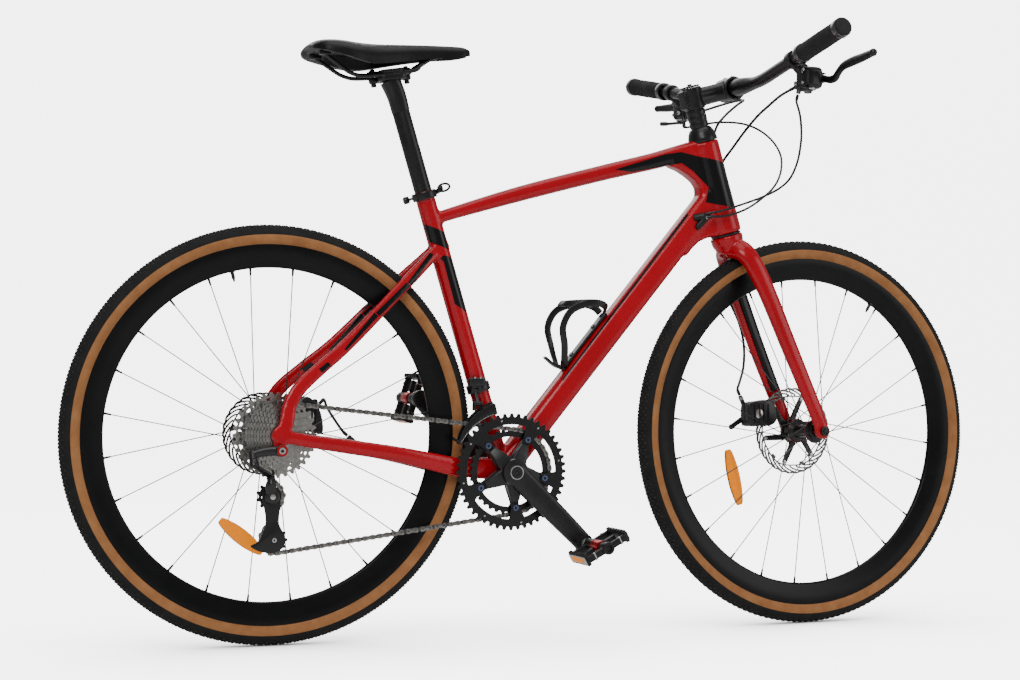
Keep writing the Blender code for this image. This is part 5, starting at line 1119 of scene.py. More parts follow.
@dataclass
class Frameset:
    """Welded frame with its dropouts, ports and bearing faces."""

    chainstays: tuple = (
        ((-0.100, -0.0270, 0.2880), 0.0100, 0.038), ((-0.178, -0.0330, 0.2935), 0.0110, 0.035),
        ((-0.203, -0.0380, 0.2970), 0.0120, 0.033), ((-0.295, -0.0530, 0.3170), 0.0150, 0.027),
        ((-0.384, -0.0600, 0.3310), 0.0150, 0.025), ((-0.445, -0.0680, 0.3395), 0.0110, 0.023))
    seatstays: tuple = (
        ((-0.200, -0.0050, 0.6800), 0.0120, 0.022), ((-0.289, -0.0305, 0.5950), 0.0120, 0.023),
        ((-0.381, -0.0460, 0.5050), 0.0120, 0.023), ((-0.435, -0.0560, 0.4600), 0.0120, 0.024),
        ((-0.472, -0.0630, 0.4270), 0.0120, 0.025), ((-0.488, -0.0670, 0.4000), 0.0110, 0.025),
        ((-0.4945, -0.0732, 0.3730), 0.0078, 0.026))
    top_tube: tuple = (
        ((-0.228, 0.0, 0.7130), 0.028, 0.0200), ((-0.191, 0.0, 0.7270), 0.030, 0.0215),
        ((-0.060, 0.0, 0.7670), 0.035, 0.0270), ((0.089, 0.0, 0.8075), 0.036, 0.0280),
        ((0.186, 0.0, 0.8320), 0.036, 0.0300), ((0.225, 0.0, 0.8435), 0.036, 0.0310),
        ((0.264, 0.0, 0.8555), 0.036, 0.0310), ((0.292, 0.0, 0.8640), 0.036, 0.0310))
    junction: tuple = (
        (0.222, 0.824), (0.240, 0.818), (0.256, 0.809), (0.270, 0.799), (0.278, 0.788), (0.279, 0.776),
        (0.272, 0.761), (0.252, 0.733), (0.235, 0.690), (0.252, 0.664), (0.261, 0.675), (0.278, 0.691),
        (0.294, 0.698), (0.308, 0.7005), (0.330, 0.712), (0.302, 0.838), (0.262, 0.855), (0.225, 0.843))
    hub_half: float = 0.071
    dropout_thickness: float = 0.007
    dropout_radius: float = 0.017
    voxel: float = 0.0024
    smoothing: int = 13

    def stay(self, route: tuple, hand: int) -> Surface:
        """One stay, carried on to the middle of its dropout.

        Args:
            route: (point, width, height) rows of the right stay.
            hand: 1 for the left side, -1 for the right one.

        Returns:
            The closed surface.
        """
        rows = [(mirrored(point, -hand), width, height) for point, width, height in route]
        foot = BIKE.rear_axle + LEFT * hand * (self.hub_half + self.dropout_thickness / 2)
        away = (rows[-1][0] - foot) * (1, 0, 1)
        for reach in (self.dropout_radius + 0.002, 0.0):
            rows.append((foot + unit(away) * reach, self.dropout_thickness - 0.0002, route[-1][2]))
        return sweep(rows, 28, 2.6, LEFT, 60)

    def tubes(self) -> Surface:
        """Every tube and web of the frame, crossing where they are welded.

        Returns:
            The crossing surfaces as one.
        """
        top = BIKE.head_tube
        head_tube = lathe([(0, 0.004), (0.0290, 0.004), (0.0295, 0.012), (0.0290, 0.030), (0.0275, 0.100),
                           (0.0270, top - 0.002), (0.0268, top), (0, top)], BIKE.crown, BIKE.head_axis, 64)
        seat_tube = rod(BIKE.seat(0.0), BIKE.seat(BIKE.seat_tube), 0.017, None, 48)
        size = BIKE.down_size
        down_tube = sweep([(BIKE.down(0.0), size + 0.003, size), (BIKE.down(0.3), size, size),
                           (BIKE.down(BIKE.down_tube), size, size)], 48, 3.6, LEFT, 60)
        shell = disc(BIKE.bracket, 0.022, -0.034, 0.034, LEFT, 48)
        parts = [head_tube, seat_tube, down_tube, shell, sweep(self.top_tube, 40, 2.8, LEFT, 80),
                 prism(self.junction, -0.018, 0.018, 0.006)]
        for hand in (-1, 1):
            parts += [self.stay(self.chainstays, hand), self.stay(self.seatstays, hand)]
            low, high = sorted((hand * self.hub_half, hand * (self.hub_half + self.dropout_thickness)))
            parts.append(disc(BIKE.rear_axle, self.dropout_radius, low, high, LEFT, 40))
        return joined(*parts)

    def fittings(self) -> Surface:
        """Crisp parts on the welded skin: seat collar, bearing faces, hanger and cable ports.

        Returns:
            The surface; finish 1 is plastic and 2 bright.
        """
        x, z = HANGER_BOLT
        axle = BIKE.rear_axle[2]
        outline = ((x - 0.010, axle), (x + 0.010, axle), (x + 0.009, z - 0.003), (x + 0.004, z - 0.009),
                   (x - 0.004, z - 0.009), (x - 0.009, z - 0.003))
        outside = -self.hub_half - self.dropout_thickness
        neck = band(BIKE.bracket, 0.0151, 0.0165, BIKE.seat_tube - 0.004, BIKE.seat_tube + 0.014,
                    BIKE.seat_axis)
        ports = [rod((0.264, -0.0194, 0.7328), (0.2810, -0.0290, 0.7365), 0.0068, 0.0060, 24, 0.001),
                 *[rod(start, end, 0.0050, 0.0046, 20, 0.001) for start, end in (LEFT_PORT, STAY_PORT)]]
        clip = sweep([((0.2665, -0.0225, 0.7140), 0.0070, 0.0060),
                      ((0.2700, -0.0235, 0.7175), 0.0110, 0.0110),
                      ((0.2860, -0.0262, 0.7360), 0.0110, 0.0120),
                      ((0.2895, -0.0265, 0.7400), 0.0070, 0.0070)],
                     28, 2.6, LEFT, 24, 0.0008)
        screw = disc(np.array([0.2835, 0.0, 0.7335]), 0.0030, -0.0330, -0.0305, LEFT, 18, 0.0005).dressed(2)
        faces = [band(BIKE.bracket, 0.0173, 0.0219, low, high) for low, high in
                 ((-0.0341, -0.0325), (0.0325, 0.0341))]
        return joined(neck, prism(outline, outside + 0.0004, -self.hub_half - 0.0002),
                      *[port.dressed(1) for port in (*ports, clip)], screw, *faces)

    def make(self) -> None:
        """Builds the welded skin and the fittings on it."""
        skin = build("frame_tubes", self.tubes(), [RED], "frame", "red_paint", ["frame"])
        melt(skin, self.voxel, self.smoothing)
        build("frame_fittings", self.fittings(), [RED, PLASTIC, BRIGHT], "frame", "red_paint", ["frame"])


@dataclass
class Fork:
    """Fork crown and legs; the steerer is inside the head tube."""

    leg: tuple = (
        ((0.3400, -0.0060, 0.6820), 0.030, 0.036), ((0.3520, -0.0280, 0.6760), 0.028, 0.038),
        ((0.3660, -0.0410, 0.6550), 0.024, 0.036), ((0.3920, -0.0490, 0.6020), 0.021, 0.034),
        ((0.4385, -0.0540, 0.4970), 0.018, 0.032), ((0.4885, -0.0568, 0.3890), 0.0145, 0.029),
        ((0.5037, -0.0567, 0.3520), 0.0132, 0.027))
    hub_half: float = 0.050
    leg_thickness: float = 0.0134
    voxel: float = 0.0022
    smoothing: int = 6

    def make(self) -> None:
        """Builds the welded skin of the fork."""
        crown = lathe([(0, -0.030), (0.022, -0.030), (0.0285, -0.014), (0.0295, -0.004), (0.0292, -0.0005),
                       (0, -0.0005)], BIKE.crown, BIKE.head_axis, 64)
        parts = [crown, rod(BIKE.head(-0.010), BIKE.head(0.004), 0.0143, None, 40)]
        for hand in (-1, 1):
            rows = [(mirrored(point, -hand), width, depth) for point, width, depth in self.leg]
            parts.append(sweep(rows, 36, 2.4, LEFT, 70))
            low, high = sorted((hand * self.hub_half, hand * (self.hub_half + self.leg_thickness)))
            parts.append(disc(BIKE.front_axle, 0.0140, low, high, LEFT, 40, 0.0015))
        skin = build("fork_blades", joined(*parts), [FORK_RED], "steering", "red_paint", ["fork"], STEERED)
        melt(skin, self.voxel, self.smoothing)


@dataclass
class Wheel:
    """Tyre, deep rim, spokes, hub and brake disc of one wheel."""

    name: str
    axle: Array
    place: Place
    spoke_start: float
    flanges: tuple
    hub_profile: tuple
    disc: tuple
    valve_angle: float
    rim_radius: float = 0.3165
    rim_inner: float = 0.2776
    rim_half: float = 0.013
    tyre_half: float = 0.020
    bead_turn: float = 0.83
    knob_height: float = 0.0014
    tan_reach: float = 0.0175
    flange_radius: float = 0.0215
    spokes: int = 24

    @property
    def body(self) -> str:
        """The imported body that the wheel's pieces ride on."""
        return self.name + "_wheel"

    def section(self) -> Array:
        """Tyre section from bead to bead: an arc of r (cos a, sin a), 2 % wider than high.

        Returns:
            Array of (radius, side) rows.
        """
        middle = BIKE.tyre_radius - self.tyre_half
        angle = np.linspace(-self.bead_turn, np.pi + self.bead_turn, 41)
        radius = self.tyre_half - self.knob_height
        return np.stack([middle + radius * np.sin(angle), radius * np.cos(angle) * 1.02], -1)

    def tyre(self) -> Surface:
        """Tyre skin with tan walls and a black tread, closed inside by its wall.

        Returns:
            The closed surface; finish 0 is the tread and 1 the tan wall.
        """
        outer = self.section()
        inner = (outer - [BIKE.tyre_radius - self.tyre_half,
                          0]) * 0.86 + [BIKE.tyre_radius - self.tyre_half, 0]
        made = lathe(np.vstack([outer, inner[::-1]]), self.axle, LEFT, 144)
        row = np.floor(made.chart[::4, 0] * (2 * len(outer)) + 0.5).astype(int)
        height = (made.points[made.corners].reshape(-1, 4, 3) - self.axle).mean(1)
        reach = np.hypot(height[:, 0], height[:, 2])
        tan = (reach < BIKE.tyre_radius - self.tan_reach) & (row < len(outer))
        return replace(made, skin=np.where(tan, 1, 0))

    def knobs(self) -> Surface:
        """Low tread blocks in staggered rows across the crown and shoulders.

        Returns:
            All blocks as one surface.
        """
        around = 176
        rows = ((0.0, 0.0052, 0.0050), (0.26, 0.0046, 0.0050), (0.52, 0.0044, 0.0052), (0.76, 0.0040, 0.0056))
        parts = []
        for number, (lean, wide, long) in enumerate(rows):
            for hand in ((1,) if lean == 0.0 else (-1, 1)):
                one = sweep([((0, 0, -0.0012), wide, long), ((0, 0, 0.0004), wide, long),
                             ((0, 0, 0.0011), wide * 0.8, long * 0.8)], 4, 2.0, LEFT)
                turn = rotation(FORWARD, -hand * math.degrees(lean))
                radius = self.tyre_half - self.knob_height
                middle = BIKE.tyre_radius - self.tyre_half
                shift = np.array([0.0, hand * radius * math.sin(lean) * 1.02,
                                  middle + radius * math.cos(lean)])
                lifted = one.moved(turn @ rotation(UP, 45.0), shift + self.axle)
                angles = (np.arange(around) + 0.5 * (number % 2)) * 360.0 / around
                parts.append(round_copies(lifted, self.axle, angles))
        return joined(*parts)

    def rim(self) -> Surface:
        """Deep rim with a rounded inner edge, straight flanks and the well that holds the tyre.

        Returns:
            The closed surface.
        """
        half = self.rim_half
        depth = self.rim_radius - self.rim_inner
        angle = np.linspace(0, np.pi, 13)
        nose = [(self.rim_inner + 0.0042 - 0.0042 * math.sin(a), 0.0056 * math.cos(a)) for a in angle]
        left = [(self.rim_radius, half), (self.rim_radius - 0.006, half),
                (self.rim_inner + depth * 0.45, half * 0.86)]
        right = [(radius, -side) for radius, side in reversed(left)]
        well = [(self.rim_radius, -half + 0.0022), (self.rim_radius - 0.007, -half + 0.004),
                (self.rim_radius - 0.007, half - 0.004), (self.rim_radius, half - 0.0022)]
        return lathe(left + nose + right + well, self.axle, LEFT, 144)

    def spoke_lines(self) -> tuple[Array, Array]:
        """Rim ends and flange ends of the spokes of a twice-crossed wheel, as two arrays of points.

        Returns:
            The rim ends and the flange ends.
        """
        index = np.arange(self.spokes)
        angle = np.radians(self.spoke_start + index * 360.0 / self.spokes)
        lean = math.radians(60.0) * np.where(index // 2 % 2, 1, -1)
        side = np.where(index % 2, self.flanges[1], self.flanges[0])
        inset = np.where(index // 2 % 2, 0.0013, -0.0013)
        outward = np.stack([np.cos(angle), 0 * angle, np.sin(angle)], -1)
        rim_end = self.axle + outward * (self.rim_inner + 0.002)
        reach = self.flange_radius - 0.0022
        hub_end = self.axle + np.stack([np.cos(angle + lean) * reach, side + inset,
                                        np.sin(angle + lean) * reach], -1)
        return rim_end, hub_end

    def lacing(self) -> Surface:
        """Spokes with their elbows' heads, and nipples at the rim.

        Returns:
            The surface; finish 0 is the spokes and 1 the nipples.
        """
        parts = []
        for start, end in zip(*self.spoke_lines()):
            along = unit(start - end)
            parts.append(rod(end, start, 0.00095, None, 8, 0.0).dressed(0))
            parts.append(rod(start - along * 0.013, start, 0.0017, 0.0022, 8, 0.0003).dressed(1))
            parts.append(rod(end - LEFT * 0.002, end + LEFT * 0.002, 0.0019, None, 8, 0.0003).dressed(0))
        return joined(*parts)

    def rotor(self) -> tuple[Surface, Surface]:
        """Braking ring of curved ribs between two wavy hoops, and its six-armed carrier with rivets.

        Returns:
            The braking ring and the carrier.
        """
        radius, side = self.disc
        thick = DISC_THICKNESS
        middle = side + thick / 2
        inner = radius - 0.0215
        steps = 30 * 16
        turn = 2 * np.pi * np.arange(steps) / steps
        crest = radius - 0.0014 * (1 - np.abs(np.cos(15 * turn)))
        ripple = 0.0012 * np.cos(6 * turn)
        track = [ring_plate(self.axle, crest - 0.0034, crest, side, side + thick, 0.0002),
                 ring_plate(self.axle, inner + 0.0052 + ripple, inner + 0.0078 + ripple, side,
                            side + thick, 0.0002)]
        share = np.linspace(0, 1, 7)
        reach = inner + 0.0070 + (radius - 0.0022 - inner - 0.0070) * share
        way = np.radians(24.0 * share ** 1.3)
        rib = [(np.array([r * math.cos(a), middle, r * math.sin(a)]), thick, 0.0033)
               for r, a in zip(reach, way)]
        track.append(round_copies(sweep(rib, 8, 6.0, LEFT), np.zeros(3), 12.0 * np.arange(30))
                     .moved(np.eye(3), self.axle))
        tabs = sweep([(np.array([inner + 0.0010, middle, 0.0]), thick, 0.009),
                      (np.array([inner + 0.0070, middle, 0.0]), thick, 0.012)], 16, 4.0, LEFT, 0, 0.0004)
        track.append(round_copies(tabs, np.zeros(3), 60.0 * np.arange(6) + 12.0).moved(np.eye(3), self.axle))
        track = joined(*track)
        arms = []
        for arm in range(6):
            foot, tip = heading(60.0 * arm + 30.0), heading(60.0 * arm + 12.0)
            spots = (foot * 0.016, (foot * 0.6 + tip * 0.4) * 0.030, tip * (inner + 0.004))
            arms.append(sweep([(self.axle + spot + LEFT * middle, 0.0024, width)
                               for spot, width in zip(spots, (0.018, 0.0118, 0.0100))],
                              16, 5.0, LEFT, 14, 0.0004))
            arms.append(disc(self.axle + tip * (inner + 0.0022), 0.0036, side - 0.0010, side + 0.0028,
                             LEFT, 18).dressed(1))
        arms.append(band(self.axle, 0.0168, 0.0235, side - 0.0006, side + 0.0024))
        arms.append(band(self.axle, 0.0120, 0.0172, side - 0.0002, side + 0.0042).dressed(2))
        return track, joined(*arms)

    def valve(self) -> Surface:
        """Valve stem through the rim with its lock ring and cap.

        Returns:
            The surface.
        """
        way = heading(self.valve_angle)
        foot = self.axle + way * (self.rim_inner + 0.002)
        return joined(rod(foot, foot - way * 0.014, 0.0030, None, 16),
                      rod(foot - way * 0.014, foot - way * 0.019,
                      0.0022, 0.0016, 14), rod(foot, foot - way * 0.003, 0.0052, None, 6, 0.0006))

    def make(self) -> None:
        """Builds every piece of the wheel."""
        name, body, place = self.name, self.body, self.place
        build(name + "_tyre_skin", self.tyre(), [RUBBER, TAN], body, "tyre_rubber", [name + "_tyre"], place)
        # Tread knobs in the lighter rubber, a painted highlight.
        build(name + "_tread_knobs", self.knobs(), [KNOB_HIGHLIGHT_RUBBER], body, "tyre_rubber", [], place)
        build(name + "_rim_shell", self.rim(), [RIM_BLACK], body, "black_paint", [name + "_rim"], place)
        build(name + "_lacing", self.lacing(), [SPOKE_STEEL, SATIN_BLACK], body, "black_paint",
              [name + "_rim"], place)
        hub = lathe(eased(self.hub_profile, 0.0008), self.axle, LEFT, 48)
        rings = [band(self.axle, self.flange_radius - 0.0002, self.flange_radius + 0.0006, side - 0.0006,
                      side + 0.0006).dressed(1) for side in self.flanges]
        build(name + "_hub_shell", joined(hub, *rings), [SATIN_BLACK, RED_ACCENT], body, "black_paint",
              [name + "_hub"], place)
        track, carrier = self.rotor()
        build(name + "_rotor_track", track, [ROTOR_STEEL], body, "bright_steel", [name + "_rotor"], place,
              bevel=0.0002)
        build(name + "_rotor_carrier", carrier, [SATIN_BLACK, BRIGHT, SATIN_BLACK], body, "black_parts", [],
              place)
        build(name + "_valve", self.valve(), [SATIN_BLACK], body, "black_parts", [], place)


def front_wheel() -> Wheel:
    """Front wheel, whose hub stands between the fork's dropouts with its disc on the left.

    Returns:
        The wheel.
    """
    profile = ((0.0063, -0.0497), (0.0095, -0.0497), (0.0095, -0.0445), (0.0165, -0.0440), (0.0165, -0.0370),
               (0.0215, -0.0360), (0.0215, -0.0320), (0.0130, -0.0280), (0.0110, 0.0), (0.0130, 0.0180),
               (0.0215, 0.0220), (0.0215, 0.0390), (0.0170, 0.0390), (0.0170, 0.0435), (0.0095, 0.0440),
               (0.0095, 0.0497), (0.0063, 0.0497))
    return Wheel("front", BIKE.front_axle, STEERED, spoke_start=9.9, flanges=(0.0240, -0.0340),
                 hub_profile=profile, disc=FRONT_DISC, valve_angle=58.0)


def rear_wheel() -> Wheel:
    """Rear wheel, whose hub carries the cassette's sleeve on the right and the disc on the left.

    Returns:
        The wheel.
    """
    profile = ((0.0063, -0.0707), (0.0105, -0.0707), (0.0105, -0.0680), (0.0085, -0.0680), (0.0085, -0.0255),
               (0.0170, -0.0255), (0.0215, -0.0220), (0.0215, -0.0180), (0.0130, -0.0130), (0.0110, 0.0050),
               (0.0130, 0.0280), (0.0215, 0.0310), (0.0215, 0.0517), (0.0170, 0.0517), (0.0170, 0.0570),
               (0.0105, 0.0580), (0.0105, 0.0707), (0.0063, 0.0707))
    return Wheel("rear", BIKE.rear_axle, FIXED, spoke_start=7.5, flanges=(0.0330, -0.0200),
                 hub_profile=profile, disc=REAR_DISC, valve_angle=104.0)


# Round plates and chain

def ring_plate(centre: Array, inner: Array, outer: Array, low: float, high: float,
               ease: float = 0.0003) -> Surface:
    """Flat ring whose inner and outer radii change with the angle, its rims eased by a chamfer.

    Each column j is a six-cornered section at the angle 2 pi j / n, from r = inner(j) to outer(j).

    Args:
        centre: middle of the ring.
        inner: inner radius at each of n angles.
        outer: outer radius at the same angles.
        low: lower face along Y.
        high: upper face along Y.
        ease: width of the chamfer on each rim.

    Returns:
        The closed surface.
    """
    angle = 2 * np.pi * np.arange(len(outer)) / len(outer)
    rows = [(inner + ease, low), (outer - ease, low), (outer, low + ease), (outer, high - ease),
            (outer - ease, high), (inner + ease, high), (inner, high - ease), (inner, low + ease)]
    grid = np.stack([np.stack([centre[0] + radius * np.cos(angle), np.full_like(angle, side),
                               centre[2] + radius * np.sin(angle)], -1) for radius, side in rows])
    return lattice(grid, True, True)


def teeth_radius(teeth: int, root: float, tip: float, steps: int, phase: float = 0.0) -> Array:
    """Radius of a toothed rim: root + (tip - root) s(t), with s a raised cosine cut flat at both ends.

    Args:
        teeth: number of teeth.
        root: radius between the teeth.
        tip: radius at the teeth.
        steps: how many angles round the rim.
        phase: turn of the teeth in the cosine's own angle.

    Returns:
        Array of radii.
    """
    turn = 2 * np.pi * np.arange(steps) / steps
    wave = 0.5 + 0.9 * np.cos(teeth * turn + phase)
    return root + (tip - root) * np.clip(wave, 0.0, 1.0)


def pitch_radius(teeth: int) -> float:
    """Radius at which a chain's pins run on a sprocket: p / (2 sin(pi / n))."""
    return CHAIN_PITCH / (2 * math.sin(math.pi / teeth))


@dataclass
class Drive:
    """Cranks, rings, pedals, cassette and chain."""

    crank_angle: float = -45.0
    crank_length: float = 0.1725
    crank_face: float = 0.0795
    spider_angle: float = 61.5
    bolt_circle: float = 0.062
    big_teeth: int = 48
    small_teeth: int = 36
    big_side: float = -0.049
    small_side: float = -0.041
    ring_thickness: float = 0.002
    cogs: tuple = (34, 30, 27, 25, 23, 21, 19, 17, 15, 13, 11)
    chain_cog: int = 2
    cog_spacing: float = 0.0037
    cog_side: float = -0.029
    guide: tuple = (-0.513, 0.250)
    tension: tuple = (-0.506, 0.178)
    pulley_teeth: int = 11
    pedal_inner: float = 0.104
    pedal_outer: float = 0.190
    pedal_length: float = 0.088

    def cog_plane(self, index: int) -> float:
        """Middle plane of a cog, counted from the largest."""
        return self.cog_side - index * self.cog_spacing

    def arm(self, hand: int, degrees: float) -> Surface:
        """Crank arm with its eye, and the pedal's spindle.

        Args:
            hand: 1 for the left side, -1 for the right one.
            degrees: heading of the arm.

        Returns:
            The surface; finish 1 is the spindle.
        """
        along = heading(degrees)
        rows = ((0.0, 0.064, 0.024, 0.040), (0.030, 0.066, 0.021, 0.039), (0.080, 0.072, 0.018, 0.037),
                (0.140, 0.078, 0.016, 0.034), (self.crank_length, self.crank_face, 0.015, 0.032))
        arm = sweep([(BIKE.bracket + along * reach + LEFT * hand * side, thick, width)
                     for reach, side, thick, width in rows], 28, 3.4, LEFT, 40, 0.002)
        end = BIKE.bracket + along * self.crank_length
        low, high = sorted((hand * (self.crank_face - 0.0074), hand * (self.crank_face + 0.0074)))
        eye = disc(end, 0.0160, low, high, LEFT, 40, 0.002)
        low, high = sorted((hand * self.crank_face, hand * (self.pedal_outer - 0.012)))
        spindle = disc(end, 0.0055, low, high, LEFT, 16).dressed(1)
        low, high = sorted((hand * (self.crank_face + 0.0070), hand * (self.crank_face + 0.0105)))
        washer = disc(end, 0.0085, low, high, LEFT, 6).dressed(1)
        return joined(arm, eye, spindle, washer)

    def spider(self) -> Surface:
        """Five arms that reach the rings' bolts, and the hub that they grow from.

        Returns:
            The surface; finish 1 is the bright ring.
        """
        low = self.big_side + self.ring_thickness / 2 + 0.0003
        high = self.small_side - self.ring_thickness / 2 - 0.0003
        middle, parts = (low + high) / 2, []
        for bolt in range(5):
            along = heading(self.spider_angle + 72.0 * bolt)
            rows = [(0.012, 0.0300), (0.030, 0.0255), (0.045, 0.0185), (self.bolt_circle - 0.004, 0.0145),
                    (self.bolt_circle + 0.0055, 0.0120)]
            parts.append(sweep([(BIKE.bracket + along * reach + LEFT * middle, high - low, width)
                                for reach, width in rows], 20, 6.0, LEFT, 20, 0.0008))
            rib = [(0.014, -0.0545, 0.020, 0.031), (0.034, -0.0530, 0.013, 0.0225),
                   (0.0515, -0.0490, 0.006, 0.0135)]
            parts.append(sweep([(BIKE.bracket + along * reach + LEFT * side, thick, width)
                                for reach, side, thick, width in rib], 24, 6.0, LEFT, 16, 0.0010))
        parts.append(disc(BIKE.bracket, 0.0230, -0.0740, high, LEFT, 48, 0.002))
        parts.append(disc(BIKE.bracket, 0.0120, -0.070, 0.0640, LEFT, 32))
        rim = [(0.0103, -0.0772), (0.0120, -0.0772), (0.0127, -0.0738), (0.0103, -0.0738)]
        cap = [(0.0040, -0.0768), (0.0103, -0.0768), (0.0103, -0.0738), (0.0040, -0.0738)]
        trim = lathe(eased(rim, 0.0003), BIKE.bracket, LEFT, 40).dressed(1)
        plug = lathe(eased(cap, 0.0002), BIKE.bracket, LEFT, 32)
        return joined(*parts, trim, plug)

    def chainring(self, teeth: int, side: float, tip: float, root: float, hole: float) -> Surface:
        """Toothed ring with five bolt tabs, each tab a raised cosine on the inner rim.

        Args:
            teeth: number of teeth.
            side: middle plane.
            tip: radius at the teeth.
            root: radius between the teeth.
            hole: inner radius between the tabs.

        Returns:
            The closed surface.
        """
        steps = teeth * 12
        turn = 2 * np.pi * np.arange(steps) / steps
        near = np.cos(5 * (turn - math.radians(self.spider_angle)))
        tab = np.clip((near - 0.62) / 0.25, 0.0, 1.0)
        inner = hole - (hole - self.bolt_circle + 0.007) * tab * tab * (3 - 2 * tab)
        half = self.ring_thickness / 2
        return ring_plate(BIKE.bracket, inner, teeth_radius(teeth, root, tip, steps), side - half,
                          side + half)

    def ring_bolts(self) -> Surface:
        """Chainring bolts with their sockets.

        Returns:
            All bolts as one surface.
        """
        parts = []
        for bolt in range(5):
            spot = BIKE.bracket + heading(self.spider_angle + 72.0 * bolt) * self.bolt_circle
            head = lathe(eased([(0.0024, -0.0515), (0.0052, -0.0515), (0.0056, -0.0500), (0.0056, -0.0392),
                                (0.0024, -0.0392)], 0.0005), spot, LEFT, 24)
            parts.append(head)
        return joined(*parts)

    def small_details(self) -> Surface:
        """Shift pins riveted to the inside of the outer ring.

        Returns:
            All pins as one surface.
        """
        parts = []
        for step in range(8):
            spot = BIKE.bracket + heading(12.0 + 45.0 * step) * (pitch_radius(self.big_teeth) - 0.0085)
            parts.append(disc(spot, 0.0018, self.big_side - 0.0012, self.big_side + 0.0022, LEFT, 12, 0.0004))
        return joined(*parts)

    def pedal(self, hand: int, degrees: float, tilt: float) -> Surface:
        """Platform pedal: barrel, two long sides with teeth, end bars, a middle bridge and pins.

        Args:
            hand: 1 for the left side, -1 for the right one.
            degrees: heading of the crank arm.
            tilt: angle of the platform.

        Returns:
            The surface; finish 1 is bright, 2 the amber reflectors with their painted glow and 3 the red
            sleeve.
        """
        centre = BIKE.bracket + heading(degrees) * self.crank_length
        ahead, above = heading(tilt), heading(tilt + 90.0)
        turn = np.stack([ahead, LEFT, above], -1)
        middle = hand * (self.pedal_inner + self.pedal_outer) / 2
        width = self.pedal_outer - self.pedal_inner
        low, high = sorted((hand * self.pedal_inner, hand * self.pedal_outer))
        barrel = lathe(eased([(0.0056, low), (0.0105, low), (0.0105, low + 0.012), (0.0088, low + 0.018),
                              (0.0088, high - 0.018), (0.0105, high - 0.012), (0.0105, high), (0.0056, high)],
                             0.0008), centre, LEFT, 32)
        parts = [barrel]
        for sign in (-1, 1):
            side = centre + ahead * sign * (self.pedal_length - 0.008) / 2 + LEFT * middle
            parts.append(block(side, (0.0075, width - 0.014, 0.0150), 0.0015, turn, 8.0, 28))
            face = centre + ahead * sign * (self.pedal_length / 2 - 0.0004) + LEFT * middle
            parts.append(block(face, (0.0012, width - 0.016, 0.0140), 0.0004, turn, 8.0, 28).dressed(1))
            # Amber reflector in each end of the pedal; its glow is painted light.
            lamp = face + ahead * sign * 0.0006
            parts.append(block(lamp, (0.0016, 0.046, 0.0090), 0.0005, turn, 8.0, 28).dressed(2))
            beam = centre + LEFT * (middle + sign * (width / 2 - 0.0065))
            parts.append(block(beam, (self.pedal_length - 0.006, 0.0070, 0.0115), 0.0015, turn, 8.0, 28))
            for number in range(7):
                across = middle + (number - 3) * (width - 0.022) / 6
                tooth = sweep([((0, 0, -0.0110), 0.0058, 0.0070), ((0, 0, 0.0110), 0.0058, 0.0070)], 12, 5.0,
                              LEFT, 0, 0.0016)
                spot = centre + ahead * sign * (self.pedal_length - 0.0085) / 2 + LEFT * across
                parts.append(tooth.moved(turn, spot))
            parts.append(block(centre + ahead * sign * 0.022 + LEFT * middle, (0.022, 0.0095, 0.0085),
                               0.0015, turn, 6.0, 20))
            bolt = centre + LEFT * (middle + sign * (width / 2 - 0.0050))
            for reach in (-0.026, 0.026):
                parts.append(rod(bolt + ahead * reach - above * 0.0066, bolt + ahead * reach + above * 0.0066,
                                 0.0022, None, 12, 0.0003).dressed(1))
        low, high = sorted((hand * (self.pedal_inner + 0.001), hand * (self.pedal_inner - 0.003)))
        parts.append(band(centre, 0.0056, 0.0088, low, high, LEFT, 24).dressed(1))
        parts.append(band(centre, 0.0086, 0.0107, middle - 0.016, middle + 0.016, LEFT, 28).dressed(3))
        return joined(*parts)

    def cog(self, index: int) -> Surface:
        """One cog: a toothed rim, with slots through the web of the larger ones.

        Args:
            index: its number, counted from the largest.

        Returns:
            The closed surface.
        """
        teeth = self.cogs[index]
        tip = pitch_radius(teeth) + (0.0012 if index == self.chain_cog else 0.0022)
        root = pitch_radius(teeth) - 0.0036
        plane = self.cog_plane(index)
        follows = pitch_radius(self.cogs[min(index + 1, len(self.cogs) - 1)])
        inner = max(follows - 0.013, 0.0135)
        radii = [inner, inner + 0.003, root - 0.0032, root, tip]
        steps = teeth * 10

        def keep(row: Array, column: Array) -> Array:
            """Slots in the web, a third of the way round each pair of teeth."""
            return ~((row == 1) & (column % 30 < 14) & (teeth > 17))

        def wave(distance: Array, turn: Array) -> Array:
            """The outermost circle follows the teeth, from root to tip."""
            shape = np.clip(0.5 + 0.95 * np.cos(teeth * turn), 0.0, 1.0)
            return np.where(distance > root + 1e-6, root + 0.0002 + (tip - root) * shape, distance)

        return pierced(BIKE.rear_axle, radii, steps, keep, plane - 0.0008, plane + 0.0008, wave)

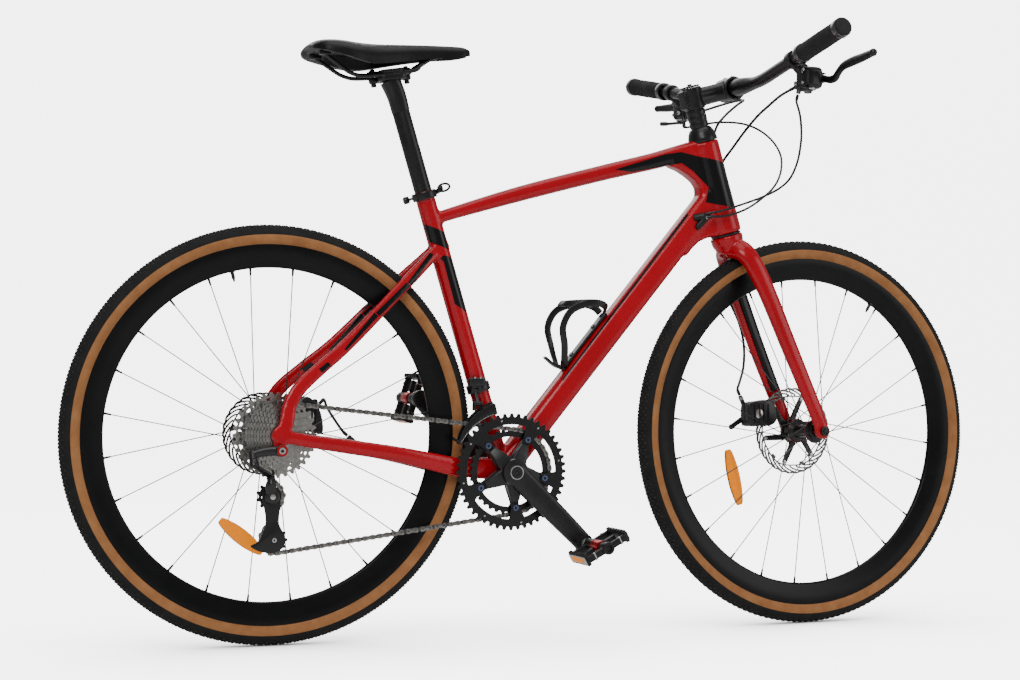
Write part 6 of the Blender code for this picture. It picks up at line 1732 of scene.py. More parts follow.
    def cassette(self) -> Surface:
        """Stack of cogs on their sleeve with the lock ring outside.

        Returns:
            The surface.
        """
        parts = [self.cog(index) for index in range(len(self.cogs))]
        last = self.cog_plane(len(self.cogs) - 1)
        sleeve = lathe(eased([(0.0090, last), (0.0155, last), (0.0185, last + 0.010),
                              (0.0225, self.cog_side - 0.006),
                              (0.0240, self.cog_side + 0.0028), (0.0090, self.cog_side + 0.0028)], 0.0005),
                       BIKE.rear_axle, LEFT, 48)
        spacers = []
        for index in range(len(self.cogs) - 1):
            middle = self.cog_plane(index) - self.cog_spacing / 2
            reach = max(pitch_radius(self.cogs[index + 1]) - 0.0125, 0.0145)
            spacers.append(band(BIKE.rear_axle, reach - 0.003, reach, middle - 0.0011, middle + 0.0011))
        steps = 144
        turn = 12 * 2 * np.pi * np.arange(steps) / steps
        notches = 0.0098 + 0.0012 * np.clip(2.5 * np.cos(turn), -1, 1)
        lock = ring_plate(BIKE.rear_axle, notches, np.full(steps, 0.0148), last - 0.0022, last - 0.0008)
        return joined(*parts, sleeve, *spacers, lock)

    def circles(self) -> list:
        """Oriented circles that the chain runs round: centre, pitch radius, turn and plane.

        Returns:
            (centre, radius, turn, plane) rows in the chain's order.
        """
        plane, bracket, axle = self.cog_plane(self.chain_cog), BIKE.bracket, BIKE.rear_axle
        pulley = pitch_radius(self.pulley_teeth)
        return [((bracket[0], bracket[2]), pitch_radius(self.small_teeth), -1, self.small_side),
                (self.tension, pulley, -1, plane), (self.guide, pulley, 1, plane),
                ((axle[0], axle[2]), pitch_radius(self.cogs[self.chain_cog]), -1, plane)]

    def chain_path(self) -> Array:
        """Closed path of the chain's pins: arcs on the circles joined by their common tangents.

        Returns:
            Array of points.
        """
        circles = self.circles()

        def tangent(first: tuple, second: tuple) -> float:
            """Heading of the straight run from one oriented circle to the next.

            Args:
                first: row of the circle that is left.
                second: row of the circle that is reached.

            Returns:
                The angle in radians.
            """
            across = np.subtract(second[0], first[0])
            bend = (second[2] * second[1] - first[2] * first[1]) / np.hypot(*across)
            return math.atan2(across[1], across[0]) - math.asin(bend)

        rows = []
        for index, circle in enumerate(circles):
            centre, radius, turn, side = circle
            arrive = tangent(circles[index - 1], circle)
            leave = tangent(circle, circles[(index + 1) % len(circles)])
            swept = (turn * (leave - arrive)) % (2 * math.pi)
            way = arrive + turn * swept * np.linspace(0.0, 1.0, max(2, round(swept / 0.03)) + 1)
            rows.append(np.stack([centre[0] + turn * radius * np.sin(way), np.full_like(way, side),
                                  centre[1] - turn * radius * np.cos(way)], -1))
        return np.vstack(rows)

    def chain(self) -> Surface:
        """Links along the path: inner and outer plates in turn, and a roller on every pin.

        Returns:
            The surface; finish 0 is the outer plates and 1 the rest.
        """
        path = self.chain_path()
        path = np.vstack([path, path[:1]])
        travelled = np.concatenate([[0.0], np.cumsum(np.linalg.norm(np.diff(path, axis=0), axis=1))])
        links = 2 * round(travelled[-1] / (2 * CHAIN_PITCH))
        wanted = travelled[-1] * np.arange(links + 1) / links
        pins = np.stack([np.interp(wanted, travelled, column) for column in path.T], -1)
        ahead = np.diff(pins, axis=0)
        pitch = float(np.linalg.norm(ahead, axis=1).mean())
        ahead /= np.linalg.norm(ahead, axis=1, keepdims=True)
        side = LEFT - (ahead @ LEFT)[:, None] * ahead
        side /= np.linalg.norm(side, axis=1, keepdims=True)
        turns = np.stack([ahead, side, np.cross(ahead, side)], -1)
        angle = 2 * np.pi * np.arange(24) / 24
        waist = 0.0041 - 0.0011 * np.exp(-((pitch / 2 * np.cos(angle)) / 0.0024) ** 2)
        outline = np.stack([pitch / 2 + (pitch / 2 + 0.0041) * np.cos(angle), waist * np.sin(angle)
                            / np.maximum(np.abs(np.sin(angle)), 0.30)], -1)
        parts = []
        for kind, (low, high) in enumerate(((0.00125, 0.00205), (0.00215, 0.00290))):
            for hand in (-1, 1):
                near, far = sorted((hand * low, hand * high))
                plate = prism(outline, near, far, 0.0002).dressed(1 - kind)
                parts.append(plate.copies(turns[kind::2], pins[:-1][kind::2]))
        roller = disc(np.zeros(3), 0.0037, -0.00118, 0.00118, LEFT, 12, 0.0002)
        rivet = disc(np.zeros(3), 0.0016, -0.0032, 0.0032, LEFT, 10, 0.0002)
        parts += [roller.copies(turns, pins[:-1]).dressed(1), rivet.copies(turns, pins[:-1]).dressed(1)]
        return joined(*parts)

    def pulley(self, centre: tuple) -> Surface:
        """Jockey wheel with six windows and a bushed hub.

        Args:
            centre: (x, z) of its axis.

        Returns:
            The closed surface, its hub with the second finish.
        """
        plane = self.cog_plane(self.chain_cog)
        middle = np.array([centre[0], 0.0, centre[1]])
        tip, root = pitch_radius(self.pulley_teeth) + 0.0005, pitch_radius(self.pulley_teeth) - 0.0040
        radii = [0.0032, 0.0062, root - 0.0042, root, tip]

        def keep(row: Array, column: Array) -> Array:
            """Windows in the second ring of cells."""
            return ~((row == 1) & (column % 22 < 13))

        def wave(distance: Array, turn: Array) -> Array:
            """The outermost circle follows the teeth."""
            shape = np.clip(0.35 + 1.1 * np.cos(self.pulley_teeth * turn), 0.0, 1.0)
            return np.where(distance > root + 1e-6, root + 0.0002 + (tip - root) * shape, distance)

        wheel = pierced(middle, radii, 132, keep, plane - 0.0012, plane + 0.0012, wave)
        hub = band(middle, 0.0031, 0.0058, plane - 0.0026, plane + 0.0026, LEFT, 24).dressed(1)
        return joined(wheel, hub)

    def make(self) -> None:
        """Builds every piece of the drive."""
        right = joined(self.arm(-1, self.crank_angle), self.spider())
        build("crank_right_forging", right, [GREY_ALLOY, BRIGHT], "crank", "black_parts", ["crank_right"])
        left = joined(self.arm(1, self.crank_angle + 180.0),
                      disc(BIKE.bracket, 0.0200, 0.0420, 0.0740, LEFT, 40,
                      0.002), disc(BIKE.bracket, 0.0110, 0.0735, 0.0752, LEFT, 24, 0.0006).dressed(1))
        build("crank_left_forging", left, [GREY_ALLOY, BRIGHT], "crank", "black_parts", ["crank_left"])
        big = pitch_radius(self.big_teeth)
        outer = joined(self.chainring(self.big_teeth, self.big_side, big + 0.0030, big - 0.0030, 0.081),
                       self.small_details().dressed(1))
        build("chainring_outer_teeth", outer, [SATIN_BLACK, BRIGHT], "crank", "black_parts",
              ["chainring_outer"])
        small = pitch_radius(self.small_teeth)
        build("chainring_inner_teeth", self.chainring(self.small_teeth, self.small_side, small + 0.0004,
              small - 0.0036, 0.0600), [SATIN_BLACK], "crank", "black_parts", ["chainring_inner"])
        build("chainring_bolts", self.ring_bolts(), [BLUE_STEEL], "crank", "black_parts", ["crank_right"])
        cups = [lathe(eased([(0.0124, 0.0343), (0.0205, 0.0343), (0.0205, 0.0400), (0.0160, 0.0412),
                             (0.0124, 0.0412)], 0.0006), BIKE.bracket, LEFT * hand, 48) for hand in (-1, 1)]
        build("bracket_cups", joined(*cups), [SATIN_BLACK], "frame", "black_parts", ["bottom_bracket"])
        for name, hand, angle, tilt in (("right", -1, self.crank_angle, 29.0),
                                        ("left", 1, self.crank_angle + 180.0, 72.0)):
            build("pedal_%s_platform" % name, self.pedal(hand, angle, tilt), [PLASTIC, BRIGHT, AMBER,
                  RED_ACCENT], "pedal_" + name,
                  "pulley_plastic", ["pedal_" + name])
        build("cassette_cogs", self.cassette(), [COG_STEEL], "cassette", "bright_steel", ["cassette"])
        build("chain_links", self.chain(), [CHAIN_STEEL, CHAIN_DARK], "frame", "bright_steel", ["chain"])
        build("guide_pulley_wheel", self.pulley(self.guide), [PLASTIC, BRIGHT], "guide_pulley",
              "pulley_plastic", ["guide_pulley"])
        build("tension_pulley_wheel", self.pulley(self.tension), [GREY_ALLOY, RED_ACCENT], "tension_pulley",
              "pulley_plastic", ["tension_pulley"])


# Derailleurs

@dataclass
class Derailleurs:
    """Rear derailleur on the hanger and front derailleur on the seat tube."""

    drive: Drive
    slant: float = 30.0
    link_length: float = 0.054
    link_turn: float = 47.7
    outside: float = 0.0783
    outer_pivot: tuple = (-0.552, -0.085, 0.306)
    front_outer: tuple = (-0.1520, -0.0270, 0.4230)
    front_cage: tuple = (-0.1520, -0.0405, 0.4020)
    cage_plate: float = 0.0015

    def rear_axes(self) -> tuple[Array, Array, Array]:
        """Direction of the slanted pivots, and the outer and inner pivots' middles.

        Returns:
            The direction and both middles.
        """
        lean = math.radians(self.slant)
        above = np.array([0.0, math.sin(lean), math.cos(lean)])
        inward = np.array([0.0, math.cos(lean), -math.sin(lean)])
        turn = math.radians(self.link_turn)
        outer = np.array(self.outer_pivot)
        return above, outer, outer + self.link_length * (FORWARD * math.cos(turn) + inward * math.sin(turn))

    def knuckle(self) -> Surface:
        """Barrel on the hanger bolt, the arm to the outer pivot, and the pivot's post.

        Returns:
            The crossing surfaces as one.
        """
        above, outer, _ = self.rear_axes()
        bolt = np.array([HANGER_BOLT[0], 0.0, HANGER_BOLT[1]])
        barrel = disc(bolt, 0.0098, -self.outside - 0.0150, -self.outside, LEFT, 40, 0.0012)
        arm = sweep([(bolt - LEFT * (self.outside + 0.0080), 0.0122, 0.0155),
                     (bolt * 0.45 + (outer + above * 0.0170) * 0.55
                      - LEFT * (self.outside + 0.0080) * 0.45 + UP * 0.0020, 0.0124, 0.0150),
                     (outer + above * 0.0170, 0.0120, 0.0130)], 24, 2.8, LEFT, 16, 0.002)
        post = disc(outer, 0.0070, 0.0063, 0.0215, above, 28, 0.0010)
        return joined(barrel, arm, post)

    def knuckle_trim(self) -> Surface:
        """Hanger bolt with its red ring, limit screws and the pivot's cap.

        Returns:
            The surface; finish 0 is red and 1 bright.
        """
        above, outer, _ = self.rear_axes()
        bolt = np.array([HANGER_BOLT[0], 0.0, HANGER_BOLT[1]])
        face = -self.outside - 0.0150
        ring = band(bolt, 0.0058, 0.0090, face - 0.0012, face + 0.0002, LEFT, 36).dressed(0)
        head = lathe(eased([(0.0026, face - 0.0016), (0.0056, face - 0.0016), (0.0056, face + 0.001),
                            (0.0026, face + 0.001)], 0.0004), bolt, LEFT, 30).dressed(1)
        cap = disc(outer, 0.0040, 0.0214, 0.0226, above, 20, 0.0004).dressed(1)
        screws = [rod(outer + FORWARD * 0.0115 + above * 0.0150 + LEFT * step - FORWARD * 0.004,
                      outer + FORWARD * 0.0190 + above * 0.0150 + LEFT * step, 0.0019, None, 12,
                      0.0003).dressed(1)
                  for step in (-0.0028, 0.0028)]
        return joined(ring, head, cap, *screws)

    def link(self) -> Surface:
        """Slanted parallelogram link with its two bosses and a raised rib.

        Returns:
            The surface; finish 1 is the rib.
        """
        above, outer, inner = self.rear_axes()
        half = 0.0059
        across = unit(np.cross(above, inner - outer))
        bar = sweep([(outer, 0.0130, 2 * half), (outer * 0.5 + inner * 0.5, 0.0118, 2 * half - 0.0016),
                     (inner, 0.0130, 2 * half)], 24, 3.6, across, 18)
        bosses = [disc(pivot, 0.0073, -half, half, above, 32, 0.0008) for pivot in (outer, inner)]
        face = -across if across[1] > 0 else across
        rib = sweep([(outer * (1 - share) + inner * share + face * 0.0062, 0.0016, 0.0056)
                     for share in (0.14, 0.86)], 16, 4.0, across, 8, 0.0005)
        return joined(bar, *bosses, rib.dressed(1))

    def body(self) -> Surface:
        """Lower knuckle: column on the inner pivot, arm and the cage's spring barrel.

        Returns:
            The surface; finish 1 is the cap.
        """
        above, _, inner = self.rear_axes()
        guide = np.array([self.drive.guide[0], 0.0, self.drive.guide[1]])
        plate = self.drive.cog_plane(self.drive.chain_cog) - 0.0034 - self.cage_plate
        barrel = lathe(eased([(0, plate - 0.0160), (0.0104, plate - 0.0160), (0.0122, plate - 0.0130),
                              (0.0122, plate - 0.0003), (0, plate - 0.0003)], 0.0009), guide, LEFT, 44)
        column = disc(inner, 0.0071, -0.0200, -0.0063, above, 32, 0.0010)
        low = np.array([guide[0], plate - 0.0090, guide[2] + 0.004])
        arm = sweep([(inner - above * 0.0130, 0.0128, 0.0160), ((inner - above * 0.0130) * 0.5 + low * 0.5
                     - FORWARD * 0.002, 0.0132, 0.0172), (low, 0.0140, 0.0200)], 24, 2.8, LEFT, 16, 0.002)
        cap = disc(guide, 0.0046, plate - 0.0172, plate - 0.0158, LEFT, 24, 0.0005).dressed(1)
        return joined(barrel, column, arm, cap)

    def cage(self) -> Surface:
        """Both cage plates with rolled rims, and the pulleys' axles and bolts.

        Returns:
            The surface; finish 1 is the bolts.
        """
        plane = self.drive.cog_plane(self.drive.chain_cog)
        outer = plane - 0.0034 - self.cage_plate
        shape = ((-0.526, 0.262), (-0.513, 0.267), (-0.500, 0.260), (-0.496, 0.240), (-0.4975, 0.222),
                 (-0.498, 0.205), (-0.491, 0.190), (-0.488, 0.176), (-0.492, 0.164), (-0.507, 0.157),
                 (-0.523, 0.158), (-0.536, 0.162), (-0.546, 0.169), (-0.535, 0.175), (-0.527, 0.184),
                 (-0.522, 0.198), (-0.521, 0.212), (-0.523, 0.228), (-0.527, 0.242))
        inside = ((-0.522, 0.258), (-0.513, 0.262), (-0.504, 0.258), (-0.501, 0.240), (-0.498, 0.214),
                  (-0.496, 0.190), (-0.496, 0.172), (-0.506, 0.166), (-0.516, 0.172), (-0.517, 0.190),
                  (-0.519, 0.214), (-0.522, 0.240))
        parts = [self.rounded(shape, outer, outer + self.cage_plate),
                 self.rounded(inside, plane + 0.0034, plane + 0.0034 + self.cage_plate)]
        for x, z in (self.drive.guide, self.drive.tension):
            spot = np.array([x, 0.0, z])
            parts.append(disc(spot, 0.0030, outer + 0.0003, plane + 0.0048, LEFT, 20))
            parts.append(lathe(eased([(0.0016, outer - 0.0010), (0.0040, outer - 0.0010),
                                      (0.0040, outer + 0.001),
                                      (0.0016, outer + 0.001)], 0.0004), spot, LEFT, 20).dressed(1))
        return joined(*parts)

    @staticmethod
    def rounded(outline: Sequence, low: float, high: float, edge: float = 0.0004) -> Surface:
        """Plate whose outline is a smooth closed curve through the given points."""
        rows = flow([(x, 0.0, z) for x, z in outline], 6 * len(outline), True)
        return prism(rows[:, [0, 2]], low, high, edge)

    def front_body(self) -> Surface:
        """Clamp band, housing with its pivot ears, and the clamp's bolt.

        Returns:
            The surface; finish 1 is the bolt and screws.
        """
        spot = np.array(self.front_outer)
        clamp = lathe(eased([(0.0172, 0.143), (0.0204, 0.143), (0.0204, 0.157), (0.0172, 0.157)], 0.0007),
                      BIKE.bracket, BIKE.seat_axis, 48)
        housing = block(spot + [0.0040, 0.0025, 0.0155], (0.0300, 0.0100, 0.0150), 0.0025, None, 5.0, 28)
        bridge = block(spot + [0.0, 0.0015, 0.0080], (0.0168, 0.0088, 0.0060), 0.0010)
        ears = [block(spot + [hand * 0.0060, 0.0, 0.0030], (0.0050, 0.0092, 0.0152),
                      0.0012) for hand in (-1, 1)]
        lug = block(BIKE.seat(0.150, 0.0, 0.0225), (0.010, 0.008, 0.0125), 0.0015)
        bolt = rod(BIKE.seat(0.150, -0.008, 0.0225), BIKE.seat(0.150, 0.010, 0.0225), 0.0026).dressed(1)
        screws = [rod(spot + [0.004 + step, -0.0010, 0.0215], spot + [0.004 + step, -0.0010, 0.0245],
                      0.0020, None, 14, 0.0003).dressed(1) for step in (-0.005, 0.005)]
        return joined(clamp, housing, bridge, *ears, lug, bolt, *screws)

    def front_link(self) -> Surface:
        """Short link between the housing and the cage.

        Returns:
            The surface.
        """
        first, last = np.array(self.front_outer), np.array(self.front_cage)
        bar = sweep([(first, 0.0064, 0.0050), (first * 0.5 + last * 0.5, 0.0060, 0.0042),
                     (last, 0.0064, 0.0050)], 16, 4.0, FORWARD, 10)
        knobs = [disc(pivot, 0.0042, -0.0032, 0.0032, FORWARD, 24) for pivot in (first, last)]
        return joined(bar, *knobs)

    def arc(self, inner: float, outer: float, first: float, last: float, steps: int) -> Array:
        """Outline of part of a flat ring about the bottom bracket.

        Args:
            inner: inner radius.
            outer: outer radius.
            first: first angle in degrees.
            last: last angle in degrees.
            steps: steps along each arc.

        Returns:
            Array of (x, z) points.
        """
        angles = np.radians(np.linspace(first, last, steps + 1))
        spots = [BIKE.bracket[[0, 2]] + radius * np.stack([np.cos(way), np.sin(way)], -1)
                 for radius, way in ((outer, angles), (inner, angles[::-1]))]
        return np.vstack(spots)

    def blade(self, depth: float) -> Array:
        """Outline of a cage plate: an arc whose depth swells towards its front and thins to its tail.

        Args:
            depth: depth of the plate at its front.

        Returns:
            Array of (x, z) points.
        """
        share = np.linspace(0, 1, 29)
        angles = np.radians(104.0 + 49.0 * share)
        outer = 0.1020 + 0.0045 + (depth - 0.0045) * (1 - share ** 1.5) ** 0.8
        spots = [BIKE.bracket[[0, 2]] + radius[:, None] * np.stack([np.cos(way), np.sin(way)], -1)
                 for radius, way in ((outer, angles), (np.full(29, 0.1020), angles[::-1]))]
        return np.vstack(spots)

    def front_cage_plates(self) -> Surface:
        """Outer and inner cage plates about the chain, joined at the top and at the tail.

        Returns:
            The surface; finish 1 is the bright strip along the outer plate's inner edge.
        """
        side = self.drive.small_side
        low, far = side - 0.0026 - 0.0035, side + 0.0026 + 0.0020
        thick = self.cage_plate
        parts = [prism(self.blade(0.0185), low, low + thick, 0.0004),
                 prism(self.blade(0.0220), far, far + thick, 0.0004),
                 prism(self.arc(0.1180, 0.1215, 105.0, 116.0, 6), low + 0.0003, far + thick - 0.0003, 0.0006),
                 prism(self.arc(0.1040, 0.1200, 150.0, 152.0, 2), low + 0.0003, far + thick - 0.0003, 0.0006),
                 prism(self.arc(0.1032, 0.1040, 108.0, 151.0, 20), low - 0.0007, low + 0.0003,
                       0.0002).dressed(1)]
        cage = np.array(self.front_cage)
        for start in (-0.0080, 0.0035):
            parts.append(disc(cage, 0.0042, start, start + 0.0045, FORWARD, 24))
            parts.append(block(cage + [start + 0.00225, 0.0035, -0.0060], (0.0043, 0.0080, 0.0120), 0.0008))
        return joined(*parts)

    def make(self) -> None:
        """Builds both derailleurs."""
        skin = build("rear_knuckle", self.knuckle(), [CAST_BLACK], "frame", "black_parts",
                     ["rear_derailleur_knuckle"])
        melt(skin, voxel=0.0008, smoothing=4)
        build("rear_knuckle_trim", self.knuckle_trim(), [RED_ACCENT, BRIGHT], "frame", "black_parts", [])
        build("rear_link", self.link(), [CAST_BLACK, BRIGHT], "rear_derailleur_link", "black_parts",
              ["rear_derailleur_link"])
        build("rear_body", self.body(), [CAST_BLACK, BRIGHT], "rear_derailleur_body", "black_parts",
              ["rear_derailleur_body"])
        build("rear_cage", self.cage(), [SATIN_BLACK, BRIGHT], "rear_derailleur_cage", "black_parts",
              ["rear_derailleur_cage"])
        build("front_body", self.front_body(), [CAST_BLACK, BRIGHT], "frame", "black_parts",
              ["front_derailleur_body"])
        build("front_link", self.front_link(), [CAST_BLACK], "front_derailleur_link", "black_parts",
              ["front_derailleur_link"])
        build("front_cage_plates", self.front_cage_plates(), [SATIN_BLACK, BRIGHT], "front_derailleur_cage",
              "black_parts", ["front_derailleur_cage"])


# Cockpit

@dataclass
class Cockpit:
    """Headset, stem, bar, grips and controls."""

    cover_top: float = 0.200
    stem_foot: float = 0.2336
    stem_top: float = 0.2736
    stem_length: float = 0.080
    bar_half: float = 0.358
    bend_start: float = 0.075
    bend_end: float = 0.130
    slope: float = 0.2165
    clamp_radius: float = 0.0159
    bar_radius: float = 0.0111
    grip_start: float = 0.232
    grip_radius: float = 0.0155
    collar_radius: float = 0.0170
    clamp_side: float = 0.208
    pod: tuple = (0.3770, 0.2120, 0.9620)
    pod_size: tuple = (0.038, 0.040, 0.038)
    lever_pivot: tuple = (0.4000, 0.2170, 0.9640)
    lever: tuple = (
        ((0.4000, 0.2170, 0.9640), 0.010, 0.011), ((0.4035, 0.2340, 0.9585), 0.010, 0.013),
        ((0.4060, 0.2470, 0.9600), 0.010, 0.014), ((0.4075, 0.2560, 0.9690), 0.009, 0.013),
        ((0.4080, 0.2690, 0.9770), 0.008, 0.0145), ((0.4080, 0.2950, 0.9810), 0.008, 0.0165),
        ((0.4065, 0.3250, 0.9830), 0.008, 0.0155), ((0.4035, 0.3620, 0.9860), 0.009, 0.0125))
    shift: tuple = (
        ((0.3720, 0.2150, 0.9385), 0.012, 0.005), ((0.3600, 0.2270, 0.9375), 0.011, 0.005),
        ((0.3480, 0.2400, 0.9375), 0.016, 0.006))
    brake_exit: tuple = ((0.3690, 0.1960, 0.9530), (0.3668, 0.1830, 0.9500))
    shift_exit: tuple = ((0.3665, 0.1970, 0.9470), (0.3654, 0.1940, 0.9370))

    @property
    def stem_height(self) -> float:
        """Height of the stem's middle along the steering axis."""
        return (self.stem_foot + self.stem_top) / 2

    def bar_point(self, side: float) -> Array:
        """Centre of the bar at a distance to the left: level in the clamp, then rising outward.

        Args:
            side: distance to the left.

        Returns:
            The point.
        """
        centre = BIKE.head(self.stem_height, self.stem_length)
        reach, span = abs(side), self.bend_end - self.bend_start
        if reach <= self.bend_start:
            rise = 0.0
        elif reach < self.bend_end:
            rise = self.slope * (reach - self.bend_start) ** 2 / (2 * span)
        else:
            rise = self.slope * (reach - self.bend_end + span / 2)
        return np.array([centre[0], side, centre[2] + rise])

    def headset(self) -> None:
        """Bearing ring under the head tube and the conical cover above it."""
        lower = lathe(eased([(0.0150, 0.0004), (0.0272, 0.0004), (0.0276, 0.0032), (0.0150, 0.0032)], 0.0004),
                      BIKE.crown, BIKE.head_axis, 64)
        build("lower_bearing_ring", lower, [GREY_ALLOY], "frame", "bright_steel", ["headset_lower_bearing"])
        foot = BIKE.head_tube + 0.0003
        profile = eased([(0.0150, foot), (0.0268, foot), (0.0262, foot + 0.007), (0.0236, foot + 0.0165),
                         (0.0205, self.cover_top - 0.003), (0.0178, self.cover_top),
                         (0.0150, self.cover_top)], 0.0008)
        cover = lathe(profile, BIKE.crown, BIKE.head_axis, 64)
        seal = band(BIKE.crown, 0.0262, 0.0270, foot + 0.0012, foot + 0.0024, BIKE.head_axis, 64).dressed(1)
        build("headset_cone", joined(cover, seal), [SATIN_BLACK, GREY_ALLOY], "frame", "black_parts",
              ["headset_cover"])

    def stem(self) -> None:
        """Spacers, forged stem with its pinch bolts, faceplate with four bolts, and top cap."""
        spacers = [band(BIKE.crown, 0.0146, 0.0170, start + 0.0001, start + 0.0109, BIKE.head_axis, 48)
                   for start in (0.2003, 0.2113, 0.2223)]
        core = rod(BIKE.head(self.cover_top - 0.003), BIKE.head(self.stem_foot + 0.003), 0.0149, None, 40)
        build("spacer_rings", joined(core, *spacers), [SATIN_BLACK], "steering", "black_parts",
              ["steerer_spacers"], STEERED)
        height, reach = self.stem_height, self.stem_length
        collar = disc(BIKE.crown, 0.0190, self.stem_foot, self.stem_top, BIKE.head_axis, 48, 0.0015)
        arm = sweep([(BIKE.head(height, 0.0), 0.034, 0.036), (BIKE.head(height, 0.020), 0.032, 0.034),
                     (BIKE.head(height, 0.040), 0.031, 0.033), (BIKE.head(height, 0.058), 0.034, 0.034),
                     (BIKE.head(height, reach - 0.004), 0.040, 0.040)], 40, 2.6, LEFT, 40)
        half = prism(self.half_ring(-1), -0.021, 0.021, 0.0015)
        ears = block(BIKE.head(height, -0.0185), (0.0090, 0.024, 0.034), 0.0030,
                     rotation(LEFT, BIKE.head_angle - 90.0), 5.0)
        skin = build("stem_forging", joined(collar, arm, half, ears), [SATIN_BLACK], "steering",
                     "black_parts", ["stem"], STEERED)
        melt(skin, voxel=0.0011, smoothing=6)
        face = prism(self.half_ring(1), -0.0208, 0.0208, 0.0015)
        bosses, bolts = [], []
        ahead = heading(90.0 - BIKE.head_angle)
        for along in (-0.0178, 0.0178):
            for side in (-0.0125, 0.0125):
                spot = BIKE.head(height + along, reach, side)
                bosses.append(rod(spot + ahead * 0.001, spot + ahead * 0.0085, 0.0052, 0.0046, 24, 0.0010))
                bolts.append(self.bolt(spot + ahead * 0.0080, ahead, 0.0034))
        build("stem_face_forging", joined(face, *bosses, *bolts), [SATIN_BLACK, BRIGHT], "steering",
              "black_parts", ["stem_faceplate"], STEERED)
        lid = [(0, 0.0004), (0.0172, 0.0004), (0.0168, 0.0032), (0.0060, 0.0040), (0, 0.0040)]
        cap = lathe(eased(lid, 0.0006), BIKE.head(self.stem_top), BIKE.head_axis, 48)
        pinch = [self.bolt(BIKE.head(height + along, -0.0195, hand * 0.0110), LEFT * hand, 0.0034)
                 for along, hand in ((-0.010, -1), (0.010, 1), (0.010, -1), (-0.010, 1))]
        top = self.bolt(BIKE.head(self.stem_top + 0.0034), BIKE.head_axis, 0.0040)
        build("stem_cap_and_bolts", joined(cap, *pinch, top), [SATIN_BLACK, GREY_ALLOY], "steering",
              "black_parts", [], STEERED)

    def bolt(self, foot: Array, axis: Array, radius: float) -> Surface:
        """Socket-head bolt: a short eased cylinder with a hollow in its face.

        Args:
            foot: middle of its foot.
            axis: direction that its head faces.
            radius: radius of its head.

        Returns:
            The surface, with finish 1.
        """
        high = radius * 0.9
        return lathe(eased([(0, 0), (radius, 0), (radius, high), (radius * 0.55, high),
                            (radius * 0.50, high * 0.4),
                            (0, high * 0.4)], radius * 0.14), foot, axis, 18).dressed(1)

    def half_ring(self, hand: int) -> Array:
        """Outline of half a ring about the bar, ahead of or behind the split.

        Args:
            hand: 1 for the half ahead, -1 for the half behind.

        Returns:
            Array of (x, z) points.
        """
        centre = BIKE.head(self.stem_height, self.stem_length + hand * 0.0006)[[0, 2]]
        way = math.radians(90.0 - BIKE.head_angle) + (0 if hand > 0 else math.pi)
        angle = way + np.radians(np.linspace(-90, 90, 25))
        outer = centre + 0.0212 * np.stack([np.cos(angle), np.sin(angle)], -1)
        inner = centre + 0.0163 * np.stack([np.cos(angle[::-1]), np.sin(angle[::-1])], -1)
        return np.vstack([outer, inner])

    def bar(self) -> None:
        """Tapered bar on its bends, and both ribbed grips with their collars and end caps."""
        sides = np.linspace(-self.bar_half, self.bar_half, 140)
        share = np.clip((np.abs(sides) - 0.032) / 0.063, 0.0, 1.0)
        radius = self.clamp_radius + (self.bar_radius - self.clamp_radius) * share * share * (3 - 2 * share)
        rows = [(self.bar_point(side), 2 * reach, 2 * reach) for side, reach in zip(sides, radius)]
        build("bar_tube", sweep(rows, 40, 2.0, UP, 0, 0.0010), [SATIN_BLACK], "steering", "black_parts",
              ["handlebar"], STEERED)
        for name, hand in (("right", -1), ("left", 1)):
            start, end = (self.bar_point(hand * side) for side in (self.grip_start, self.bar_half + 0.004))
            along, length = unit(end - start), float(np.linalg.norm(end - start))
            reach = np.linspace(0.012, length - 0.016, 150)
            ribs = self.grip_radius - 0.0003 + 0.0006 * np.cos(2 * np.pi * reach / 0.0042)
            swell = 0.0004 * np.sin(np.pi * (reach - reach[0]) / (reach[-1] - reach[0]))
            profile = [(0.0112, 0.0120)] + list(zip(ribs + swell, reach)) + [(0.0112, length - 0.0160)]
            grip = lathe(profile, start, along, 48)
            cap = lathe(eased([(0, length - 0.0165), (0.0156, length - 0.0165), (0.0156, length - 0.0008),
                               (0.0120, length), (0, length)], 0.0010), start, along, 40)
            build("grip_%s_sleeve" % name, joined(grip, cap), [GRIP], "steering", "grip_rubber",
                  ["grip_" + name], STEERED)
            rings = [band(start, 0.0120, self.collar_radius, low, low + 0.0118, along, 40, 0.0008)
                     for low in (0.0, length - 0.0160)]
            bolts = [self.bolt(start + along * (low + 0.006) - UP * 0.0150, -UP, 0.0024)
                     for low in (0.0, length - 0.0160)]
            build("grip_%s_collars" % name, joined(*rings, *bolts), [DARK_CHROME, SATIN_BLACK], "steering",
                  "black_parts", [], STEERED)

    def exit(self, ends: tuple, hand: int) -> Surface:
        """Barrel that a cable enters, with a knurled adjuster ring.

        Args:
            ends: both ends of the left side's barrel.
            hand: 1 for the left side, -1 for the right one.

        Returns:
            The surface.
        """
        start, end = (mirrored(point, hand) for point in ends)
        along = unit(end - start)
        barrel = rod(start, end, 0.0042, 0.0038, 20, 0.0005)
        rings = [band(end - along * step, 0.0030, 0.0047, -0.0005, 0.0005, along, 20, 0.0002)
                 for step in (0.0020, 0.0040, 0.0060)]
        return joined(barrel, *rings)

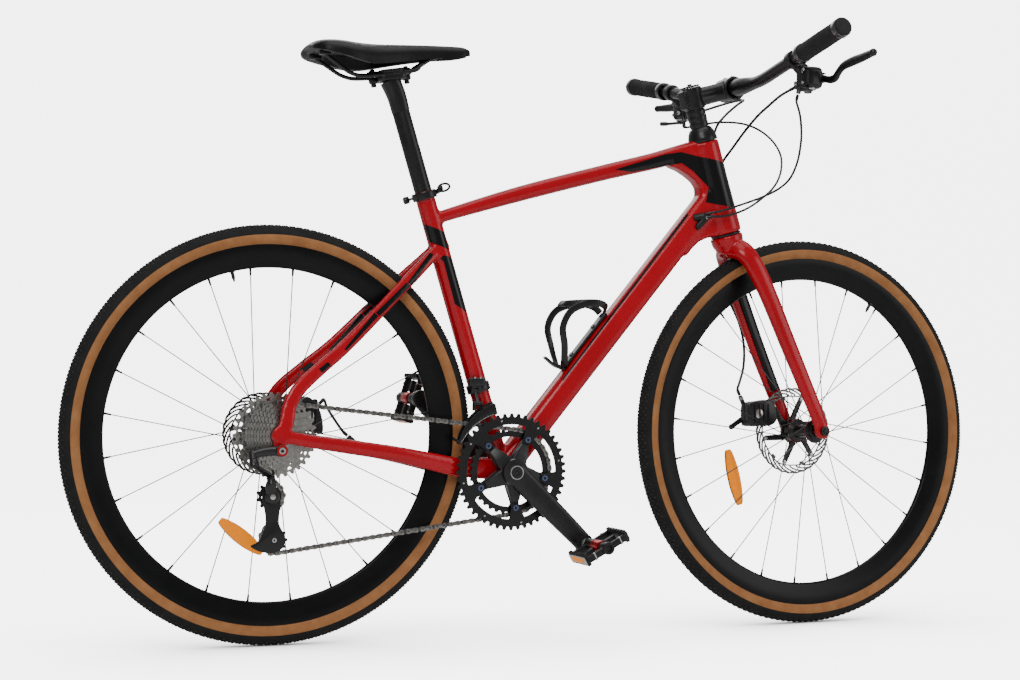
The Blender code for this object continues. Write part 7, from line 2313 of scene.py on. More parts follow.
    def pod_housing(self, name: str, hand: int) -> None:
        """Bar clamp, shifter's housing and the lever's perch, welded into one casting.

        Args:
            name: side of the bar, for the piece's name.
            hand: 1 for the left side, -1 for the right one.
        """
        centre, pivot = mirrored(self.pod, hand), np.array(self.lever_pivot)
        low, high = (self.bar_point(hand * (self.clamp_side + step)) for step in (-0.007, 0.007))
        clamp = rod(low, high, 0.0155, None, 40, 0.0012)
        shell = block(centre, self.pod_size, 0.0075, None, 3.6, 36)
        neck = sweep([(self.bar_point(hand * self.clamp_side), 0.014, 0.022),
                      (centre + mirrored((-0.004, -0.004, 0.008), hand), 0.020, 0.026)], 24, 2.6, LEFT, 12)
        perch = sweep([(centre + mirrored((0.004, 0.0, 0.008), hand), 0.024, 0.022),
                       (mirrored(pivot + (-0.0090, -0.004, 0.0060), hand), 0.014, 0.012)],
                      24, 2.6, LEFT, 10)
        fork = [block(mirrored(pivot + (-0.001, -0.003, lift), hand), (0.016, 0.015, 0.0026), 0.0010)
                for lift in (0.0073, -0.0073)]
        skin = build("pod_%s_housing" % name, joined(clamp, shell, neck, perch, *fork), [SATIN_BLACK],
                     "steering", "black_parts", ["lever_body_" + name], STEERED)
        melt(skin, voxel=0.0010, smoothing=5)

    def pod_underside(self, centre: Array, hand: int) -> list:
        """Plated ring and dark dome under a housing.

        Args:
            centre: middle of the housing.
            hand: 1 for the left side, -1 for the right one.

        Returns:
            The ring and the dome.
        """
        under = centre + mirrored((-0.003, 0.002, -0.0178), hand)
        ring = lathe(eased([(0.0060, 0.0), (0.0128, 0.0), (0.0135, 0.0026), (0.0120, 0.0050),
                            (0.0060, 0.0050)],
                           0.0006), under - UP * 0.0030, UP, 40).dressed(1)
        dome = lathe(eased([(0, -0.0034), (0.0075, -0.0034), (0.0090, -0.0010), (0.0090, 0.0010),
                            (0, 0.0010)], 0.0007), under - UP * 0.0015, UP, 36)
        return [ring, dome]

    def pod_cheek(self, centre: Array, hand: int) -> list:
        """Round cheek on a housing's inner side, with its bolt.

        Args:
            centre: middle of the housing.
            hand: 1 for the left side, -1 for the right one.

        Returns:
            The cheek and its bolt.
        """
        inward = LEFT * -hand
        plate = lathe(eased([(0, 0), (0.0090, 0), (0.0096, 0.0016), (0.0060, 0.0036), (0, 0.0036)], 0.0006),
                      centre + mirrored((0.0, -0.0188, 0.0), hand), inward, 32).dressed(0)
        return [plate, self.bolt(centre + mirrored((0.0, -0.0218, 0.0), hand), inward, 0.0042)]

    def pod_face(self, centre: Array, hand: int) -> list:
        """Gear window on the rider's side of a housing, with its white dots.

        Args:
            centre: middle of the housing.
            hand: 1 for the left side, -1 for the right one.

        Returns:
            The window and the dots.
        """
        window = sweep([(centre + mirrored((-0.0190, step, 0.0090), hand), 0.0016, 0.0060)
                        for step in (-0.0110, 0.0110)], 16, 4.0, FORWARD, 6, 0.0005).dressed(2)
        dots = [disc(centre + mirrored((-0.0196, step, 0.0090), hand), 0.0015, -0.0005, 0.0006, FORWARD, 14,
                     0.0002).dressed(3) for step in (-0.0075, 0.0, 0.0075)]
        return [window, *dots]

    def pod_trim(self, name: str, hand: int) -> None:
        """Cable barrels, window, pivot pin and bolts of one housing.

        Args:
            name: side of the bar, for the piece's name.
            hand: 1 for the left side, -1 for the right one.
        """
        centre, pivot = mirrored(self.pod, hand), np.array(self.lever_pivot)
        exits = [self.exit(ends, hand) for ends in (self.brake_exit, self.shift_exit)]
        pin = rod(mirrored(pivot + (0, 0, -0.0092), hand), mirrored(pivot + (0, 0, 0.0092), hand),
                  0.0028).dressed(1)
        pinch = self.bolt(self.bar_point(hand * self.clamp_side) - UP * 0.0150 + FORWARD * 0.006, -UP, 0.0030)
        studs = [self.bolt(centre + mirrored((-0.0188, step, lift), hand), -FORWARD, size)
                 for step, lift, size in ((0.0105, 0.0125, 0.0032), (-0.0120, -0.0080, 0.0038),
                                          (0.0090, -0.0095, 0.0030))]
        trim = joined(*exits, *self.pod_underside(centre, hand), *self.pod_face(centre, hand), pin, pinch,
                      *studs, *self.pod_cheek(centre, hand))
        build("pod_%s_trim" % name, trim, [DARK_CHROME, BRIGHT, PLASTIC, WHITE], "steering", "black_parts",
              [], STEERED)

    def brake_lever(self, name: str, hand: int) -> None:
        """Brake lever's blade with its ball end and the groove along its front.

        Args:
            name: side of the bar, for the piece's name.
            hand: 1 for the left side, -1 for the right one.
        """
        blade = sweep([(mirrored(point, hand), depth, height) for point, depth, height in self.lever],
                      28, 2.6, FORWARD, 90, 0.0012)
        ball = lathe([(0.0068 * math.sin(way), -0.0068 * math.cos(way))
                      for way in np.linspace(0, math.pi, 17)], mirrored(self.lever[-1][0], hand), LEFT, 28)
        groove = sweep([(mirrored(point, hand) + FORWARD * (depth / 2 - 0.0004), 0.0012, height * 0.34)
                        for point, depth, height in self.lever[3:7]], 14, 3.0, FORWARD, 40, 0.0004).dressed(1)
        build("brake_lever_%s_blade" % name, joined(blade, ball, groove), [SATIN_BLACK, GREY_ALLOY],
              "brake_lever_" + name, "black_parts", ["brake_lever_" + name], STEERED)

    def thumb_lever(self, name: str, hand: int) -> None:
        """Shift lever under the bar with its thumb pad and hub.

        Args:
            name: side of the bar, for the piece's name.
            hand: 1 for the left side, -1 for the right one.
        """
        thumb = sweep([(mirrored(point, hand), width, height) for point, width, height in self.shift],
                      24, 2.8, FORWARD, 24, 0.0012)
        pad = block(mirrored(self.shift[-1][0], hand) - FORWARD * 0.001, (0.0150, 0.0140, 0.0068), 0.0016,
                    rotation(UP, -hand * 35.0), 4.0, 24).dressed(1)
        hub = disc(mirrored(self.shift[0][0], hand), 0.0068, -0.0030, 0.0030, UP, 28, 0.0006)
        build("shift_lever_%s_paddle" % name, joined(thumb, pad, hub), [PLASTIC, GREY_ALLOY],
              "shift_lever_" + name, "black_parts", ["shift_lever_" + name], STEERED)

    def controls(self) -> None:
        """Housings, brake levers and shift levers on both sides."""
        for name, hand in (("right", -1), ("left", 1)):
            self.pod_housing(name, hand)
            self.pod_trim(name, hand)
            self.brake_lever(name, hand)
            self.thumb_lever(name, hand)

    def make(self) -> None:
        """Builds the whole cockpit."""
        self.headset()
        self.stem()
        self.bar()
        self.controls()


# Seat

@dataclass
class Seat:
    """Saddle on its rails, seatpost with its clamp, and the collar with its lever."""

    post_top: float = 0.686
    insertion: float = 0.136
    tilt: float = 9.0
    rail_radius: float = 0.0035
    rail_centre: tuple = (-0.315, 0.0, 0.9588)
    clamp_ahead: float = 0.0130
    rails: tuple = (
        (-0.4250, 0.0300, 0.9865), (-0.4020, 0.0275, 0.9715), (-0.3760, 0.0235, 0.9565),
        (-0.3450, 0.0220, 0.9540), (-0.2680, 0.0220, 0.9662), (-0.2520, 0.0180, 0.9765),
        (-0.2350, 0.0115, 0.9875), (-0.2180, 0.0075, 0.9955), (-0.2100, 0.0000, 0.9970))
    stations: tuple = (
        (-0.447, 0.040, 1.0000, 0.9920, 0.9960), (-0.441, 0.056, 1.0060, 0.9890, 0.9960),
        (-0.430, 0.068, 1.0100, 0.9860, 0.9905), (-0.412, 0.072, 1.0120, 0.9820, 0.9905),
        (-0.392, 0.072, 1.0120, 0.9780, 0.9930), (-0.370, 0.067, 1.0105, 0.9730, 0.9930),
        (-0.345, 0.055, 1.0100, 0.9705, 0.9940), (-0.320, 0.043, 1.0105, 0.9735, 0.9950),
        (-0.290, 0.032, 1.0120, 0.9790, 0.9970), (-0.255, 0.0245, 1.0135, 0.9850, 1.0000),
        (-0.220, 0.0210, 1.0145, 0.9900, 1.0010), (-0.190, 0.0195, 1.0150, 0.9930, 1.0020),
        (-0.172, 0.0175, 1.0145, 0.9960, 1.0050), (-0.160, 0.0110, 1.0110, 0.9990, 1.0040))
    clamp_foot: float = 0.4863
    clamp_height: float = 0.0135
    skewer_side: float = 0.0250

    def saddle(self) -> Surface:
        """Crowned, padded top with rolled lips over a hollow underside, closed at both ends.

        Returns:
            The closed surface.
        """
        rows = flow(self.stations, 90)
        angle = np.pi * np.linspace(0, 1, 45)
        x, half, top, lip, under = rows.T
        rise = np.sin(angle) ** 0.62
        groove = 0.0012 * np.exp(-((np.cos(angle) / 0.16) ** 2))
        middle = np.clip(1 - ((x + 0.33) / 0.10) ** 2, 0, 1)
        upper = np.stack([np.broadcast_to(x[:, None], (len(x), 45)), half[:, None] * np.cos(angle),
                          lip[:, None] + (top - lip)[:, None] * rise - middle[:, None] * groove], -1)
        lower = np.stack([np.stack([x, half * share, np.where(flat, under, lip + 0.001)], -1)
                          for share, flat in ((-0.90, False), (-0.80, False), (-0.62, True), (-0.3, True),
                                              (0.3, True), (0.62, True), (0.80, False), (0.90, False))], 1)
        return lattice(np.concatenate([upper, lower], 1))

    def make(self) -> None:
        """Builds the seat's pieces."""
        cover = build("saddle_cover", self.saddle(), [LEATHER], "seat", "saddle_cover", ["saddle"])
        left = [np.array(point) for point in self.rails]
        wire = left + [mirrored(point, -1) for point in reversed(left[:-1])]
        sockets = [block(mirrored((-0.4235, 0.0298, 0.9880), hand), (0.020, 0.016, 0.010), 0.002, None, 4.0)
                   for hand in (-1, 1)]
        nose = block((-0.2110, 0.0, 0.9985), (0.018, 0.024, 0.008), 0.002, None, 4.0)
        build("rail_wire", joined(pipe(wire, self.rail_radius, 150, 20, UP), *sockets, nose), [SATIN_BLACK],
              "seat", "black_parts", ["saddle_rails"])
        lean = rotation(LEFT, -self.tilt)
        above, ahead = lean @ UP, lean @ FORWARD
        middle = np.array(self.rail_centre) + self.clamp_ahead * ahead
        post = rod(BIKE.seat(BIKE.seat_tube - self.insertion), BIKE.seat(self.post_top - 0.030), 0.0150,
                   None, 48)
        neck = sweep([(BIKE.seat(self.post_top - 0.045), 0.030, 0.030),
                      (BIKE.seat(self.post_top - 0.016), 0.031, 0.032),
                      (middle - above * 0.0100, 0.034, 0.034)], 40, 2.6, LEFT, 20)
        horns = [block(middle - above * 0.0080 + ahead * step, (0.014, 0.017, 0.0100), 0.0030, lean, 3.0, 24)
                 for step in (-0.0300, 0.0300)]
        cradle = block(middle - above * 0.0060, (0.052, 0.052, 0.0110), 0.0028, lean, 5.0, 36)
        ring = band(BIKE.bracket, 0.0149, 0.0153, self.post_top - 0.0400, self.post_top - 0.0385,
                    BIKE.seat_axis)
        build("post_tube", joined(post, neck, cradle, *horns, ring.dressed(1)), [SATIN_BLACK, GREY_ALLOY],
              "seat", "black_parts", ["seatpost"])
        plate = block(middle + above * 0.0042, (0.044, 0.053, 0.0068), 0.0022, lean, 5.0, 36)
        parts = [plate]
        for step in (-0.0300, 0.0300):
            spot = middle + ahead * step
            parts.append(block(spot + above * 0.0048, (0.018, 0.014, 0.0058), 0.0020, lean, 3.0, 24))
            parts.append(rod(spot - above * 0.0190, spot + above * 0.0095, 0.0024, None, 14).dressed(1))
            head = rod(spot - above * 0.0190, spot - above * 0.0135, 0.0046, None, 20, 0.0006)
            parts.append(head.dressed(1))
            nut = spot + above * 0.0078
            parts.append(rod(nut - LEFT * 0.006, nut + LEFT * 0.006, 0.0036))
        build("clamp_plate", joined(*parts), [SATIN_BLACK, GREY_ALLOY], "seat", "bright_steel",
              ["saddle_clamp"])
        self.collar()

    def collar(self) -> None:
        """Seat collar with ears, skewer and its cam lever."""
        foot, high = self.clamp_foot, self.clamp_height
        middle = foot + high / 2
        profile = [(0.0169, foot), (0.0208, foot), (0.0212, foot + 0.003), (0.0212, foot + high - 0.003),
                   (0.0208, foot + high), (0.0169, foot + high)]
        ring = lathe(eased(profile, 0.0006), BIKE.bracket, BIKE.seat_axis, 56)
        lean = rotation(LEFT, BIKE.seat_angle - 90.0)
        ears = block(BIKE.seat(middle, 0.0, self.skewer_side - 0.0010), (0.026, 0.012, high - 0.001),
                     0.0025, lean, 4.0, 28)
        skewer = rod(BIKE.seat(middle, -0.028, self.skewer_side), BIKE.seat(middle, 0.019, self.skewer_side),
                     0.0025).dressed(1)
        nut = lathe(eased([(0, 0), (0.0060, 0), (0.0066, 0.0040), (0.0060, 0.0090), (0, 0.0090)], 0.0008),
                    BIKE.seat(middle, -0.030, self.skewer_side), heading(90.0 - BIKE.seat_angle), 20)
        build("seat_collar", joined(ring, ears, skewer, nut), [SATIN_BLACK, BRIGHT], "frame", "black_parts",
              ["seat_clamp"])
        pivot = BIKE.seat(middle, 0.0245, self.skewer_side)
        arm = sweep([(pivot, 0.009, 0.007),
                     (BIKE.seat(middle, 0.0290, self.skewer_side - 0.004), 0.009, 0.006),
                     (BIKE.seat(middle + 0.002, 0.0330, self.skewer_side - 0.016), 0.009, 0.005),
                     (BIKE.seat(middle + 0.005, 0.0330, self.skewer_side - 0.030), 0.008, 0.004)],
                    20, 2.6, BIKE.seat_axis, 30, 0.0008)
        turn = 2 * np.pi * np.arange(24) / 24
        centre = BIKE.seat(middle + 0.0045, 0.0370, self.skewer_side - 0.0280)
        ahead = heading(90.0 - BIKE.seat_angle)
        loop = [(centre + BIKE.seat_axis * 0.0062 * math.sin(a) + ahead * 0.0105 * math.cos(a),
                 0.0042, 0.0042) for a in turn]
        arm = joined(arm, sweep(loop, 12, 2.0, LEFT, 0, 0.0, True))
        cam = disc(pivot, 0.0050, -0.0055, 0.0055, BIKE.seat_axis, 28, 0.0006)
        build("seat_collar_lever", joined(arm, cam), [SATIN_BLACK], "clamp_lever", "black_parts",
              ["seat_clamp_lever"])


# Brakes

@dataclass
class Brake:
    """One disc brake: caliper halves about the disc, adjusters, bolts and the cable's arm."""

    name: str
    axle: Array
    place: Place
    body: str
    outline: tuple
    disc: tuple
    reach: float
    arm: tuple
    stop: tuple
    screws: tuple
    inside: float = 0.0105
    gap: float = 0.0017

    @property
    def middle(self) -> float:
        """Middle plane of the disc."""
        return self.disc[1] + DISC_THICKNESS / 2

    def caliper(self) -> Surface:
        """Both halves with softened rims, and the bridge that joins them beyond the disc.

        Returns:
            The surface.
        """
        middle, side = self.middle, self.disc[1]
        rows = flow([(x, 0.0, z) for x, z in self.outline], 8 * len(self.outline), True)[:, [0, 2]]
        inner = prism(rows, middle - self.inside, side - self.gap, 0.0022)
        outer = prism(rows, side + DISC_THICKNESS + self.gap, middle + self.reach, 0.0030)
        flat = self.axle[[0, 2]]
        far = rows[np.hypot(*(rows - flat).T) > self.disc[0] + 0.004]
        parts = [inner, outer]
        if len(far) > 3:
            centre = far.mean(0)
            bridge = centre + (far - centre) * 0.90
            parts.append(prism(bridge, middle - self.inside + 0.003, middle + self.reach - 0.004, 0.001))
        return joined(*parts)

    def trim(self) -> Surface:
        """Adjuster dial, mounting bolts on their washers, ribs on both faces and the cable stop.

        Returns:
            The surface; finish 0 is black and 1 bright.
        """
        middle = self.middle
        face = middle + self.reach
        spot = np.array([self.arm[0][0], 0.0, self.arm[0][1]])
        dial = lathe(eased([(0.0026, face + 0.0052), (0.0060, face + 0.0052), (0.0064, face + 0.0068),
                            (0.0026, face + 0.0068)], 0.0005), spot, LEFT, 24).dressed(1)
        parts = [dial]
        for x, z in self.screws:
            place = np.array([x, 0.0, z])
            parts.append(band(place, 0.0020, 0.0058, face - 0.0006, face + 0.0008, LEFT, 24).dressed(1))
            parts.append(lathe(eased([(0.0018, face), (0.0042, face), (0.0042, face + 0.0040),
                                      (0.0018, face + 0.0040)], 0.0005), place, LEFT, 20).dressed(1))
        shape = np.array(self.outline)
        centre, size = shape.mean(0), np.ptp(shape, axis=0)
        for step in (-0.24, -0.08, 0.08, 0.24):
            rib = (centre[0] + step * size[0], face + 0.0004, centre[1])
            parts.append(block(rib, (0.0030, 0.0030, size[1] * 0.72), 0.0008))
            parts.append(block((rib[0], middle - self.inside - 0.0004, centre[1]),
                               (0.0030, 0.0030, size[1] * 0.72), 0.0008))
        low = middle - self.inside
        parts.append(disc(spot, 0.0085, low - 0.0012, low + 0.0006, LEFT, 28, 0.0006).dressed(1))
        start, end = (np.array(point) for point in self.stop)
        parts.append(rod(start, end, 0.0045, 0.0038, 20, 0.0006))
        along = unit(end - start)
        parts += [band(end - along * step, 0.0030, 0.0049, -0.0006, 0.0006, along, 18, 0.0002).dressed(1)
                  for step in (0.0030, 0.0052, 0.0074)]
        return joined(*parts)

    def lever(self) -> Surface:
        """Arm on the caliper's outer face with its boss, cable pinch and rounded tip.

        Returns:
            The surface; finish 1 is the cable's pinch.
        """
        low = self.middle + self.reach + 0.0003
        high = low + 0.005
        middle = (low + high) / 2
        pivot, tip = (np.array([x, middle, z]) for x, z in self.arm)
        arm = sweep([(pivot, high - low, 0.0135), (pivot * 0.5 + tip * 0.5, high - low - 0.0006, 0.0100),
                     (tip, high - low, 0.0090)], 24, 3.4, LEFT, 24, 0.0008)
        flat = pivot * (1, 0, 1)
        boss = disc(flat, 0.0086, low, high - 0.0003, LEFT, 36, 0.0007)
        end = disc(tip * (1, 0, 1), 0.0050, low, high - 0.0002, LEFT, 28, 0.0007)
        pinch = lathe(eased([(0.0014, high - 0.0008), (0.0034, high - 0.0008), (0.0034, high + 0.0016),
                             (0.0014, high + 0.0016)], 0.0004), tip * (1, 0, 1), LEFT, 6).dressed(1)
        return joined(arm, boss, end, pinch)

    def make(self) -> None:
        """Builds the brake's pieces."""
        build(self.name + "_caliper_halves", self.caliper(), [CAST_BLACK], self.body, "black_parts",
              [self.name + "_brake_caliper"], self.place)
        build(self.name + "_caliper_trim", self.trim(), [SATIN_BLACK, BRIGHT], self.body, "black_parts", [],
              self.place)
        build(self.name + "_brake_arm_forging", self.lever(), [GREY_ALLOY, BRIGHT], self.name + "_brake_arm",
              "black_parts", [self.name + "_brake_arm"], self.place)


def front_brake() -> Brake:
    """Caliper behind the fork's left leg.

    Returns:
        The brake.
    """
    outline = ((0.402, 0.396), (0.410, 0.403), (0.430, 0.4055), (0.450, 0.407), (0.461, 0.394),
               (0.463, 0.370), (0.450, 0.360), (0.430, 0.3593), (0.408, 0.359), (0.402, 0.366))
    return Brake("front", BIKE.front_axle, STEERED, "steering", outline, FRONT_DISC, 0.0180,
                 ((0.424, 0.382), (0.384, 0.358)), ((0.4080, 0.0560, 0.3980), (0.4010, 0.0580, 0.4150)),
                 ((0.451, 0.397), (0.452, 0.369)))


def rear_brake() -> Brake:
    """Caliper on the left chainstay, inside the rear triangle.

    Returns:
        The brake.
    """
    outline = ((-0.446, 0.398), (-0.432, 0.412), (-0.418, 0.406), (-0.405, 0.385), (-0.401, 0.353),
               (-0.415, 0.3515), (-0.436, 0.3555), (-0.446, 0.375))
    return Brake("rear", BIKE.rear_axle, FIXED, "frame", outline, REAR_DISC, 0.0130,
                 ((-0.426, 0.380), (-0.409, 0.403)), ((-0.4120, 0.0570, 0.3920), (-0.4030, 0.0610, 0.4000)),
                 ((-0.437, 0.396), (-0.410, 0.361)))


@dataclass
class Axles:
    """Through axles with their round, socketed heads."""

    def make(self) -> None:
        """Builds both axles."""
        for name, axle, place, body, low, high, hand, radius in (
                ("rear", BIKE.rear_axle, FIXED, "frame", -0.0773, 0.0833, 1, 0.0090),
                ("front", BIKE.front_axle, STEERED, "steering", -0.0687, 0.0627, -1, 0.0085)):
            face = high if hand > 0 else -low
            shaft = disc(axle, 0.0060, low, high - 0.003 * hand if hand > 0 else high, LEFT, 28)
            profile = [(0.0030, face - 0.0035), (0.0030, face), (radius - 0.0012, face),
                       (radius, face - 0.0014), (radius, face - 0.0050), (0.0030, face - 0.0050)]
            head = lathe(eased(profile, 0.0006), axle, LEFT * hand, 36)
            build(name + "_axle_shaft", joined(shaft, head), [SATIN_BLACK], body, "black_parts",
                  [name + "_axle"], place)


# Bottle cage, cables and small fittings

@dataclass
class BottleCage:
    """Spine on the down tube, round hoops and a foot hook, held by two bolts."""

    route: tuple = ((0.332, 0.030, 0.009), (0.337, 0.040, 0.026), (0.330, 0.058, 0.037),
                    (0.312, 0.080, 0.035), (0.298, 0.096, 0.018), (0.294, 0.100, 0.0))
    side: tuple = ((0.322, 0.070, 0.037), (0.288, 0.088, 0.037), (0.256, 0.082, 0.036), (0.234, 0.058, 0.032),
                   (0.214, 0.036, 0.020), (0.210, 0.029, 0.008))

    def make(self) -> None:
        """Builds the cage."""
        base = BIKE.down_size / 2 + 0.0003
        spine = sweep([(BIKE.down(0.206, base + 0.0030), 0.024, 0.0050),
                       (BIKE.down(0.240, base + 0.0030), 0.021,
                       0.0046), (BIKE.down(0.300, base + 0.0030), 0.021, 0.0046),
                       (BIKE.down(0.334, base + 0.0030), 0.024, 0.0050)], 28, 5.0, LEFT, 40, 0.0008)
        hook = sweep([(BIKE.down(0.209, base + 0.0020), 0.020, 0.0050),
                      (BIKE.down(0.203, 0.040), 0.018, 0.0050),
                      (BIKE.down(0.202, 0.064), 0.012, 0.0050)], 24, 3.0, LEFT, 24, 0.0010)
        parts = [spine, hook]
        across = heading(BIKE.down_angle)
        above = heading(BIKE.down_angle + 90.0)
        for hand in (-1, 1):
            for points, way in ((self.route, across), (self.side, above)):
                rows = [(BIKE.down(along, out, hand * reach), 0.0125, 0.0042) for along, out, reach in points]
                parts.append(sweep(rows, 20, 3.0, way, 60, 0.0010))
        bolts = [lathe(eased([(0, 0), (0.0044, 0), (0.0044, 0.0022), (0.0022, 0.0030), (0, 0.0030)], 0.0006),
                       BIKE.down(along, base + 0.0055), above, 20).dressed(1) for along in (0.238, 0.302)]
        build("cage_rods", joined(*parts, *bolts), [SATIN_BLACK, BRIGHT], "frame", "black_parts",
              ["bottle_cage"])


@dataclass
class Cables:
    """Brake and shift housings along their real runs, each end in a metal ferrule."""

    cockpit: Cockpit
    brake: Brake
    rear: Brake
    right_port: tuple = ((0.258, -0.0160, 0.7315), (0.2810, -0.0290, 0.7365))
    port_spread: float = 0.0034
    right_shift: tuple = (
        (0.3880, -0.1810, 0.9060), (0.3970, -0.1700, 0.8810), (0.4040, -0.1550, 0.8570),
        (0.4080, -0.1350, 0.8270), (0.4070, -0.1100, 0.8010), (0.3970, -0.0850, 0.7840),
        (0.3770, -0.0640, 0.7710), (0.3570, -0.0480, 0.7620), (0.3380, -0.0395, 0.7550),
        (0.3140, -0.0375, 0.7470))
    left_shift: tuple = (
        (0.3900, 0.1850, 0.9290), (0.4150, 0.1790, 0.9320), (0.4400, 0.1600, 0.9300),
        (0.4570, 0.1400, 0.9230), (0.4710, 0.1180, 0.9100), (0.4800, 0.0920, 0.8900),
        (0.4810, 0.0650, 0.8650), (0.4710, 0.0400, 0.8400), (0.4540, 0.0180, 0.8150),
        (0.4280, -0.0060, 0.7920), (0.3950, -0.0260, 0.7710), (0.3640, -0.0390, 0.7540),
        (0.3410, -0.0415, 0.7440), (0.3140, -0.0385, 0.7365))
    rear_brake: tuple = (
        (0.3660, -0.1480, 0.9410), (0.3590, -0.1200, 0.9270), (0.3540, -0.0850, 0.9110),
        (0.3490, -0.0450, 0.8870), (0.3450, -0.0120, 0.8640), (0.3410, 0.0160, 0.8440),
        (0.3330, 0.0350, 0.8190))
    front_brake: tuple = (
        (0.3900, 0.1530, 0.9560), (0.4280, 0.1350, 0.9690), (0.4450, 0.1100, 0.9720),
        (0.4100, 0.0800, 0.9550), (0.3700, 0.0560, 0.9300), (0.3450, 0.0450, 0.9050),
        (0.3330, 0.0420, 0.8600), (0.3450, 0.0420, 0.8000), (0.3610, 0.0430, 0.7400),
        (0.3680, 0.0620, 0.6950), (0.3660, 0.0700, 0.6500), (0.3830, 0.0710, 0.6000),
        (0.4060, 0.0680, 0.5500), (0.4150, 0.0660, 0.5100), (0.4130, 0.0640, 0.4700),
        (0.4030, 0.0620, 0.4400))
    tail: tuple = ((-0.3880, 0.0665, 0.3930), (-0.3740, 0.0675, 0.3720))

    def socket(self, ends: Sequence, across: float = 0.0) -> list:
        """Two points of a cable that enters a barrel squarely, raised across it by a spread.

        Args:
            ends: both ends of the barrel, its mouth last.
            across: how far the cable's end is raised.

        Returns:
            The two points, from the mouth out.
        """
        start, end = (np.asarray(point, float) for point in ends)
        along = unit(end - start)
        above = unit(UP - (UP @ along) * along)
        face = end + above * across
        return [face + along * 0.0009, face + along * 0.012]

    def housing(self, name: str, route: list, radius: float, body: str, place: Place) -> None:
        """One housing with its ferrules.

        Args:
            name: the cable's node.
            route: points along it.
            radius: its radius.
            body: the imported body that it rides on.
            place: how it is moved to its place.
        """
        length = sum(float(np.linalg.norm(after - before)) for before, after in zip(route, route[1:]))
        tube = pipe(route, radius, max(24, round(length / 0.004)), 16, UP if "tail" not in name else LEFT)
        ends = []
        for first, second in ((route[0], route[1]), (route[-1], route[-2])):
            along = unit(second - first)
            ends.append(rod(first + along * 0.0002, first + along * 0.0110, radius + 0.0006, None, 20, 0.0003)
                        .dressed(1))
        build(name + "_housing", joined(tube, *ends), [HOUSING, SATIN_BLACK], body, "cable_housing", [name],
              place)

    def make(self) -> None:
        """Builds every housing, with the pods' ends where the turned bar puts them."""
        pods = {}
        for kind, ends in (("brake", self.cockpit.brake_exit), ("shift", self.cockpit.shift_exit)):
            for hand in (-1, 1):
                pods[kind, hand] = self.socket([mirrored(point, hand) for point in ends])
        turned = {key: [STEERED.of(point) - SHIFT for point in points] for key, points in pods.items()}
        near = self.socket(self.right_port, self.port_spread)[::-1]
        far = self.socket(self.right_port, -self.port_spread)[::-1]

        def points(rows: tuple) -> list:
            """The rows of numbers as points."""
            return [np.array(row) for row in rows]

        self.housing("right_shift_cable", turned["shift", -1] + points(self.right_shift) + near,
                     SHIFT_HOUSING, "frame", FIXED)
        self.housing("left_shift_cable", turned["shift", 1] + points(self.left_shift) + far, SHIFT_HOUSING,
                     "frame", FIXED)
        self.housing("rear_brake_cable", turned["brake", -1] + points(self.rear_brake)
                     + self.socket(LEFT_PORT)[::-1], BRAKE_HOUSING, "frame", FIXED)
        self.housing("front_brake_cable", pods["brake", 1] + points(self.front_brake)
                     + self.socket(self.brake.stop)[::-1], BRAKE_HOUSING, "steering", STEERED)
        self.housing("rear_brake_cable_tail", self.socket(self.rear.stop) + points(self.tail)
                     + self.socket(STAY_PORT)[::-1], BRAKE_HOUSING, "frame", FIXED)


@dataclass
class Reflector:
    """Amber reflector clipped across two spokes."""

    name: str
    first: tuple
    last: tuple
    side: float
    place: Place

    def make(self) -> None:
        """Builds the reflector's lens and its dark back."""
        start = np.array([self.first[0], self.side, self.first[1]])
        end = np.array([self.last[0], self.side, self.last[1]])
        rows = [(start + (end - start) * share, width, height) for share, width, height in
                ((0.0, 0.0060, 0.0100), (0.10, 0.0075, 0.0160), (0.35, 0.0075, 0.0235),
                 (0.65, 0.0075, 0.0235), (0.90, 0.0075, 0.0160), (1.0, 0.0060, 0.0100))]
        # The lens takes the amber finish with its painted glow.
        lens = sweep(rows, 24, 4.5, LEFT, 24, 0.0014)
        back = [(point + LEFT * 0.0012, width * 0.7, height * 1.05) for point, width, height in rows]
        shell = sweep(back, 24, 4.5, LEFT, 24, 0.0008).dressed(1)
        body = self.name + "_wheel"
        build(self.name + "_reflector", joined(lens, shell), [AMBER, PLASTIC], body, "black_parts", [],
              self.place)


# Stage

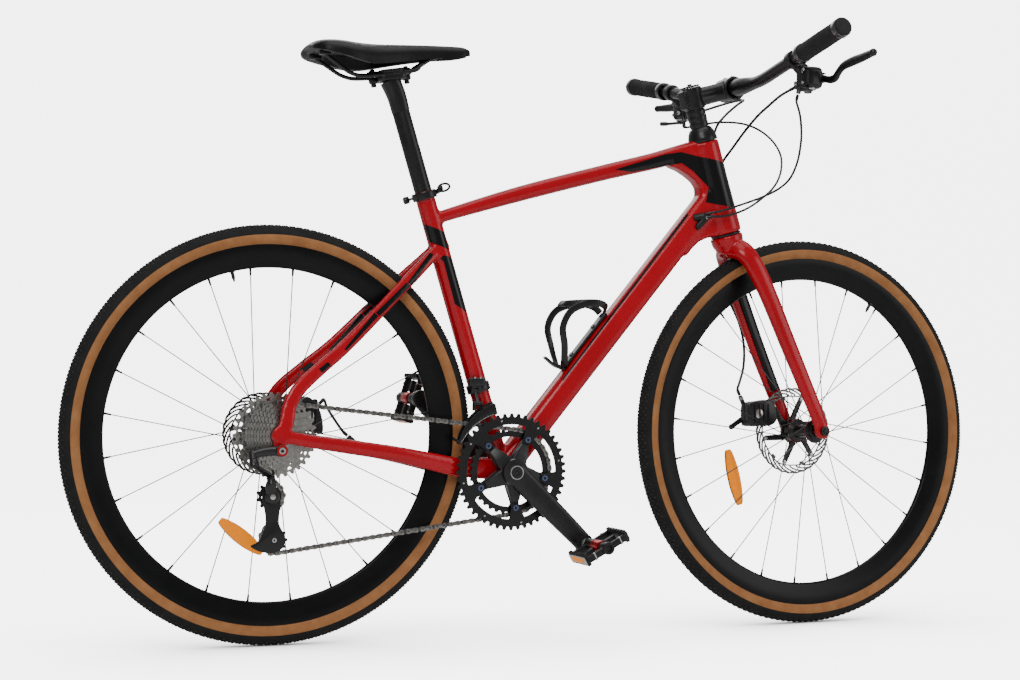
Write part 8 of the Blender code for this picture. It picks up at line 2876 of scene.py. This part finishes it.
@dataclass
class Studio:
    """Pale floor, soft lights and the camera at the photograph's viewing angle."""

    camera_at: tuple = (-1.3413, -3.3547, 0.4793)
    yaw: float = 0.361
    pitch: float = 0.009
    roll: float = 0.007
    lens: float = 72.67
    floor_glow: float = 5.0
    surroundings: float = 0.30

    def floor(self) -> None:
        """Plain pale floor that runs up into a far wall on a smooth curve."""
        along = np.linspace(-6.0, 6.0, 3)
        reach = np.concatenate([np.linspace(-9.0, 5.0, 8), 5.0 + 2.0 * np.sin(np.linspace(0.1, 1.57, 10)),
                                np.full(4, 7.0)])
        rise = np.concatenate([np.zeros(8), 2.0 * (1 - np.cos(np.linspace(0.1, 1.57, 10))),
                               np.linspace(3.0, 8.0, 4)])
        grid = np.stack([np.broadcast_to(along[None] * 3, (len(reach), 3)),
                         np.broadcast_to(reach[:, None], (len(reach), 3)),
                         np.broadcast_to(rise[:, None], (len(reach), 3))], -1)
        made = lattice(grid, False, False, False)
        mesh = bpy.data.meshes.new("floor")
        mesh.from_pydata(made.points.tolist(), [], made.corners.reshape(-1, 4).tolist())
        mesh.shade_smooth()
        mesh.materials.append(self.floor_material())
        floor = bpy.data.objects.new("floor", mesh)
        bpy.context.scene.collection.objects.link(floor)

    def floor_material(self) -> bpy.types.Material:
        """Pale matt floor that looks brighter to the eye than the light it gives back to the bicycle; its
        glow is dimmed by ambient occlusion, a painted contact shadow under the wheels.

        Returns:
            The material.
        """
        made = Finish("pale_floor", (0.84, 0.84, 0.84), (0.87, 0.87, 0.87), rough=0.8, spread=0.1,
                      clouds=2.0, grain=300.0, depth=0.01, gloss=0.1).material()
        graph = Graph(made.node_tree)
        seen = graph.add("ShaderNodeLightPath").outputs["Is Camera Ray"]
        shader = made.node_tree.nodes["Principled BSDF"]
        shader.inputs["Emission Color"].default_value = (1.0, 1.0, 1.0, 1.0)
        # Painted contact shadow: the camera-only glow is dimmed where nearby parts hide the floor, darkest
        # under the tyres.
        painted_contact_shadow_ao = graph.add("ShaderNodeAmbientOcclusion", {"Distance": 0.45}, samples=12).outputs["AO"]
        shade = graph.math("POWER", painted_contact_shadow_ao, 2.0)
        graph.tree.links.new(graph.math("MULTIPLY", graph.math("MULTIPLY", seen, shade), self.floor_glow),
                             shader.inputs["Emission Strength"])
        return made

    def light(self, name: str, at: Sequence[float], size: tuple[float, float], power: float) -> None:
        """Adds a soft rectangular light that faces the bicycle's middle.

        Args:
            name: the light's name.
            at: where it stands.
            size: width and height.
            power: power in watts.
        """
        lamp = bpy.data.lights.new(name, "AREA")
        lamp.shape, lamp.size, lamp.size_y, lamp.energy = "RECTANGLE", size[0], size[1], power
        made = bpy.data.objects.new(name, lamp)
        made.location = at
        aim = Vector((0.0, 0.0, 0.5)) - Vector(at)
        made.rotation_euler = aim.to_track_quat("-Z", "Y").to_euler()
        bpy.context.scene.collection.objects.link(made)

    def camera(self) -> None:
        """Adds the camera from its place, yaw, pitch, roll and lens."""
        ahead = np.array([math.sin(self.yaw) * math.cos(self.pitch),
                          math.cos(self.yaw) * math.cos(self.pitch), math.sin(self.pitch)])
        right = np.array([math.cos(self.yaw), -math.sin(self.yaw), 0.0])
        above = np.cross(right, ahead)
        c, s = math.cos(self.roll), math.sin(self.roll)
        columns = np.stack([c * right + s * above, -s * right + c * above, -ahead], -1)
        view = bpy.data.cameras.new("camera")
        view.lens, view.sensor_width, view.sensor_fit = self.lens, 36.0, "HORIZONTAL"
        made = bpy.data.objects.new("camera", view)
        made.matrix_world = Matrix.Translation(self.camera_at) @ Matrix(columns.tolist()).to_4x4()
        bpy.context.scene.collection.objects.link(made)
        bpy.context.scene.camera = made

    def make(self) -> None:
        """Builds the floor, the lights and the camera."""
        self.floor()
        self.light("key_light", (-2.2, -3.6, 3.4), (2.6, 2.0), 95.0)
        self.light("top_light", (0.2, -0.4, 3.8), (4.0, 3.0), 70.0)
        self.light("fill_light", (3.4, -2.6, 1.6), (2.0, 2.4), 30.0)
        self.light("back_light", (0.5, 3.4, 2.6), (3.5, 1.6), 40.0)
        world = bpy.data.worlds.new("studio")
        world.use_nodes = True
        shade = world.node_tree.nodes["Background"]
        shade.inputs["Color"].default_value = (1.0, 1.0, 1.0, 1.0)
        shade.inputs["Strength"].default_value = self.surroundings
        bpy.context.scene.world = world
        self.camera()


def main() -> None:
    """Builds the studio and every sub-assembly in order."""
    logging.basicConfig(level=logging.INFO, format="%(message)s")
    Studio().make()
    drive, cockpit, front, rear = Drive(), Cockpit(), front_brake(), rear_brake()
    parts = (Frameset(), Fork(), front_wheel(), rear_wheel(), drive, Derailleurs(drive), cockpit, Seat(),
             front, rear, Axles(), BottleCage(), Cables(cockpit, front, rear),
             Reflector("rear", (-0.591, 0.211), (-0.520, 0.155), -0.015, FIXED),
             Reflector("front", (0.348, 0.317), (0.373, 0.217), 0.015, STEERED))
    for part in parts:
        part.make()
        log.info("%s done", type(part).__name__)


if __name__ == "__main__":
    main()
